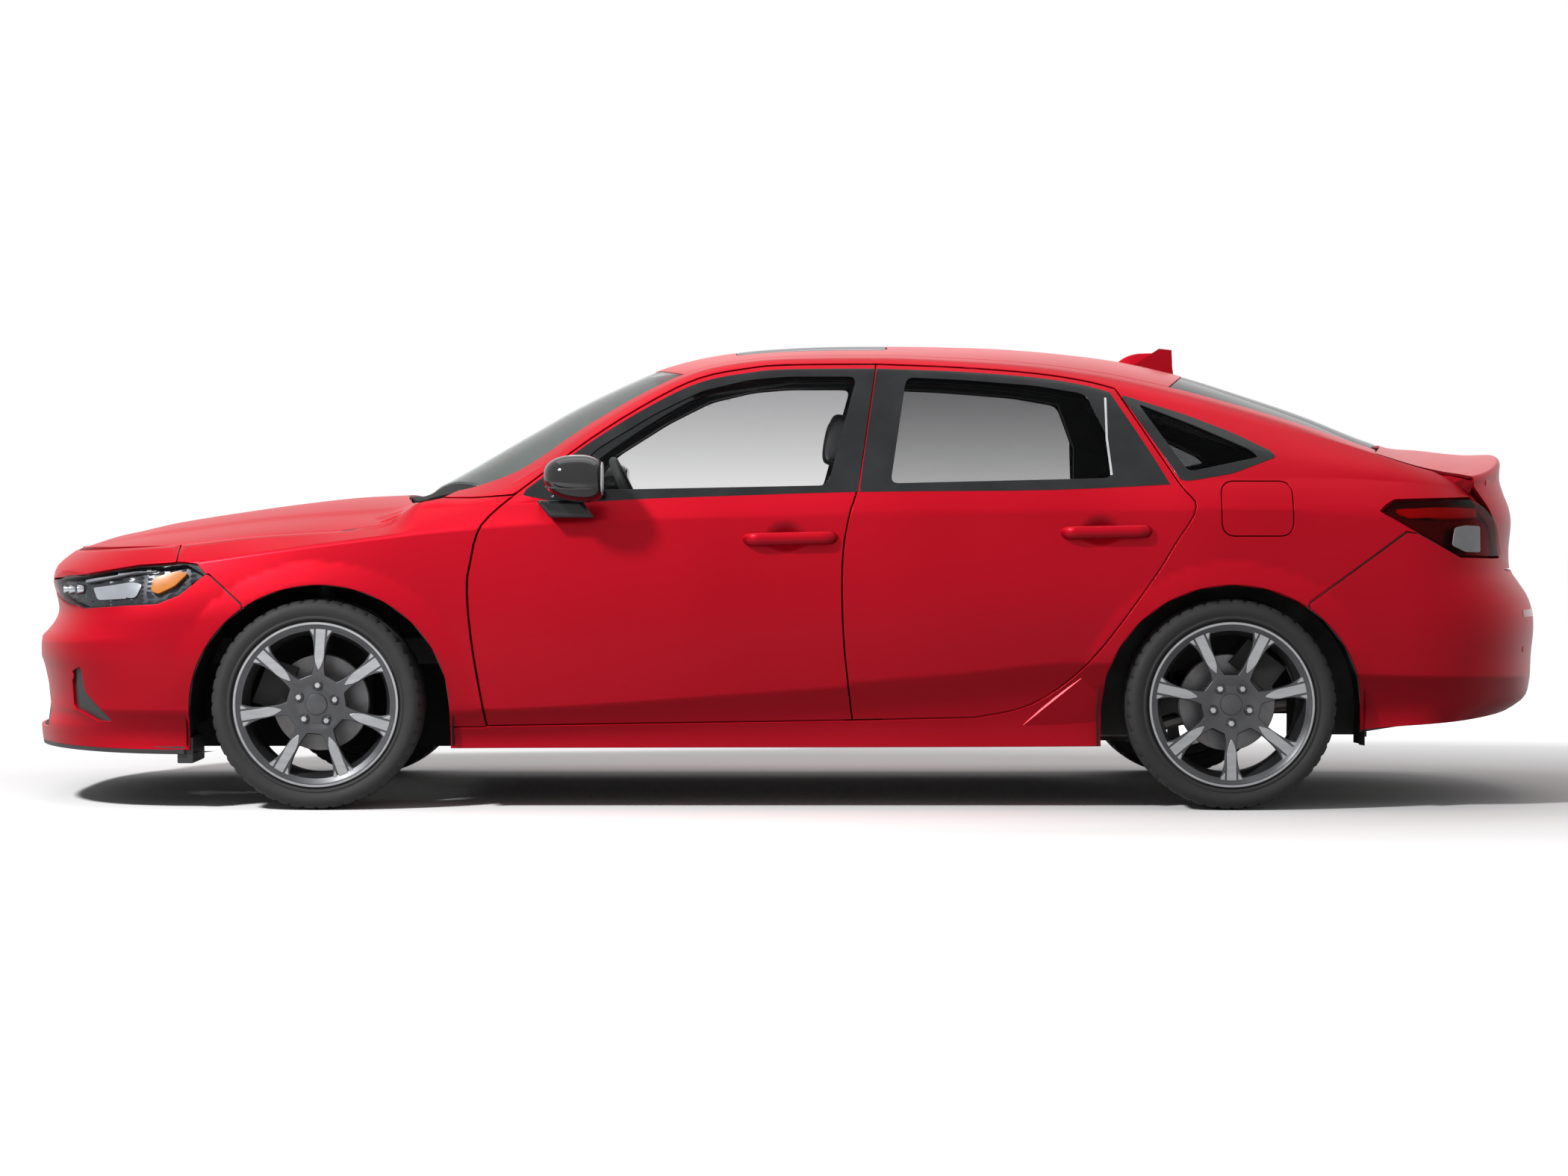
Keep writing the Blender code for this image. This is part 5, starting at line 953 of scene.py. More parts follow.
SPOKE_COUNT = 7
LUG_COUNT = 5
LUG_CIRCLE_RADIUS = 0.05715
FRONT_SPOKE_ANGLE = 86
REAR_SPOKE_ANGLE = 270


def revolve(name, profile, count, look, sharp=30, shape=None):
    """Closed ring from a closed profile of (radius, Y); a shape function may move the points."""
    profile = np.asarray(profile, float)
    m = len(profile)
    angles = 2 * math.pi * np.arange(count) / count
    points = np.zeros((count, m, 3))
    points[:, :, 0] = profile[None, :, 0] * np.cos(angles)[:, None]
    points[:, :, 1] = profile[None, :, 1]
    points[:, :, 2] = profile[None, :, 0] * np.sin(angles)[:, None]
    if shape:
        points = shape(points, angles, profile)
    faces = []
    for i in range(count):
        j = (i + 1) % count
        for k in range(m):
            n = (k + 1) % m
            faces.append((i * m + k, i * m + n, j * m + n, j * m + k))
    made = make_object(name, points.reshape(-1, 3), faces, look=look)
    made.data.set_sharp_from_angle(angle=math.radians(sharp))
    return made


# Profiles of tyre and wheel, as (radius, Y)

TREAD_HALF_WIDTH = 0.090
TREAD_RADIUS = 0.3150
BLOCK_START_RADIUS = 0.3055
GROOVES = (-0.062, -0.022, 0.022, 0.062)
GROOVE_HALF_WIDTH = 0.0046
GROOVE_DEPTH = 0.0065
TYRE_WALL = [(0.2268, 0.0985), (0.2490, 0.1012), (0.2520, 0.1030), (0.2545, 0.1090), (0.2590, 0.1120),
             (0.2640, 0.1105), (0.2665, 0.1110), (0.2760, 0.1155), (0.2860, 0.1172), (0.2950, 0.1155),
             (0.3020, 0.1110), (0.3075, 0.1060), (0.3105, 0.1010), (0.3128, 0.0930)]
TYRE_INSIDE = [(0.2268, -0.0900), (0.2400, -0.0900), (0.2800, -0.1040), (0.2990, -0.0880), (0.2990, 0.0880),
               (0.2800, 0.1040), (0.2400, 0.0900), (0.2268, 0.0900)]
RIM_PROFILE = [(0.2475, -0.1080), (0.2475, -0.1025), (0.2300, -0.0995), (0.2265, -0.0970), (0.2240, -0.0700),
               (0.2150, -0.0400), (0.2180, 0.0600), (0.2265, 0.0990), (0.2475, 0.1025), (0.2475, 0.1075),
               (0.2450, 0.1080), (0.2190, 0.1000), (0.2090, 0.0600), (0.2065, -0.0380), (0.2180, -0.0760),
               (0.2215, -0.0985), (0.2330, -0.1040), (0.2380, -0.1078)]
RIM_LIP_PROFILE = [(0.2474, -0.1046), (0.2462, -0.1080), (0.2405, -0.1080), (0.2340, -0.1048),
                   (0.2330, -0.1022), (0.2400, -0.1030)]
HUB_PROFILE = [(0.0005, -0.0900), (0.0260, -0.0895), (0.0315, -0.0880), (0.0330, -0.0850), (0.0330, -0.0760),
               (0.0005, -0.0760)]
HUB_BACK_PROFILE = [(0.0300, -0.0700), (0.0790, -0.0690), (0.0850, -0.0500), (0.0780, 0.0260),
                    (0.0300, 0.0260)]
LUG_SEAT_PROFILE = [(0.0115, -0.0835), (0.0150, -0.0850), (0.0165, -0.0820), (0.0165, -0.0700),
                    (0.0115, -0.0700)]
LUG_NUT_PROFILE = [(0.0004, -0.0935), (0.0080, -0.0930), (0.0098, -0.0905), (0.0100, -0.0720),
                   (0.0004, -0.0720)]
DISC_PROFILE = [(0.0700, 0.0300), (0.1100, 0.0290), (0.1440, 0.0290), (0.1455, 0.0305), (0.1455, 0.0360),
                (0.1380, 0.0372), (0.1380, 0.0438), (0.1455, 0.0450), (0.1455, 0.0510), (0.1440, 0.0522),
                (0.0700, 0.0522)]
DISC_HAT_PROFILE = [(0.0300, 0.0080), (0.0740, 0.0085), (0.0780, 0.0120), (0.0790, 0.0300), (0.0300, 0.0300)]

# The wheel's outer face by radius, and the outlines of its spokes as (radius, offset)

WHEEL_FACE_RADII = [0, 0.035, 0.055, 0.080, 0.115, 0.190, 0.226, 0.235]
WHEEL_FACE_OUT = [0.083, 0.083, 0.081, 0.088, 0.0925, 0.0965, 0.0985, 0.0990]
POCKET_SIDE = [(0.088, 0.020), (0.112, 0.0165), (0.145, 0.0165), (0.185, 0.021), (0.212, 0.031),
               (0.2235, 0.040)]
SPOKE_BLADE = [(0.105, 0.0018), (0.125, 0.0105), (0.145, 0.0145), (0.190, 0.0138), (0.2385, 0.0150)]
SPOKE_WING = [(0.2040, 0.0200), (0.2180, 0.0200), (0.2340, 0.0205), (0.2330, 0.0345), (0.2240, 0.0335),
              (0.2120, 0.0258)]


def build_tyre(name, look):
    """Low-profile road tyre: bead, rim guard, bulged wall, grooved tread."""
    half = rounded(TYRE_WALL, 3)
    tread = []
    for y in np.linspace(TREAD_HALF_WIDTH, -TREAD_HALF_WIDTH, 55):
        r = TREAD_RADIUS - 0.0022 * (abs(y) / TREAD_HALF_WIDTH) ** 2.5
        grooved = any(abs(y - g) < GROOVE_HALF_WIDTH for g in GROOVES)
        tread.append((r - (GROOVE_DEPTH if grooved else 0.0), y))
    profile = half + tread + [(r, -y) for r, y in half[::-1]] + TYRE_INSIDE

    def blocks(points, angles, profile):
        for i in range(len(angles)):
            for k, (r, y) in enumerate(profile):
                if r <= BLOCK_START_RADIUS:
                    continue
                cutting = abs(y) > 0.068 and i % 5 == 0
                sipe = abs(y) < 0.058 and (i + int((y + 0.1) * 120)) % 10 == 0
                if cutting or sipe:
                    factor = 1 - (0.0045 if cutting else 0.003) / r
                    points[i, k, 0] *= factor
                    points[i, k, 2] *= factor
        return points

    return revolve(name, profile[::-1], 240, look, 35, blocks)


def wheel_face(q):
    r = np.hypot(q[:, 0], q[:, 1])
    y = -np.interp(r, WHEEL_FACE_RADII, WHEEL_FACE_OUT)
    return np.stack([q[:, 0], y, q[:, 1]], -1)


def polar(r, angle):
    return (r * math.cos(angle), r * math.sin(angle))


def wheel_pocket(middle):
    """Opening between two spokes, seen from outside."""
    half = math.pi / SPOKE_COUNT
    left = [polar(math.hypot(r, w), middle - half + math.atan2(w, r)) for r, w in POCKET_SIDE]
    right = [polar(math.hypot(r, w), middle + half - math.atan2(w, r)) for r, w in POCKET_SIDE]
    a0 = math.atan2(left[-1][1], left[-1][0])
    span = (math.atan2(right[-1][1], right[-1][0]) - a0) % (2 * math.pi)
    outer = [polar(0.2265, a0 + span * k / 12) for k in range(1, 12)]
    return dense(corners_rounded(rounded(left, 3) + outer + rounded(right, 3)[::-1], 0.006, 3), 0.006)


def on_spoke(angle, points):
    """Outline given as radius and offset from a spoke's middle line, turned to the spoke's angle."""
    return [(r * math.cos(angle) - w * math.sin(angle), r * math.sin(angle) + w * math.cos(angle))
            for r, w in points]


def build_wheel(name, first, looks):
    """Seven-spoke two-tone wheel with lugs and cap, and apart from it the brake disc with its hat."""
    dark, bright = looks["gunmetal"], looks["machined"]
    pitch = 2 * math.pi / SPOKE_COUNT
    outer = dense([polar(0.2290, 2 * math.pi * k / 180) for k in range(180)], 0.02)
    pockets = [wheel_pocket(first + pitch * (k + 0.5)) for k in range(SPOKE_COUNT)]
    pieces = [revolve(name + "_rim", RIM_PROFILE, 160, dark, 28),
              revolve(name + "_lip", RIM_LIP_PROFILE, 160, bright, 28),
              panel(name + "_spokes", wheel_face, outer, pockets, spacing=0.012, depth=0.030, radius=0.003,
                    look=dark, back=True)]
    for k in range(SPOKE_COUNT):
        angle = first + pitch * k
        loop = on_spoke(angle, SPOKE_BLADE + [(r, -w) for r, w in SPOKE_BLADE[::-1]])
        pieces.append(panel(name + "_blade", wheel_face, dense(corners_rounded(loop, 0.003, 3), 0.006),
                            spacing=0.012, depth=0.004, radius=0.0009, lift=0.0022, look=bright))
        for side in (1, -1):
            loop = on_spoke(angle, [(r, side * w) for r, w in SPOKE_WING])
            pieces.append(panel(name + "_wing", wheel_face, dense(corners_rounded(loop, 0.0015, 2), 0.005),
                                spacing=0.010, depth=0.004, radius=0.0007, lift=0.0020, look=bright))
    pieces.append(revolve(name + "_hub", HUB_PROFILE, 64, dark, 30))
    pieces.append(revolve(name + "_back", HUB_BACK_PROFILE, 64, dark, 30))
    for k in range(LUG_COUNT):
        x, z = polar(LUG_CIRCLE_RADIUS, first + 2 * math.pi * k / LUG_COUNT)
        seat = revolve(name + "_seat", LUG_SEAT_PROFILE, 32, dark, 30)
        nut = revolve(name + "_nut", LUG_NUT_PROFILE, 6, looks["steel"], 20)
        for thing in (seat, nut):
            thing.data.transform(Matrix.Translation((x, 0, z)))
            pieces.append(thing)
    disc = revolve(name + "_disc", DISC_PROFILE, 120, looks["disc"], 25)
    hat = revolve(name + "_hat", DISC_HAT_PROFILE, 64, looks["steel"], 25)
    return join_all(name, pieces), join_all(name + "_brake", [disc, hat])


def join_all(name, pieces):
    """One object from several, keeping each one's materials and normals."""
    with bpy.context.temp_override(active_object=pieces[0], selected_editable_objects=pieces,
                                   selected_objects=pieces):
        bpy.ops.object.join()
    made = pieces[0]
    made.name = name
    made.data.name = name
    return made


def copy_of(thing, name, matrix):
    twin = bpy.data.objects.new(name, thing.data.copy())
    twin.data.name = name
    bpy.context.scene.collection.objects.link(twin)
    twin.data.transform(matrix)
    if matrix.determinant() < 0:
        twin.data.flip_normals()
    return twin


def tube(name, path, radius, look, sides=12, closed=False, scale_y=1.0, up=(0, 0, 1)):
    """Rounded bar along a path; the radius may be a list."""
    path = np.asarray(path, float)
    n = len(path)
    radius = np.broadcast_to(np.asarray(radius, float), (n,))
    points = []
    for i in range(n):
        before = path[i - 1] if (i or closed) else path[i]
        after = path[(i + 1) % n] if (i < n - 1 or closed) else path[i]
        along = Vector(after - before).normalized()
        side = along.cross(Vector(up))
        side = side.normalized() if side.length > 1e-4 else along.orthogonal().normalized()
        high = side.cross(along).normalized()
        for k in range(sides):
            a = 2 * math.pi * k / sides
            points.append(tuple(Vector(path[i]) + side * (radius[i] * math.cos(a))
                                + high * (radius[i] * scale_y * math.sin(a))))
    faces = []
    for i in range(n if closed else n - 1):
        j = (i + 1) % n
        for k in range(sides):
            m = (k + 1) % sides
            faces.append((i * sides + k, i * sides + m, j * sides + m, j * sides + k))
    if not closed:
        faces.append(tuple(range(sides))[::-1])
        faces.append(tuple((n - 1) * sides + k for k in range(sides)))
    made = make_object(name, points, faces, look=look)
    fix_normals(made)
    made.data.set_sharp_from_angle(angle=math.radians(40))
    return made


def fix_normals(thing):
    shape = bmesh.new()
    shape.from_mesh(thing.data)
    bmesh.ops.recalc_face_normals(shape, faces=shape.faces)
    shape.to_mesh(thing.data)
    shape.free()
    return thing


def soft_box(name, low, high, look, round_by=0.01, segments=3, taper=None):
    """Box with rounded edges; taper may move its corners before the rounding."""
    shape = bmesh.new()
    bmesh.ops.create_cube(shape, size=1.0)
    low, high = Vector(low), Vector(high)
    for v in shape.verts:
        v.co = Vector((low[i] + (high[i] - low[i]) * (v.co[i] + 0.5) for i in range(3)))
        if taper:
            v.co = Vector(taper(v.co))
    bmesh.ops.bevel(shape, geom=shape.edges[:] + shape.verts[:], offset=round_by, segments=segments,
                    profile=0.6,
                    affect="EDGES", clamp_overlap=True)
    mesh = bpy.data.meshes.new(name)
    shape.to_mesh(mesh)
    shape.free()
    made = bpy.data.objects.new(name, mesh)
    bpy.context.scene.collection.objects.link(made)
    mesh.shade_smooth()
    mesh.set_sharp_from_angle(angle=math.radians(50))
    mesh.materials.append(look)
    return made


# Materials

def new_look(name):
    look = bpy.data.materials.new(name)
    look.use_nodes = True
    nodes, links = look.node_tree.nodes, look.node_tree.links
    nodes.clear()
    out = nodes.new("ShaderNodeOutputMaterial")
    shader = nodes.new("ShaderNodeBsdfPrincipled")
    links.new(shader.outputs[0], out.inputs["Surface"])
    return look, nodes, links, shader, out


def coords(nodes, links, scale=(1, 1, 1)):
    place = nodes.new("ShaderNodeTexCoord")
    spread = nodes.new("ShaderNodeMapping")
    spread.inputs["Scale"].default_value = scale
    links.new(place.outputs["Object"], spread.inputs["Vector"])
    return spread.outputs["Vector"]


def noise(nodes, links, vector, scale, detail=3.0, rough=0.5):
    made = nodes.new("ShaderNodeTexNoise")
    made.inputs["Scale"].default_value = scale
    made.inputs["Detail"].default_value = detail
    made.inputs["Roughness"].default_value = rough
    links.new(vector, made.inputs["Vector"])
    return made.outputs["Fac"]


def spread_to(nodes, links, value, low, high, from_low=0.3, from_high=0.7):
    made = nodes.new("ShaderNodeMapRange")
    made.inputs["From Min"].default_value = from_low
    made.inputs["From Max"].default_value = from_high
    made.inputs["To Min"].default_value = low
    made.inputs["To Max"].default_value = high
    links.new(value, made.inputs["Value"])
    return made.outputs["Result"]


def mixed(nodes, links, value, first, second):
    made = nodes.new("ShaderNodeMix")
    made.data_type = "RGBA"
    made.inputs["A"].default_value = (*first, 1)
    made.inputs["B"].default_value = (*second, 1)
    links.new(value, made.inputs["Factor"])
    return made.outputs["Result"]


def bumped(nodes, links, shader, height, strength, distance):
    made = nodes.new("ShaderNodeBump")
    made.inputs["Strength"].default_value = strength
    made.inputs["Distance"].default_value = distance
    links.new(height, made.inputs["Height"])
    links.new(made.outputs["Normal"], shader.inputs["Normal"])
    return made


def computed(nodes, links, operation, *values):
    """Result of one operation on values, each a number or another node's output."""
    made = nodes.new("ShaderNodeMath")
    made.operation = operation
    for socket, value in zip(made.inputs, values):
        if isinstance(value, float):
            socket.default_value = value
        else:
            links.new(value, socket)
    return made.outputs[0]


def plain_look(name, first, second, rough, metallic=0.0, grain=300.0, bump=0.15, depth=0.0003, patches=9.0,
               coat=0.0, stretch=(1, 1, 1), specular=0.5):
    """Moulded, painted or metal surface: slow colour change, uneven roughness and a fine grain."""
    look, nodes, links, shader, _ = new_look(name)
    vector = coords(nodes, links, stretch)
    slow = noise(nodes, links, vector, patches, 4.0)
    fine = noise(nodes, links, vector, grain, 3.0, 0.6)
    links.new(mixed(nodes, links, spread_to(nodes, links, slow, 0, 1), first, second),
              shader.inputs["Base Color"])
    links.new(spread_to(nodes, links, slow, rough[0], rough[1]), shader.inputs["Roughness"])
    shader.inputs["Metallic"].default_value = metallic
    shader.inputs["Coat Weight"].default_value = coat
    shader.inputs["Coat Roughness"].default_value = 0.03
    shader.inputs["Specular IOR Level"].default_value = specular
    bumped(nodes, links, shader, fine, bump, depth)
    return look


PAINT_DARK = (0.46, 0.0, 0.010)
PAINT_LIGHT = (0.62, 0.003, 0.018)
# Painted shade: the paint darkens to this red on faces that look down, about halfway on upright faces; the
# next line gives the normal heights of full shade and of none
PAINT_SHADE_RED = (0.23, 0.0, 0.006)
PAINT_SHADE_TURN = (-0.22, 0.24)
PAINT_SHADER = {"Metallic": 0.42, "Specular IOR Level": 0.10, "Coat Weight": 0.07, "Coat Roughness": 0.18,
                "Coat IOR": 1.45}


def paint_look():
    """Red body paint under clear coat: fine flake and slight orange peel, with painted shade that darkens it
    on faces that turn sideways and down.
    """
    look, nodes, links, shader, _ = new_look("red_paint")
    vector = coords(nodes, links)
    flake = noise(nodes, links, vector, 2600.0, 2.0, 0.6)
    slow = noise(nodes, links, vector, 1.6, 2.0)
    peel = noise(nodes, links, vector, 130.0, 2.0)
    tone = computed(nodes, links, "MULTIPLY_ADD", flake, 0.35, slow)
    metal = mixed(nodes, links, spread_to(nodes, links, tone, 0, 1, 0.35, 1.0), PAINT_DARK, PAINT_LIGHT)
    # Painted shade: mix towards the darker red as the surface normal turns from up to down
    facing = nodes.new("ShaderNodeNewGeometry")
    parts = nodes.new("ShaderNodeSeparateXYZ")
    links.new(facing.outputs["Normal"], parts.inputs[0])
    share = spread_to(nodes, links, parts.outputs["Z"], 0, 1, *PAINT_SHADE_TURN)
    paint_shade_mix = nodes.new("ShaderNodeMix")
    paint_shade_mix.data_type = "RGBA"
    paint_shade_mix.inputs[6].default_value = (*PAINT_SHADE_RED, 1)
    links.new(share, paint_shade_mix.inputs[0])
    links.new(metal, paint_shade_mix.inputs[7])
    links.new(paint_shade_mix.outputs[2], shader.inputs["Base Color"])
    links.new(spread_to(nodes, links, flake, 0.34, 0.46), shader.inputs["Roughness"])
    for socket, value in PAINT_SHADER.items():
        shader.inputs[socket].default_value = value
    bumped(nodes, links, shader, peel, 0.03, 0.0002)
    return look


def pane_look(name, tint, gloss=0.03, edge=0.9, upper=None, shade_heights=(0.9, 1.3)):
    """Thin glass or lens: tinted see-through, on some panes with painted shade that darkens the see-through
    colour towards the top, glossier at grazing angles.
    """
    look, nodes, links, shader, out = new_look(name)
    vector = coords(nodes, links)
    dust = noise(nodes, links, vector, 14.0, 4.0)
    shader.inputs["Base Color"].default_value = (0.02, 0.022, 0.024, 1)
    links.new(spread_to(nodes, links, dust, gloss * 0.6, gloss * 1.4), shader.inputs["Roughness"])
    clear = nodes.new("ShaderNodeBsdfTransparent")
    if upper is None:
        links.new(mixed(nodes, links, spread_to(nodes, links, dust, 0, 1), tint,
                        tuple(c * 0.985 for c in tint)),
                  clear.inputs["Color"])
    else:
        # Painted shade of the cabin under the roof: the see-through colour turns from the tint to the upper
        # tint between two heights
        place = nodes.new("ShaderNodeTexCoord")
        parts = nodes.new("ShaderNodeSeparateXYZ")
        links.new(place.outputs["Object"], parts.inputs[0])
        share = spread_to(nodes, links, parts.outputs["Z"], 0, 1, *shade_heights)
        links.new(mixed(nodes, links, share, tint, upper), clear.inputs["Color"])
    grow = nodes.new("ShaderNodeLayerWeight")
    grow.inputs["Blend"].default_value = 0.25
    share = spread_to(nodes, links, grow.outputs["Facing"], 0.045, edge, 0.2, 1.15)
    blend = nodes.new("ShaderNodeMixShader")
    links.new(share, blend.inputs["Fac"])
    links.new(clear.outputs[0], blend.inputs[1])
    links.new(shader.outputs[0], blend.inputs[2])
    links.new(blend.outputs[0], out.inputs["Surface"])
    return look


def cloth_look(name, first, second, scale=900.0, rough=0.85):
    """Woven seat fabric: crossing threads, soft sheen, uneven colour."""
    look, nodes, links, shader, _ = new_look(name)
    vector = coords(nodes, links)
    waves = []
    for direction in ("X", "Z"):
        wave = nodes.new("ShaderNodeTexWave")
        wave.bands_direction = direction
        wave.inputs["Scale"].default_value = scale / 6
        wave.inputs["Distortion"].default_value = 1.2
        wave.inputs["Detail"].default_value = 1.0
        links.new(vector, wave.inputs["Vector"])
        waves.append(wave.outputs["Fac"])
    weave = computed(nodes, links, "MULTIPLY", *waves)
    slow = noise(nodes, links, vector, 25.0, 4.0)
    tone = computed(nodes, links, "MULTIPLY_ADD", weave, 0.5, slow)
    links.new(mixed(nodes, links, spread_to(nodes, links, tone, 0, 1, 0.3, 1.1), first, second),
              shader.inputs["Base Color"])
    links.new(spread_to(nodes, links, slow, rough - 0.08, rough + 0.05), shader.inputs["Roughness"])
    shader.inputs["Sheen Weight"].default_value = 0.3
    bumped(nodes, links, shader, weave, 0.5, 0.0006)
    return look


def disc_look():
    """Brake disc: turned rings on bare iron, a little rust at the rim."""
    look, nodes, links, shader, _ = new_look("brake_disc")
    vector = coords(nodes, links, (1, 0.02, 1))
    fine = noise(nodes, links, vector, 420.0, 3.0)
    slow = noise(nodes, links, vector, 18.0, 4.0)
    rust = spread_to(nodes, links, slow, 0, 1, 0.45, 0.75)
    links.new(mixed(nodes, links, rust, (0.12, 0.12, 0.125), (0.09, 0.08, 0.075)),
              shader.inputs["Base Color"])
    links.new(spread_to(nodes, links, fine, 0.28, 0.45), shader.inputs["Roughness"])
    shader.inputs["Metallic"].default_value = 1.0
    bumped(nodes, links, shader, fine, 0.25, 0.0003)
    return look


def make_looks():
    looks = {
        "paint": paint_look(),
        "trim": plain_look("gloss_black", (0.010, 0.011, 0.012), (0.020, 0.021, 0.023), (0.12, 0.20),
                           grain=240, bump=0.02,
                           coat=0.12, specular=0.22),
        "mirror_black": plain_look("mirror_gloss_black", (0.006, 0.006, 0.007), (0.012, 0.012, 0.013),
                                   (0.06, 0.10),
                                   grain=240, bump=0.01, coat=0.35, specular=0.3),
        "black": plain_look("black_plastic", (0.012, 0.012, 0.013), (0.026, 0.026, 0.028), (0.50, 0.66),
                            grain=900,
                            bump=0.35, depth=0.0004),
        "liner": plain_look("arch_liner", (0.006, 0.006, 0.006), (0.016, 0.016, 0.016), (0.75, 0.92),
                            grain=500, bump=0.5,
                            depth=0.0006, specular=0.2),
        "rubber": plain_look("tyre_rubber", (0.017, 0.017, 0.018), (0.031, 0.031, 0.032), (0.62, 0.78),
                             grain=700,
                             bump=0.25, depth=0.0003, patches=22, specular=0.35),
        "gunmetal": plain_look("dark_alloy", (0.055, 0.056, 0.060), (0.085, 0.086, 0.092), (0.32, 0.44),
                               metallic=0.75,
                               grain=900, bump=0.06),
        "machined": plain_look("machined_alloy", (0.27, 0.275, 0.285), (0.35, 0.355, 0.365), (0.26, 0.36),
                               metallic=0.85,
                               grain=600, bump=0.08, depth=0.0001, stretch=(1, 1, 6)),
        "steel": plain_look("bare_steel", (0.33, 0.33, 0.34), (0.46, 0.46, 0.47), (0.34, 0.50), metallic=0.9,
                            grain=500,
                            bump=0.15),
        "disc": disc_look(),
        "under": plain_look("underbody_coat", (0.012, 0.012, 0.012), (0.035, 0.034, 0.032), (0.60, 0.85),
                            grain=260,
                            bump=0.5, depth=0.0012, patches=6),
        "exhaust": plain_look("exhaust_steel", (0.20, 0.19, 0.18), (0.38, 0.36, 0.34), (0.35, 0.60),
                              metallic=0.9,
                              grain=300, bump=0.2, patches=12),
        "engine": plain_look("engine_metal", (0.10, 0.10, 0.105), (0.20, 0.20, 0.205), (0.40, 0.60),
                             metallic=0.6,
                             grain=200, bump=0.3),
        "windshield": pane_look("windshield_glass", (0.82, 0.86, 0.84)),
        # Both door glasses carry painted shade: their see-through colour darkens towards the top
        "front_glass": pane_look("front_door_glass", (0.965, 0.965, 0.965), upper=(0.80, 0.80, 0.805),
                                 shade_heights=(0.98, 1.30)),
        "rear_glass": pane_look("rear_glass", (0.50, 0.51, 0.52)),
        "privacy_tint_and_shade": pane_look("rear_door_glass", (0.82, 0.82, 0.82), upper=(0.62, 0.62, 0.625),
                             shade_heights=(0.98, 1.28)),
        "quarter": pane_look("quarter_glass", (0.55, 0.555, 0.56)),
        "roof_glass": pane_look("roof_glass", (0.04, 0.045, 0.05)),
        "lens": pane_look("clear_lens", (0.86, 0.88, 0.90), 0.015),
        "red_lens": pane_look("red_lens", (0.80, 0.09, 0.10), 0.02),
        "reflector": plain_look("lamp_reflector", (0.55, 0.56, 0.58), (0.70, 0.71, 0.73), (0.12, 0.22),
                                metallic=0.9,
                                grain=150, bump=0.1),
        "lamp_dark": plain_look("lamp_bezel", (0.020, 0.021, 0.024), (0.045, 0.046, 0.052), (0.22, 0.34),
                                metallic=0.3,
                                grain=400, bump=0.1),
        "amber": plain_look("amber_marker", (0.75, 0.20, 0.010), (0.85, 0.28, 0.015), (0.12, 0.2), grain=140,
                            bump=0.2),
        "red_part": plain_look("red_reflector", (0.42, 0.004, 0.008), (0.55, 0.008, 0.012), (0.12, 0.22),
                               grain=220,
                               bump=0.3, depth=0.0006),
        "pale_part": plain_look("pale_lamp_part", (0.26, 0.26, 0.28), (0.38, 0.38, 0.40), (0.15, 0.25),
                                grain=180, bump=0.2),
        "dash": plain_look("soft_dash", (0.018, 0.018, 0.020), (0.032, 0.032, 0.035), (0.60, 0.75), grain=650,
                           bump=0.4,
                           depth=0.0005),
        "leather": plain_look("wheel_leather", (0.016, 0.016, 0.017), (0.030, 0.030, 0.032), (0.42, 0.55),
                              grain=520,
                              bump=0.45, depth=0.0005),
        "cloth": cloth_look("seat_cloth", (0.045, 0.046, 0.050), (0.095, 0.096, 0.102)),
        "cloth_pale": cloth_look("seat_side_cloth", (0.10, 0.10, 0.105), (0.17, 0.17, 0.175)),
        "carpet": cloth_look("floor_carpet", (0.020, 0.020, 0.022), (0.045, 0.045, 0.048), 500.0, 0.92),
        "silver": plain_look("silver_edge", (0.50, 0.51, 0.52), (0.62, 0.63, 0.64), (0.25, 0.35),
                             metallic=0.8, grain=300,
                             bump=0.05),
    }
    return looks


# Under-structure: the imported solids, sunk a little below the fine skins

SINK_REACH = 0.09
SINK_OVER = 0.06
BELT_HEIGHT = 0.93


def surface_cloud():
    """Sample points of the outer body with normals, for both sides and the top."""
    us = np.linspace(0, 3, 331)
    vs = np.linspace(0, 6, 121)
    uu, vv = np.meshgrid(us, vs, indexing="ij")
    st = uv_to_st(np.stack([uu.ravel(), vv.ravel()], -1))
    p = body_surface(st)
    n = normals_of(body_surface, st)
    points = [p, p * np.array([1, -1, 1])]
    normals = [n, n * np.array([1, -1, 1])]
    xs = np.linspace(-2.25, 2.24, 200)
    shares = np.linspace(-1, 1, 81)
    xx, ss = np.meshgrid(xs, shares, indexing="ij")
    xy = np.stack([xx.ravel(), (ss * LEVEL_W[5](xx)).ravel()], -1)
    points.append(top_of_xy(xy))
    normals.append(normals_of(top_of_xy, xy))
    return np.concatenate(points), np.concatenate(normals)


def sunk_copy(node, name, depth, look, cloud, tree, inner=None, limit=0.5):
    """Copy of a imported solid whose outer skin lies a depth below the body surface."""
    mesh = NODES[node].data.copy()
    mesh.name = name
    made = bpy.data.objects.new(name, mesh)
    bpy.context.scene.collection.objects.link(made)
    mesh.materials.clear()
    mesh.materials.append(look)
    points, normals = cloud
    for v in mesh.vertices:
        _, index, gap = tree.find(v.co)
        if gap > SINK_REACH:
            continue
        n = Vector(normals[index])
        below = (Vector(points[index]) - v.co).dot(n)
        if -SINK_OVER < below < depth:
            v.co -= n * (depth - below)
    mesh.shade_smooth()
    mesh.set_sharp_from_angle(angle=math.radians(30))
    if inner is not None:
        mesh.materials.append(inner)
        for face in mesh.polygons:
            outward = face.normal.y * (1 if face.center.y > 0 else -1)
            _, index, gap = tree.find(face.center)
            skin = gap < 0.035 and face.normal.dot(Vector(normals[index])) > 0.3
            if outward < (limit if face.center.z < BELT_HEIGHT else 0.5) and not skin:
                face.material_index = 1
    return made


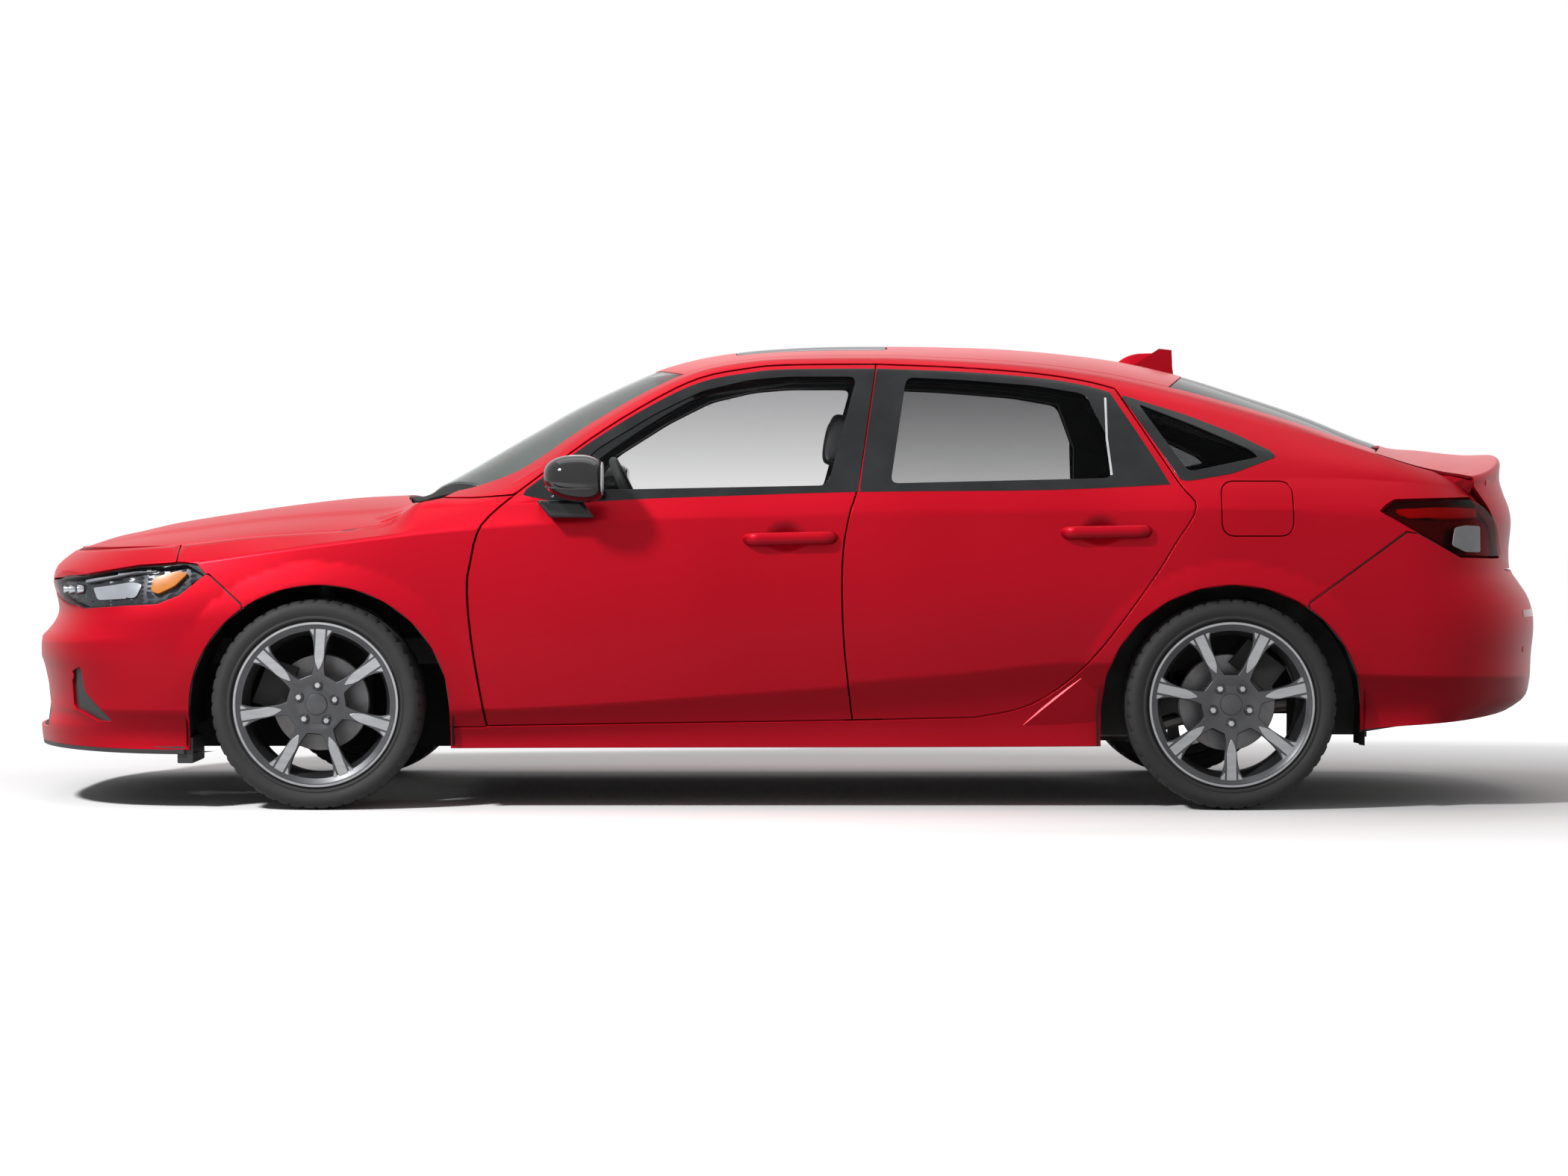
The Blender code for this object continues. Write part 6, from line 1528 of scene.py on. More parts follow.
def plain_node(name, look):
    """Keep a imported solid, with a finished material."""
    thing = NODES[name]
    if not thing.data.materials:
        thing.data.materials.append(look)
    for slot in thing.material_slots:
        slot.material = look
    return thing


# Trim, glass, lamps and small parts of the left side

FRONT_TRIM_TOP = [(-0.790, 0.958), (-0.60, 1.101), (-0.42, 1.213), (-0.272, 1.284), (-0.12, 1.3150),
                  (0.0, 1.3250), (0.2612, 1.3270)]
FRONT_TRIM_REAR = [(0.2612, 1.3270), (0.2142, 1.020), (0.2055, 0.950)]
FRONT_TRIM_BELT = [(0.2055, 0.9500), (0.0, 0.9440), (-0.40, 0.9300), (-0.66, 0.9200), (-0.800, 0.9400)]
REAR_TRIM_TOP = [(0.2655, 1.3270), (0.52, 1.3175), (0.75, 1.2995), (0.89, 1.2775), (0.975, 1.2540)]
REAR_TRIM_REAR = [(0.975, 1.2540), (1.080, 1.080), (1.140, 0.9720)]
REAR_TRIM_BELT = [(1.140, 0.9720), (0.80, 0.9560), (0.40, 0.9520), (0.2100, 0.9500)]
REAR_TRIM_FRONT = [(0.2100, 0.9500), (0.2185, 1.020), (0.2655, 1.3270)]
QUARTER_TRIM = [(1.005, 1.2480), (1.172, 0.9850), (1.200, 0.9830), (1.330, 1.0050), (1.468, 1.0560),
                (1.448, 1.0760), (1.340, 1.1300), (1.200, 1.1860)]
SENSOR_SPOTS = ((-2.165, 0.396), (2.248, 0.470))
SENSOR_RADIUS = 0.011
LAMP_EYES = ((-0.555, 0.652, 0.014), (-0.625, 0.653, 0.015), (-0.690, 0.655, 0.015))

# Flat parts inside the lamp: name, outline, corner radius, material, depth and lift

LAMP_PLATES = (
    ("lamp_bar", [(-2.14, 0.690), (-1.97, 0.7215), (-1.90, 0.7240), (-1.90, 0.7170), (-1.97, 0.7135),
                  (-2.14, 0.6810)], 0.003, "pale_part", 0.010, -0.014),
    ("lamp_amber", [(-1.905, 0.7000), (-1.835, 0.7180), (-1.800, 0.7120), (-1.840, 0.6720), (-1.892, 0.6480),
                    (-1.915, 0.6600)], 0.010, "amber", 0.012, -0.012),
    ("lamp_chamber", [(-2.12, 0.668), (-1.98, 0.690), (-1.945, 0.682), (-1.965, 0.640), (-2.10, 0.628)],
     0.012, "reflector", 0.006, -0.022))
WALL_HALF_WIDTH = 0.450
WALL_BASE_Z = 0.300
MIRROR_CENTRE = (-0.634, -0.955, 0.990)
MIRROR_HALF_SIZE = (0.0950, 0.0900, 0.0700)
MIRROR_POWER = 0.80


def strip_of(name, line, half_width, look, lift=0.002, depth=0.006, radius=0.0012, spacing=0.012):
    """Moulding along a line given in the side view, as wide as asked above and below it."""
    line = dense(line, 0.012, closed=False)
    along = unit(np.gradient(line, axis=0))
    normal = np.stack([-along[:, 1], along[:, 0]], -1)
    loop = clean_loop(line - normal * half_width, (line + normal * half_width)[::-1])
    return panel(name, body_surface, clean_loop(find_st(loop)), spacing=spacing, depth=depth, radius=radius,
                 lift=lift, look=look)


def pane(name, outline, look, corner=0.03, sink=0.004, thick=0.004, grow=0.006):
    """Window glass a little larger than its opening."""
    loop = grown(clean_loop(dense(corners_rounded(outline, corner), 0.012)), grow)
    return panel(name, body_surface, clean_loop(find_st(loop)), spacing=0.022, depth=thick, radius=0.0,
                 lift=-sink, look=look, back=True)


def frame_band(name, outline, outer, look, corner=0.03, lift=0.0012, depth=0.007, inner=-0.004):
    """Black surround between a window and an outer line."""
    hole = grown(clean_loop(dense(corners_rounded(outline, corner), 0.012)), inner)
    return panel(name, body_surface, clean_loop(find_st(outer)), [clean_loop(find_st(hole))], spacing=0.014,
                 depth=depth,
                 radius=0.0012, lift=lift, look=look)


def build_left_trim(looks):
    """Pieces of the left side, each with the body that it rides on and the node that it stands for."""
    made = []

    def add(thing, body="body", node=None):
        made.append((thing, body, node))

    add(pane("glass_front", FRONT_WINDOW, looks["front_glass"]), "front_door", "glass_front")
    add(pane("glass_rear", REAR_WINDOW, looks["privacy_tint_and_shade"]), "rear_door", "glass_rear")
    add(pane("quarter_pane", QUARTER_WINDOW, looks["quarter"], 0.025), "body", "quarter_glass")
    line = rounded(FRONT_TRIM_TOP, 4)[:-1] + rounded(FRONT_TRIM_REAR, 3)[:-1] + rounded(FRONT_TRIM_BELT, 3)
    outer = clean_loop(dense(line, 0.012))
    add(frame_band("trim_front", FRONT_WINDOW, outer, looks["trim"]), "front_door")
    line = rounded(REAR_TRIM_TOP, 4)[:-1]
    for part in (REAR_TRIM_REAR, REAR_TRIM_BELT, REAR_TRIM_FRONT):
        line += rounded(part, 3)[:-1]
    outer = clean_loop(dense(line, 0.012))
    add(frame_band("trim_rear", REAR_WINDOW, outer, looks["trim"]), "rear_door")
    outer = clean_loop(dense(corners_rounded(QUARTER_TRIM, 0.02), 0.012))
    add(frame_band("trim_quarter", QUARTER_WINDOW, outer, looks["trim"], 0.025))
    add(strip_of("edge_rear", [(0.960, 1.236), (0.957, 1.110), (0.966, 1.000)], 0.0035, looks["silver"],
                 lift=0.0030, depth=0.004), "rear_door")
    add(handle("handle_front", (-0.137, 0.142), (0.8085, 0.8140), looks["paint"]), "front_door")
    add(handle("handle_rear", (0.812, 1.080), (0.8280, 0.8330), looks["paint"]), "rear_door")
    head = clean_loop(on_side(LAMP_TOP[:-1]), on_side([(-1.953, 0.729), (-2.132, 0.699)]),
                      on_nose(LAMP_END, 0.01), on_side([(-2.132, 0.602), (-1.994, 0.613)]),
                      on_side(LAMP_BOTTOM[1:]))
    add(panel("headlamp_lens", body_surface, shrunk(head, SHUT_GAP), look=looks["lens"], depth=0.016,
              spacing=0.014, lift=-0.0004), "body", "headlamp")
    add(panel("headlamp_bezel", body_surface, shrunk(head, 0.003), look=looks["lamp_dark"], depth=0.010,
              spacing=0.014, lift=-0.026, shape=lamp_steps))
    made += headlamp_parts(looks)
    add(soft_box("front_deflector", (-1.835, -0.840, 0.137), (-1.787, -0.610, 0.215), looks["black"], 0.004,
                 2))
    tail = clean_loop(
        on_side([(1.770, 0.894), (1.790, 0.912), (1.815, 0.9245), (2.056, 0.9310)]),
        on_tail([(-lid_half(0.9295) - 0.006, 0.9295), (-lid_half(0.755) - 0.006, 0.755)], 0.012),
        on_side([(2.139, 0.7535), (2.013, 0.7585), (1.880, 0.8300)]))
    add(panel("taillamp_lens", body_surface, shrunk(tail, SHUT_GAP), look=looks["red_lens"], depth=0.014,
              spacing=0.014, lift=-0.0004), "body", "taillamp")
    add(panel("taillamp_bezel", body_surface, shrunk(tail, 0.003), look=looks["lamp_dark"], depth=0.010,
              spacing=0.016, lift=-0.026))
    glow = [(1.815, 0.905), (1.95, 0.912), (2.09, 0.908), (2.09, 0.880), (1.95, 0.876), (1.850, 0.872)]
    add(panel("taillamp_band", body_surface, body_loop(glow, 0.008), look=looks["red_part"], depth=0.012,
              spacing=0.012, lift=-0.012))
    clear = [(1.985, 0.790), (2.03, 0.770), (2.085, 0.768), (2.085, 0.848), (2.03, 0.850), (1.995, 0.843)]
    add(panel("taillamp_reverse", body_surface, body_loop(clear, 0.008), look=looks["pale_part"],
              depth=0.0016,
              spacing=0.008, lift=0.0004))
    for index, spot in enumerate(SENSOR_SPOTS):
        centre = find_st([spot])[0]
        angles = np.linspace(0, 2 * math.pi, 25)[:-1]
        ring = centre + np.stack([SENSOR_RADIUS * np.cos(angles), SENSOR_RADIUS * np.sin(angles)], -1)
        add(panel("sensor_%d" % index, body_surface, ring, look=looks["paint"], depth=0.004, spacing=0.005,
                  lift=0.0016, radius=0.0012))
    reflector = [(2.245, 0.5680), (2.322, 0.5680), (2.322, 0.5900), (2.245, 0.5900)]
    add(panel("rear_reflector", body_surface, body_loop(reflector, 0.006), look=looks["red_part"],
              depth=0.005,
              spacing=0.010, lift=0.0010))
    return made


def lamp_steps(q, p):
    """Shallow steps pressed into the lamp's inner bezel."""
    p = p.copy()
    p[:, 1] += 0.004 * (np.sin(p[:, 0] * 95) > 0.2)
    return p


def headlamp_parts(looks):
    """Projector rings, light bar, amber marker and chamber inside the lamp."""
    made = []
    for index, (y, z, r) in enumerate(LAMP_EYES):
        st = find_st([(y, z)], "nose")
        p = body_surface(st)[0]
        n = Vector(normals_of(body_surface, st)[0])
        n = Vector((n.x, n.y * 0.25, 0)).normalized()
        profile = [(0.0005, -0.004), (r * 0.62, -0.001), (r * 0.80, 0.004), (r, -0.003), (r * 1.06, 0.0),
                   (r * 1.06, 0.016), (0.0005, 0.016)]
        bowl = revolve("lamp_eye_%d" % index, profile, 40, looks["reflector"], 30)
        turn = Vector((0, -1, 0)).rotation_difference(n).to_matrix().to_4x4()
        bowl.data.transform(Matrix.Translation(Vector(p) - n * 0.018) @ turn)
        made.append((bowl, "body", None))
    for name, outline, corner, look, depth, lift in LAMP_PLATES:
        made.append((panel(name, body_surface, body_loop(outline, corner), look=looks[look], depth=depth,
                           spacing=0.01, lift=lift), "body", None))
    return made


def handle(name, xs, zs, look):
    """Pull handle: a rounded bar that stands off the door and turns in at both ends."""
    count = 34
    path, widths = [], []
    for k in range(count):
        t = k / (count - 1)
        x = xs[0] + (xs[1] - xs[0]) * t
        z = zs[0] + (zs[1] - zs[0]) * t
        base = body_surface(find_st([(x, z)]))[0]
        rise = min(1.0, math.sin(math.pi * min(t, 1 - t) / 0.30) ** 0.8) if min(t, 1 - t) < 0.15 else 1.0
        path.append((x, base[1] + 0.004 - 0.030 * rise, z))
        widths.append(0.0085 if 0.04 < t < 0.96 else 0.0085 * (0.45 + 0.55 * min(t, 1 - t) / 0.04))
    return tube(name, path, widths, look, 20, scale_y=2.2, up=(0, 0, 1))


def arch_liner(name, axle_x, look, wall_y=None):
    """Black lining of a wheel arch, seen between tyre and lip; a wall closes it inboard."""
    rows = []
    for y in np.linspace(-0.870, -0.650, 8):
        row = []
        shrink = 0.012 + 0.006 * math.sin((y + 0.87) * 60)
        for a in np.linspace(-8, 188, 50):
            r = math.radians(a)
            row.append((axle_x - (ARCH_HALF_WIDTH + shrink) * math.cos(r), y,
                        ARCH_BASE_Z + (ARCH_HEIGHT + shrink) * math.sin(r)))
        row.insert(0, (row[0][0], y, 0.190))
        row.append((row[-1][0], y, 0.190))
        rows.append(row)
    shell = grid_sheet(name, rows, look, 0.0, sharp=50)
    if wall_y is None:
        return shell
    parts = [shell]
    for start, end in ((-8, 62), (118, 188)):
        rows = []
        for y in np.linspace(-0.652, wall_y, 6):
            row = []
            for a in np.linspace(start, end, 20):
                r = math.radians(a)
                row.append((axle_x - (ARCH_HALF_WIDTH + 0.014) * math.cos(r), y,
                            max(ARCH_BASE_Z + (ARCH_HEIGHT + 0.014) * math.sin(r), 0.20)))
            rows.append(row)
        parts.append(grid_sheet(name + "_part", rows, look, 0.0, sharp=50))
    half = WALL_HALF_WIDTH
    wall = [(axle_x - half, 0.165), (axle_x + half, 0.165), (axle_x + half, WALL_BASE_Z)]
    for a in range(6, 180, 6):
        r = math.radians(a)
        wall.append((axle_x + half * math.cos(r), WALL_BASE_Z + 0.385 * math.sin(r)))
    wall.append((axle_x - half, WALL_BASE_Z))

    def upright(q):
        return np.stack([q[:, 0], wall_y + 0 * q[:, 0], q[:, 1]], -1)

    parts.append(panel(name + "_wall", upright, clean_loop(dense(wall, 0.03)), spacing=0.05, depth=0.003,
                       radius=0.001, look=look))
    return join_all(name, parts)


def front_lip(looks):
    """Black lip under the nose."""
    rows = []
    us = np.linspace(0, 0.98, 60)
    for sgn in (1, -1):
        for u in us[::-1] if sgn == 1 else us[1:]:
            x, y, z = side_xyz(np.array([u]), np.array([0.0]))[0]
            rows.append([(x + 0.030, y * 0.975 * sgn, z + 0.020), (x + 0.004, y * 0.999 * sgn, z + 0.010),
                         (x + 0.001, y * 1.000 * sgn, z - 0.004), (x + 0.003, y * 0.998 * sgn, z - 0.012),
                         (x + 0.012, y * 0.985 * sgn, z - 0.014), (x + 0.090, y * 0.955 * sgn, z - 0.006)])
    return fix_normals(grid_sheet("front_lip", rows, looks["black"], 0.0, sharp=40))


def signed_power(value, power):
    return math.copysign(abs(value) ** power, value)


def mirror_parts(looks):
    """Door mirror: shell, glass, foot and seam."""
    cx, cy, cz = MIRROR_CENTRE
    rx, ry, rz = MIRROR_HALF_SIZE
    rows = []
    for k in range(25):
        lat = math.pi * ((k / 24) ** 0.9)
        sa = math.sin(lat)
        ca = math.cos(lat)
        sx = signed_power(ca, MIRROR_POWER)
        row = []
        for j in range(40):
            phi = 2 * math.pi * j / 40
            sy = sa ** MIRROR_POWER * signed_power(math.cos(phi), MIRROR_POWER)
            sz = sa ** MIRROR_POWER * signed_power(math.sin(phi), MIRROR_POWER)
            x = cx - rx * sx
            z = cz + rz * sz * (1 - 0.10 * sx) + 0.004 * sx
            y = cy + ry * sy * (1 - 0.06 * sz)
            row.append((min(x, -0.555), y, z))
        rows.append(row)
    shell = grid_sheet("mirror_shell", rows, looks["mirror_black"], 0.0, closed=True, sharp=45)
    fix_normals(shell)
    glass = []
    for k in range(48):
        a = 2 * math.pi * k / 48
        glass.append((cy + 0.074 * signed_power(math.cos(a), 0.7),
                      0.989 + 0.050 * signed_power(math.sin(a), 0.7)))

    def upright(q):
        return np.stack([-0.5542 + 0 * q[:, 0], q[:, 0], q[:, 1]], -1)

    face = panel("mirror_glass", upright, np.array(glass), look=looks["silver"], depth=0.002, spacing=0.02,
                 radius=0.0008)
    foot = soft_box("mirror_foot", (-0.735, -0.930, 0.872), (-0.600, -0.815, 0.925), looks["trim"], 0.012,
                    taper=lambda c: (c.x - 0.8 * (c.z - 0.90), c.y, c.z))
    line = tube("mirror_seam", [(-0.720, cy - 0.084, 0.963), (-0.650, cy - 0.090, 0.957),
                                (-0.585, cy - 0.084, 0.958)], 0.003, looks["black"], 8)
    return [shell, face, foot, line]


# Cabin

DRIVER_Y = 0.365
STEERING_TILT = 24
STEERING_RADIUS = 0.178
STEERING_PAD_PROFILE = [(0.0005, 0.020), (0.040, 0.017), (0.058, 0.006), (0.062, -0.010), (0.050, -0.030),
                        (0.0005, -0.030)]
DASH_OUTLINE = [(-1.015, 0.900), (-1.015, 0.645), (-0.78, 0.605), (-0.665, 0.645), (-0.606, 0.760),
                (-0.612, 0.800), (-0.630, 0.868), (-0.70, 0.920), (-0.86, 0.940)]


def cushion(name, centre, size, tilt, look, crown=0.0, pinch=()):
    """Closed pillow form: rounded box about its centre, crowned and with sewn channels across it."""
    shape = bmesh.new()
    bmesh.ops.create_cube(shape, size=2.0)
    bmesh.ops.subdivide_edges(shape, edges=shape.edges[:], cuts=15, use_grid_fill=True)
    half = Vector(size) / 2
    turn = Matrix.Rotation(tilt, 3, "Y")
    for v in shape.verts:
        c = v.co
        n = (abs(c.x) ** 6 + abs(c.y) ** 6 + abs(c.z) ** 6) ** (1 / 6)
        flat = c / n
        bulge = (1 - flat.x**2 * 0.9) * (1 - flat.y**2 * 0.9)
        side = (1 - flat.z**2 * 0.8)
        p = Vector((flat.x * half.x * (0.97 + 0.03 * side), flat.y * half.y * (0.97 + 0.03 * side),
                    flat.z * half.z * (1 + crown * max(bulge, 0))))
        for axis, at, width, depth in pinch:
            d = (p[axis] - at) / width
            if abs(d) < 1 and c.z > 0.3:
                p.z -= depth * (1 - d * d) ** 2 * min(1.0, (c.z - 0.3) / 0.5)
        v.co = turn @ p + Vector(centre)
    mesh = bpy.data.meshes.new(name)
    shape.to_mesh(mesh)
    shape.free()
    made = bpy.data.objects.new(name, mesh)
    bpy.context.scene.collection.objects.link(made)
    mesh.shade_smooth()
    mesh.materials.append(look)
    return made


def build_seat(looks, side):
    """Front seat: base, cushion with bolsters, backrest with bolsters, headrest on two posts."""
    y = side * DRIVER_Y
    lean = math.radians(-76)
    flat = math.radians(-5)
    cloth, pale = looks["cloth"], looks["cloth_pale"]
    made = [soft_box("seat_base", (-0.300, y - 0.20, 0.2315), (-0.030, y + 0.20, 0.350), looks["black"],
                     0.012)]
    channels = ((1, -0.055, 0.018, 0.006), (1, 0.055, 0.018, 0.006))
    made.append(cushion("seat_cushion", (-0.170, y, 0.440), (0.430, 0.330, 0.150), flat, cloth, crown=0.12,
                        pinch=channels))
    for s in (-1, 1):
        made.append(cushion("seat_bolster", (-0.170, y + s * 0.200, 0.448), (0.420, 0.090, 0.165), flat, pale,
                            crown=0.16))
    channels = ((0, 0.02, 0.02, 0.006), (0, -0.12, 0.02, 0.006))
    made.append(cushion("seat_back", (0.115, y, 0.760), (0.520, 0.320, 0.105), lean, cloth, crown=0.14,
                        pinch=channels))
    for s in (-1, 1):
        made.append(cushion("seat_back_bolster", (0.100, y + s * 0.200, 0.745), (0.470, 0.088, 0.125), lean,
                            pale, crown=0.2))
    made.append(cushion("headrest", (0.165, y, 1.115), (0.150, 0.250, 0.088), math.radians(-80), cloth,
                        crown=0.15))
    for s in (-1, 1):
        post = [(0.180, y + s * 0.07, 0.985), (0.172, y + s * 0.07, 1.085)]
        made.append(tube("headrest_post", post, 0.006, looks["steel"], 12))
    return made


def build_steering_wheel(looks):
    """Rim with thumb swells, three spokes, bare hub pad and column shroud."""
    angle = math.radians(STEERING_TILT)
    back = Vector((math.cos(angle), 0, math.sin(angle)))
    across = Vector((0, 1, 0))
    up = back.cross(across)
    turn = Matrix((across, up, back)).transposed().to_4x4()
    move = Matrix.Translation((-0.475, -DRIVER_Y, 0.885)) @ turn
    angles = np.linspace(0, 2 * math.pi, 97)[:-1]
    path = [(STEERING_RADIUS * math.cos(a), STEERING_RADIUS * math.sin(a), 0) for a in angles]
    radii = [0.0140 + 0.0018 * math.exp(-((math.degrees(a) % 180 - 25) / 14) ** 2) for a in angles]
    made = [tube("wheel_rim", path, radii, looks["leather"], 20, closed=True)]
    pad = revolve("wheel_pad", STEERING_PAD_PROFILE, 48, looks["dash"], 30)
    pad.data.transform(Matrix.Rotation(math.pi / 2, 4, "X"))
    made.append(fix_normals(pad))
    for a, w in ((0, 0.020), (math.pi, 0.020), (-math.pi / 2, 0.024)):
        spoke = soft_box("wheel_spoke", (0.045, -w, -0.012), (0.172, w, 0.004), looks["trim"], 0.006,
                         taper=lambda c: (c.x, c.y * (1.0 if c.x < 0.1 else 0.6), c.z))
        spoke.data.transform(Matrix.Rotation(a, 4, "Z"))
        made.append(spoke)
    made.append(tube("wheel_column", [(0, 0, -0.020), (0, 0, -0.060), (0, 0, -0.1095)], [0.030, 0.026, 0.024],
                     looks["black"], 24, up=(0, 1, 0)))
    for thing in made:
        thing.data.transform(move)
    return made


def build_rear_seat(looks):
    """Rear bench: base, three cushions with their backs, and the parcel shelf."""
    made = [soft_box("rear_seat_base", (0.600, -0.585, 0.3465), (0.960, 0.585, 0.400), looks["black"], 0.010,
                     taper=lambda c: (c.x + (0.03 if c.z < 0.36 else 0.0), c.y,
                                      c.z + (0.024 if c.x > 0.9 else 0.0)))]
    for y in (-0.385, 0.0, 0.385):
        width = 0.400 if y else 0.365
        made.append(cushion("rear_cushion", (0.760, y, 0.452), (0.390, width, 0.105), math.radians(4),
                            looks["cloth"], crown=0.10, pinch=((0, 0.0, 0.02, 0.005),)))
        made.append(cushion("rear_back", (1.045, y, 0.730), (0.520, width, 0.090), math.radians(-71),
                            looks["cloth"], crown=0.12, pinch=((0, 0.05, 0.02, 0.005),)))
    made.append(soft_box("parcel_shelf", (1.150, -0.590, 0.9685), (1.733, 0.590, 0.9835), looks["carpet"],
                         0.005))
    return made


def build_dashboard(looks):
    """Padded dashboard with cluster hood, screen and vents."""
    loop = dense(corners_rounded(DASH_OUTLINE, 0.03), 0.02)
    rows = [[(x, y, z) for x, z in loop] for y in np.linspace(-0.640, 0.640, 41)]
    made = [fix_normals(grid_sheet("dash_panel", rows, looks["dash"], 0.0, closed=True, sharp=40)),
            soft_box("dash_cluster", (-0.760, -0.510, 0.905), (-0.610, -0.220, 0.943), looks["dash"], 0.014),
            soft_box("dash_screen", (-0.622, -0.115, 0.812), (-0.607, 0.115, 0.925), looks["trim"], 0.005)]
    for y in (-0.590, -0.165, 0.165, 0.590):
        for k in range(4):
            made.append(soft_box("dash_vent", (-0.6195, y - 0.040, 0.775 + k * 0.009),
                                 (-0.6035, y + 0.040, 0.779 + k * 0.009), looks["black"], 0.001, 1))
    return made


# Assembly

LOOKS = make_looks()
END_START = 2.30
NOSE_SHARE = 0.895
TAIL_SHARE = 0.925

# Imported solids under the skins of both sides: node, body, depth below the surface, material

SUNK_PAIRS = (("side_frame", "body", 0.0095, "paint"), ("fender", "body", 0.0085, "black"),
              ("door_front", "front_door", 0.0095, "paint"), ("door_rear", "rear_door", 0.0095, "paint"))
PLAIN_NODES = {"floor_pan": "under", "front_subframe": "under", "rear_axle": "under", "engine": "engine",
               "exhaust": "exhaust", "knuckle_left": "under", "knuckle_right": "under",
               "grille_upper": "black", "grille_lower": "black"}


def within_ends(thing):
    """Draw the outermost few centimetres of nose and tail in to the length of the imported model."""
    for v in thing.data.vertices:
        if v.co.x < -END_START:
            v.co.x = -END_START + (v.co.x + END_START) * NOSE_SHARE
        elif v.co.x > END_START:
            v.co.x = END_START + (v.co.x - END_START) * TAIL_SHARE


def place(thing, body, name=None, nodes=()):
    """Name a piece, draw in its outermost ends, let it ride on its body, and hide the nodes it stands for."""
    if name:
        thing.name = name
        thing.data.name = name
    within_ends(thing)
    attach(thing, body)
    if nodes:
        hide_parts(*nodes)
    return thing


# The camera, with rows and widths in pixels of the photograph

FOCAL_PIXELS = 5171.6
PHOTO_WIDTH = 2100
PHOTO_MIDDLE_ROW = 787.5
HORIZON_ROW = 681.3
SENSOR_WIDTH = 36.0
CAMERA_SPOT = (-0.0165, -12.4, 0.9)


def build_camera():
    """The photograph's viewpoint: level with the shoulder, to the left of the car."""
    lens = bpy.data.cameras.new("camera")
    lens.sensor_width = SENSOR_WIDTH
    lens.lens = FOCAL_PIXELS / PHOTO_WIDTH * SENSOR_WIDTH
    camera = bpy.data.objects.new("camera", lens)
    bpy.context.scene.collection.objects.link(camera)
    camera.location = CAMERA_SPOT
    drop = math.atan((PHOTO_MIDDLE_ROW - HORIZON_ROW) / FOCAL_PIXELS)
    camera.rotation_euler = (math.radians(90) - drop, 0, 0)
    bpy.context.scene.camera = camera


def body_of(part, side):
    return part if part == "body" else part + "_" + side


def place_pair(thing, name, part, node=None):
    """Place a left-hand piece and its mirrored twin on the bodies of their own sides."""
    twin = mirror_copy(thing, name + "_right")
    for side, piece in (("left", thing), ("right", twin)):
        place(piece, body_of(part, side), name + "_" + side, (node + "_" + side,) if node else ())


def place_set(things, body, node, tail=""):
    """Place pieces that together stand for one node, numbered in their order."""
    for index, thing in enumerate(things):
        place(thing, body, thing.name.split(".")[0] + tail + "_" + str(index), () if index else (node,))


def build_pairs(cloud, tree):
    """Everything with a left and a right twin."""
    skins = build_side_skins(LOOKS)
    place(skins.pop("fuel_flap_skin"), "flap", nodes=("fuel_flap",))
    place_pair(skins["door_skin_front_left"], "door_skin_front", "front_door")
    place_pair(skins["door_skin_rear_left"], "door_skin_rear", "rear_door")
    place_pair(skins["fender_skin_left"], "fender_skin", "body")
    place(skins["body_side_left"], "body")
    place(side_without_flap(), "body")
    for thing, part, node in build_left_trim(LOOKS):
        place_pair(thing, thing.name, part, node)
    for node, part, depth, look in SUNK_PAIRS:
        for side in ("left", "right"):
            name = node + "_" + side
            limit = -0.30 if node == "side_frame" else 0.5
            inner = sunk_copy(name, node + "_inner_" + side, depth, LOOKS[look], cloud, tree, LOOKS["dash"],
                              limit)
            place(inner, body_of(part, side), nodes=(name,))
    for index, thing in enumerate(mirror_parts(LOOKS)):
        place_pair(thing, thing.name, "front_door", None if index else "mirror")
    for axle, x, wall_y in (("front", FRONT_ARCH_X, -0.452), ("rear", REAR_ARCH_X, None)):
        name = "arch_liner_" + axle
        place_pair(arch_liner(name, x, LOOKS["liner"], wall_y), name, "body")
    for side, sign in (("left", -1), ("right", 1)):
        place_set(build_seat(LOOKS, sign), "body", "seat_" + side, "_" + side)


def side_without_flap():
    """Right body side: the same sheet mirrored, with no filler opening."""
    thing = build_side_skins(LOOKS, only_side=True)["body_side_left"]
    twin = mirror_copy(thing, "body_side_right")
    bpy.data.objects.remove(thing)
    return twin


def build_wheels():
    """Tyre, wheel and brake disc of every corner, the right-hand ones mirrored."""
    tyre = build_tyre("tyre", LOOKS["rubber"])
    for axle, x, half_track, first in (("front", FRONT_AXLE_X, FRONT_HALF_TRACK, FRONT_SPOKE_ANGLE),
                                       ("rear", REAR_AXLE_X, REAR_HALF_TRACK, REAR_SPOKE_ANGLE)):
        wheel, brake = build_wheel("wheel_model_" + axle, math.radians(first), LOOKS)
        for side, sign in (("left", -1), ("right", 1)):
            spot = axle + "_" + side
            body = "road_wheel_" + spot
            matrix = Matrix.Translation((x, sign * half_track, TYRE_RADIUS))
            if sign > 0:
                matrix = matrix @ MIRROR
            place(copy_of(tyre, "road_tyre_" + spot, matrix), body, nodes=("tyre_" + spot,))
            place(copy_of(wheel, "alloy_wheel_" + spot, matrix), body, nodes=("wheel_" + spot,))
            place(copy_of(brake, "brake_disc_" + spot, matrix), body)
        bpy.data.objects.remove(wheel)
        bpy.data.objects.remove(brake)
    bpy.data.objects.remove(tyre)


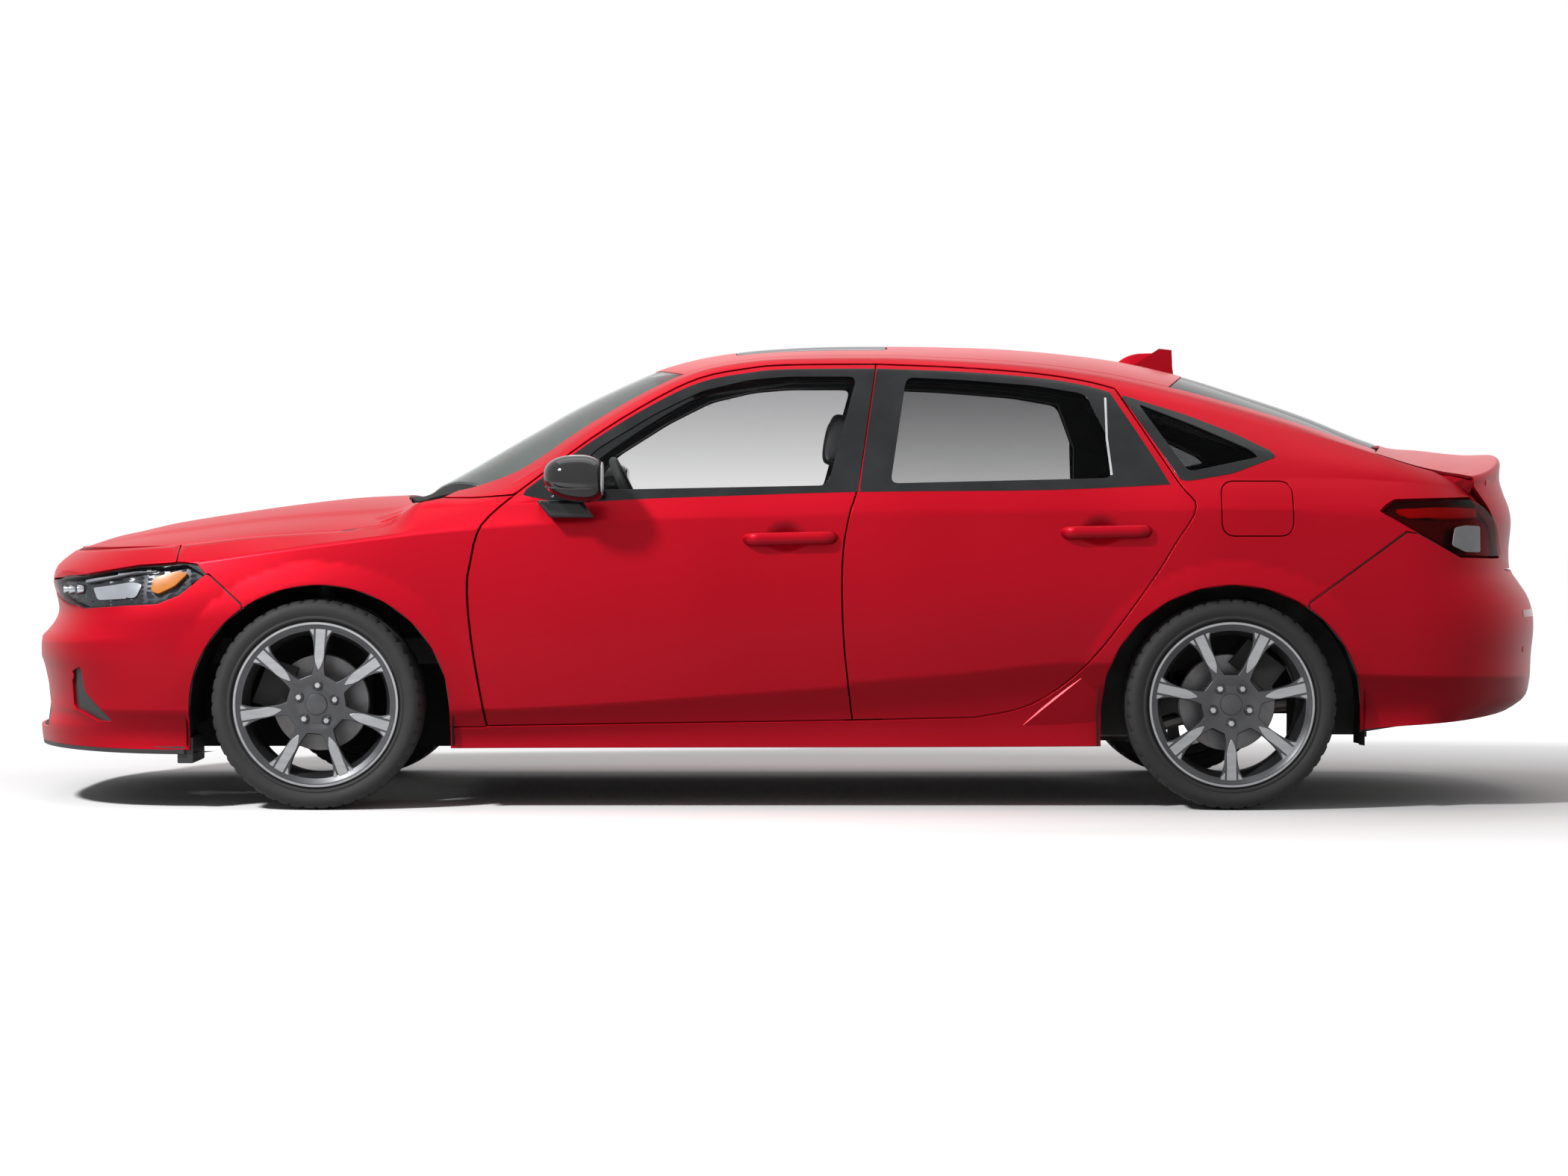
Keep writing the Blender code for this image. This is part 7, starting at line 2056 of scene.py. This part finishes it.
def build_middle(cloud, tree):
    """Pieces that have no twin, from bumpers to cabin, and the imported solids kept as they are."""
    def place_inner(node, name, depth, look, body="body"):
        place(sunk_copy(node, name, depth, LOOKS[look], cloud, tree), body, nodes=(node,))

    for bumper in build_bumpers(LOOKS):
        place(bumper, "body")
    place_inner("front_bumper", "front_bumper_inner", 0.0105, "black")
    place_inner("rear_bumper", "rear_bumper_inner", 0.0105, "black")
    riders = {"hood_skin": "hood_panel", "lid_skin": "lid"}
    nodes = {"windshield_pane": "windshield", "rear_window_pane": "rear_window", "cowl_skin": "cowl_panel"}
    for name, thing in build_top(LOOKS).items():
        place(thing, riders.get(name, "body"), nodes=(nodes[name],) if name in nodes else ())
    place_inner("hood", "hood_inner", 0.0125, "paint", "hood_panel")
    place_inner("trunk_lid", "lid_inner", 0.0085, "paint", "lid")
    place_inner("roof_panel", "roof_inner", 0.0085, "paint")
    place(fin(), "body")
    place(front_lip(LOOKS), "body")
    place_set(build_steering_wheel(LOOKS), "hand_wheel", "steering_wheel")
    place_set(build_rear_seat(LOOKS), "body", "rear_seat")
    place_set(build_dashboard(LOOKS), "body", "dashboard")
    for name, look in PLAIN_NODES.items():
        plain_node(name, LOOKS[look])


FIN_PROFILE = [(1.040, 1.362), (1.062, 1.380), (1.088, 1.3920), (1.118, 1.3975), (1.170, 1.3990),
               (1.212, 1.4000),
               (1.2205, 1.3960), (1.2225, 1.360), (1.228, 1.320)]


def fin():
    """Roof antenna fin: a swept blade that thins towards its top."""
    rows = []
    for x, z in rounded(FIN_PROFILE, 4):
        base = float(top_z(np.array(x), np.array(0.0))) - 0.004
        height = max(z - base, 0.001)
        row = []
        for k in range(13):
            a = math.pi * k / 12
            width = 0.020 * (1 - 0.75 * math.sin(a)) * min(1.0, (x - 1.030) / 0.06)
            row.append((x + 0.006 * math.sin(a), width * signed_power(math.cos(a), 0.5),
                        base + height * math.sin(a)))
        rows.append(row)
    return fix_normals(grid_sheet("antenna_fin", rows, LOOKS["paint"], 0.0, sharp=50))


# Floor and lights; each light is its name, place, aim, size and power

FLOOR_REACH = 60
FLOOR_Z = -0.0005
FLOOR_GLOW = 0.75
GLOW_FROM_TO = (1.7, 4.2)
FLOOR_BOUNCE = (0.34, 0.34, 0.34)
WORLD_LIGHT = 0.26
LIGHTS = (("overhead", (0, 0.5, 6.0), (0, 0, 0), (7.0, 3.5), 95),
          ("key", (-4.2, -4.5, 4.9), (-0.2, -0.8, 0.6), (0.7, 0.7), 510),
          ("rim", (1.5, 6.5, 4.0), (0, 0, 0.6), (6.0, 2.5), 40))


def seen_rays(nodes, links):
    """1 for rays that show a surface itself, from the camera, through glass or in a reflection."""
    path = nodes.new("ShaderNodeLightPath")
    first = computed(nodes, links, "MAXIMUM", path.outputs["Is Camera Ray"],
                     path.outputs["Is Transmission Ray"])
    return computed(nodes, links, "MAXIMUM", first, path.outputs["Is Glossy Ray"])


def build_stage():
    """White floor that keeps the car's shadow, a plain pale surround and soft studio light."""
    mesh = bpy.data.meshes.new("floor")
    reach = FLOOR_REACH
    corners = [(-reach, -reach, FLOOR_Z), (reach, -reach, FLOOR_Z), (reach, reach, FLOOR_Z),
               (-reach, reach, FLOOR_Z)]
    mesh.from_pydata(corners, [], [(0, 1, 2, 3)])
    floor = bpy.data.objects.new("floor", mesh)
    bpy.context.scene.collection.objects.link(floor)
    look, nodes, links, shader, out = new_look("floor_white")
    shader.inputs["Roughness"].default_value = 0.9
    shader.inputs["Specular IOR Level"].default_value = 0.0
    glow = nodes.new("ShaderNodeEmission")
    glow.inputs["Color"].default_value = (1, 1, 1, 1)
    shown = seen_rays(nodes, links)
    links.new(mixed(nodes, links, shown, FLOOR_BOUNCE, (0.95, 0.95, 0.95)), shader.inputs["Base Color"])
    far = nodes.new("ShaderNodeVectorMath")
    far.operation = "LENGTH"
    links.new(coords(nodes, links, (0.62, 1.0, 1.0)), far.inputs[0])
    fade = spread_to(nodes, links, far.outputs["Value"], 0.0, FLOOR_GLOW, *GLOW_FROM_TO)
    links.new(computed(nodes, links, "MULTIPLY", shown, fade), glow.inputs["Strength"])
    total = nodes.new("ShaderNodeAddShader")
    links.new(shader.outputs[0], total.inputs[0])
    links.new(glow.outputs[0], total.inputs[1])
    links.new(total.outputs[0], out.inputs["Surface"])
    mesh.materials.append(look)
    world = bpy.data.worlds.new("world")
    bpy.context.scene.world = world
    world.use_nodes = True
    nodes, links = world.node_tree.nodes, world.node_tree.links
    nodes.clear()
    out = nodes.new("ShaderNodeOutputWorld")
    blend = nodes.new("ShaderNodeMixShader")
    links.new(seen_rays(nodes, links), blend.inputs["Fac"])
    for slot, strength in ((1, WORLD_LIGHT), (2, 1.0)):
        plain = nodes.new("ShaderNodeBackground")
        plain.inputs["Color"].default_value = (1, 1, 1, 1)
        plain.inputs["Strength"].default_value = strength
        links.new(plain.outputs[0], blend.inputs[slot])
    links.new(blend.outputs[0], out.inputs["Surface"])
    for light in LIGHTS:
        area_light(*light)


def area_light(name, spot, aim, size, power):
    data = bpy.data.lights.new(name, "AREA")
    data.shape = "RECTANGLE"
    data.size, data.size_y = size
    data.energy = power
    light = bpy.data.objects.new(name, data)
    bpy.context.scene.collection.objects.link(light)
    light.location = spot
    light.rotation_euler = (Vector(aim) - Vector(spot)).to_track_quat("-Z", "Y").to_euler()


def build_all():
    build_camera()
    cloud = surface_cloud()
    tree = kdtree.KDTree(len(cloud[0]))
    for index, p in enumerate(cloud[0]):
        tree.insert(Vector(p), index)
    tree.balance()
    build_pairs(cloud, tree)
    build_wheels()
    build_middle(cloud, tree)
    build_stage()
    bpy.context.scene.view_settings.view_transform = "Standard"


build_all()
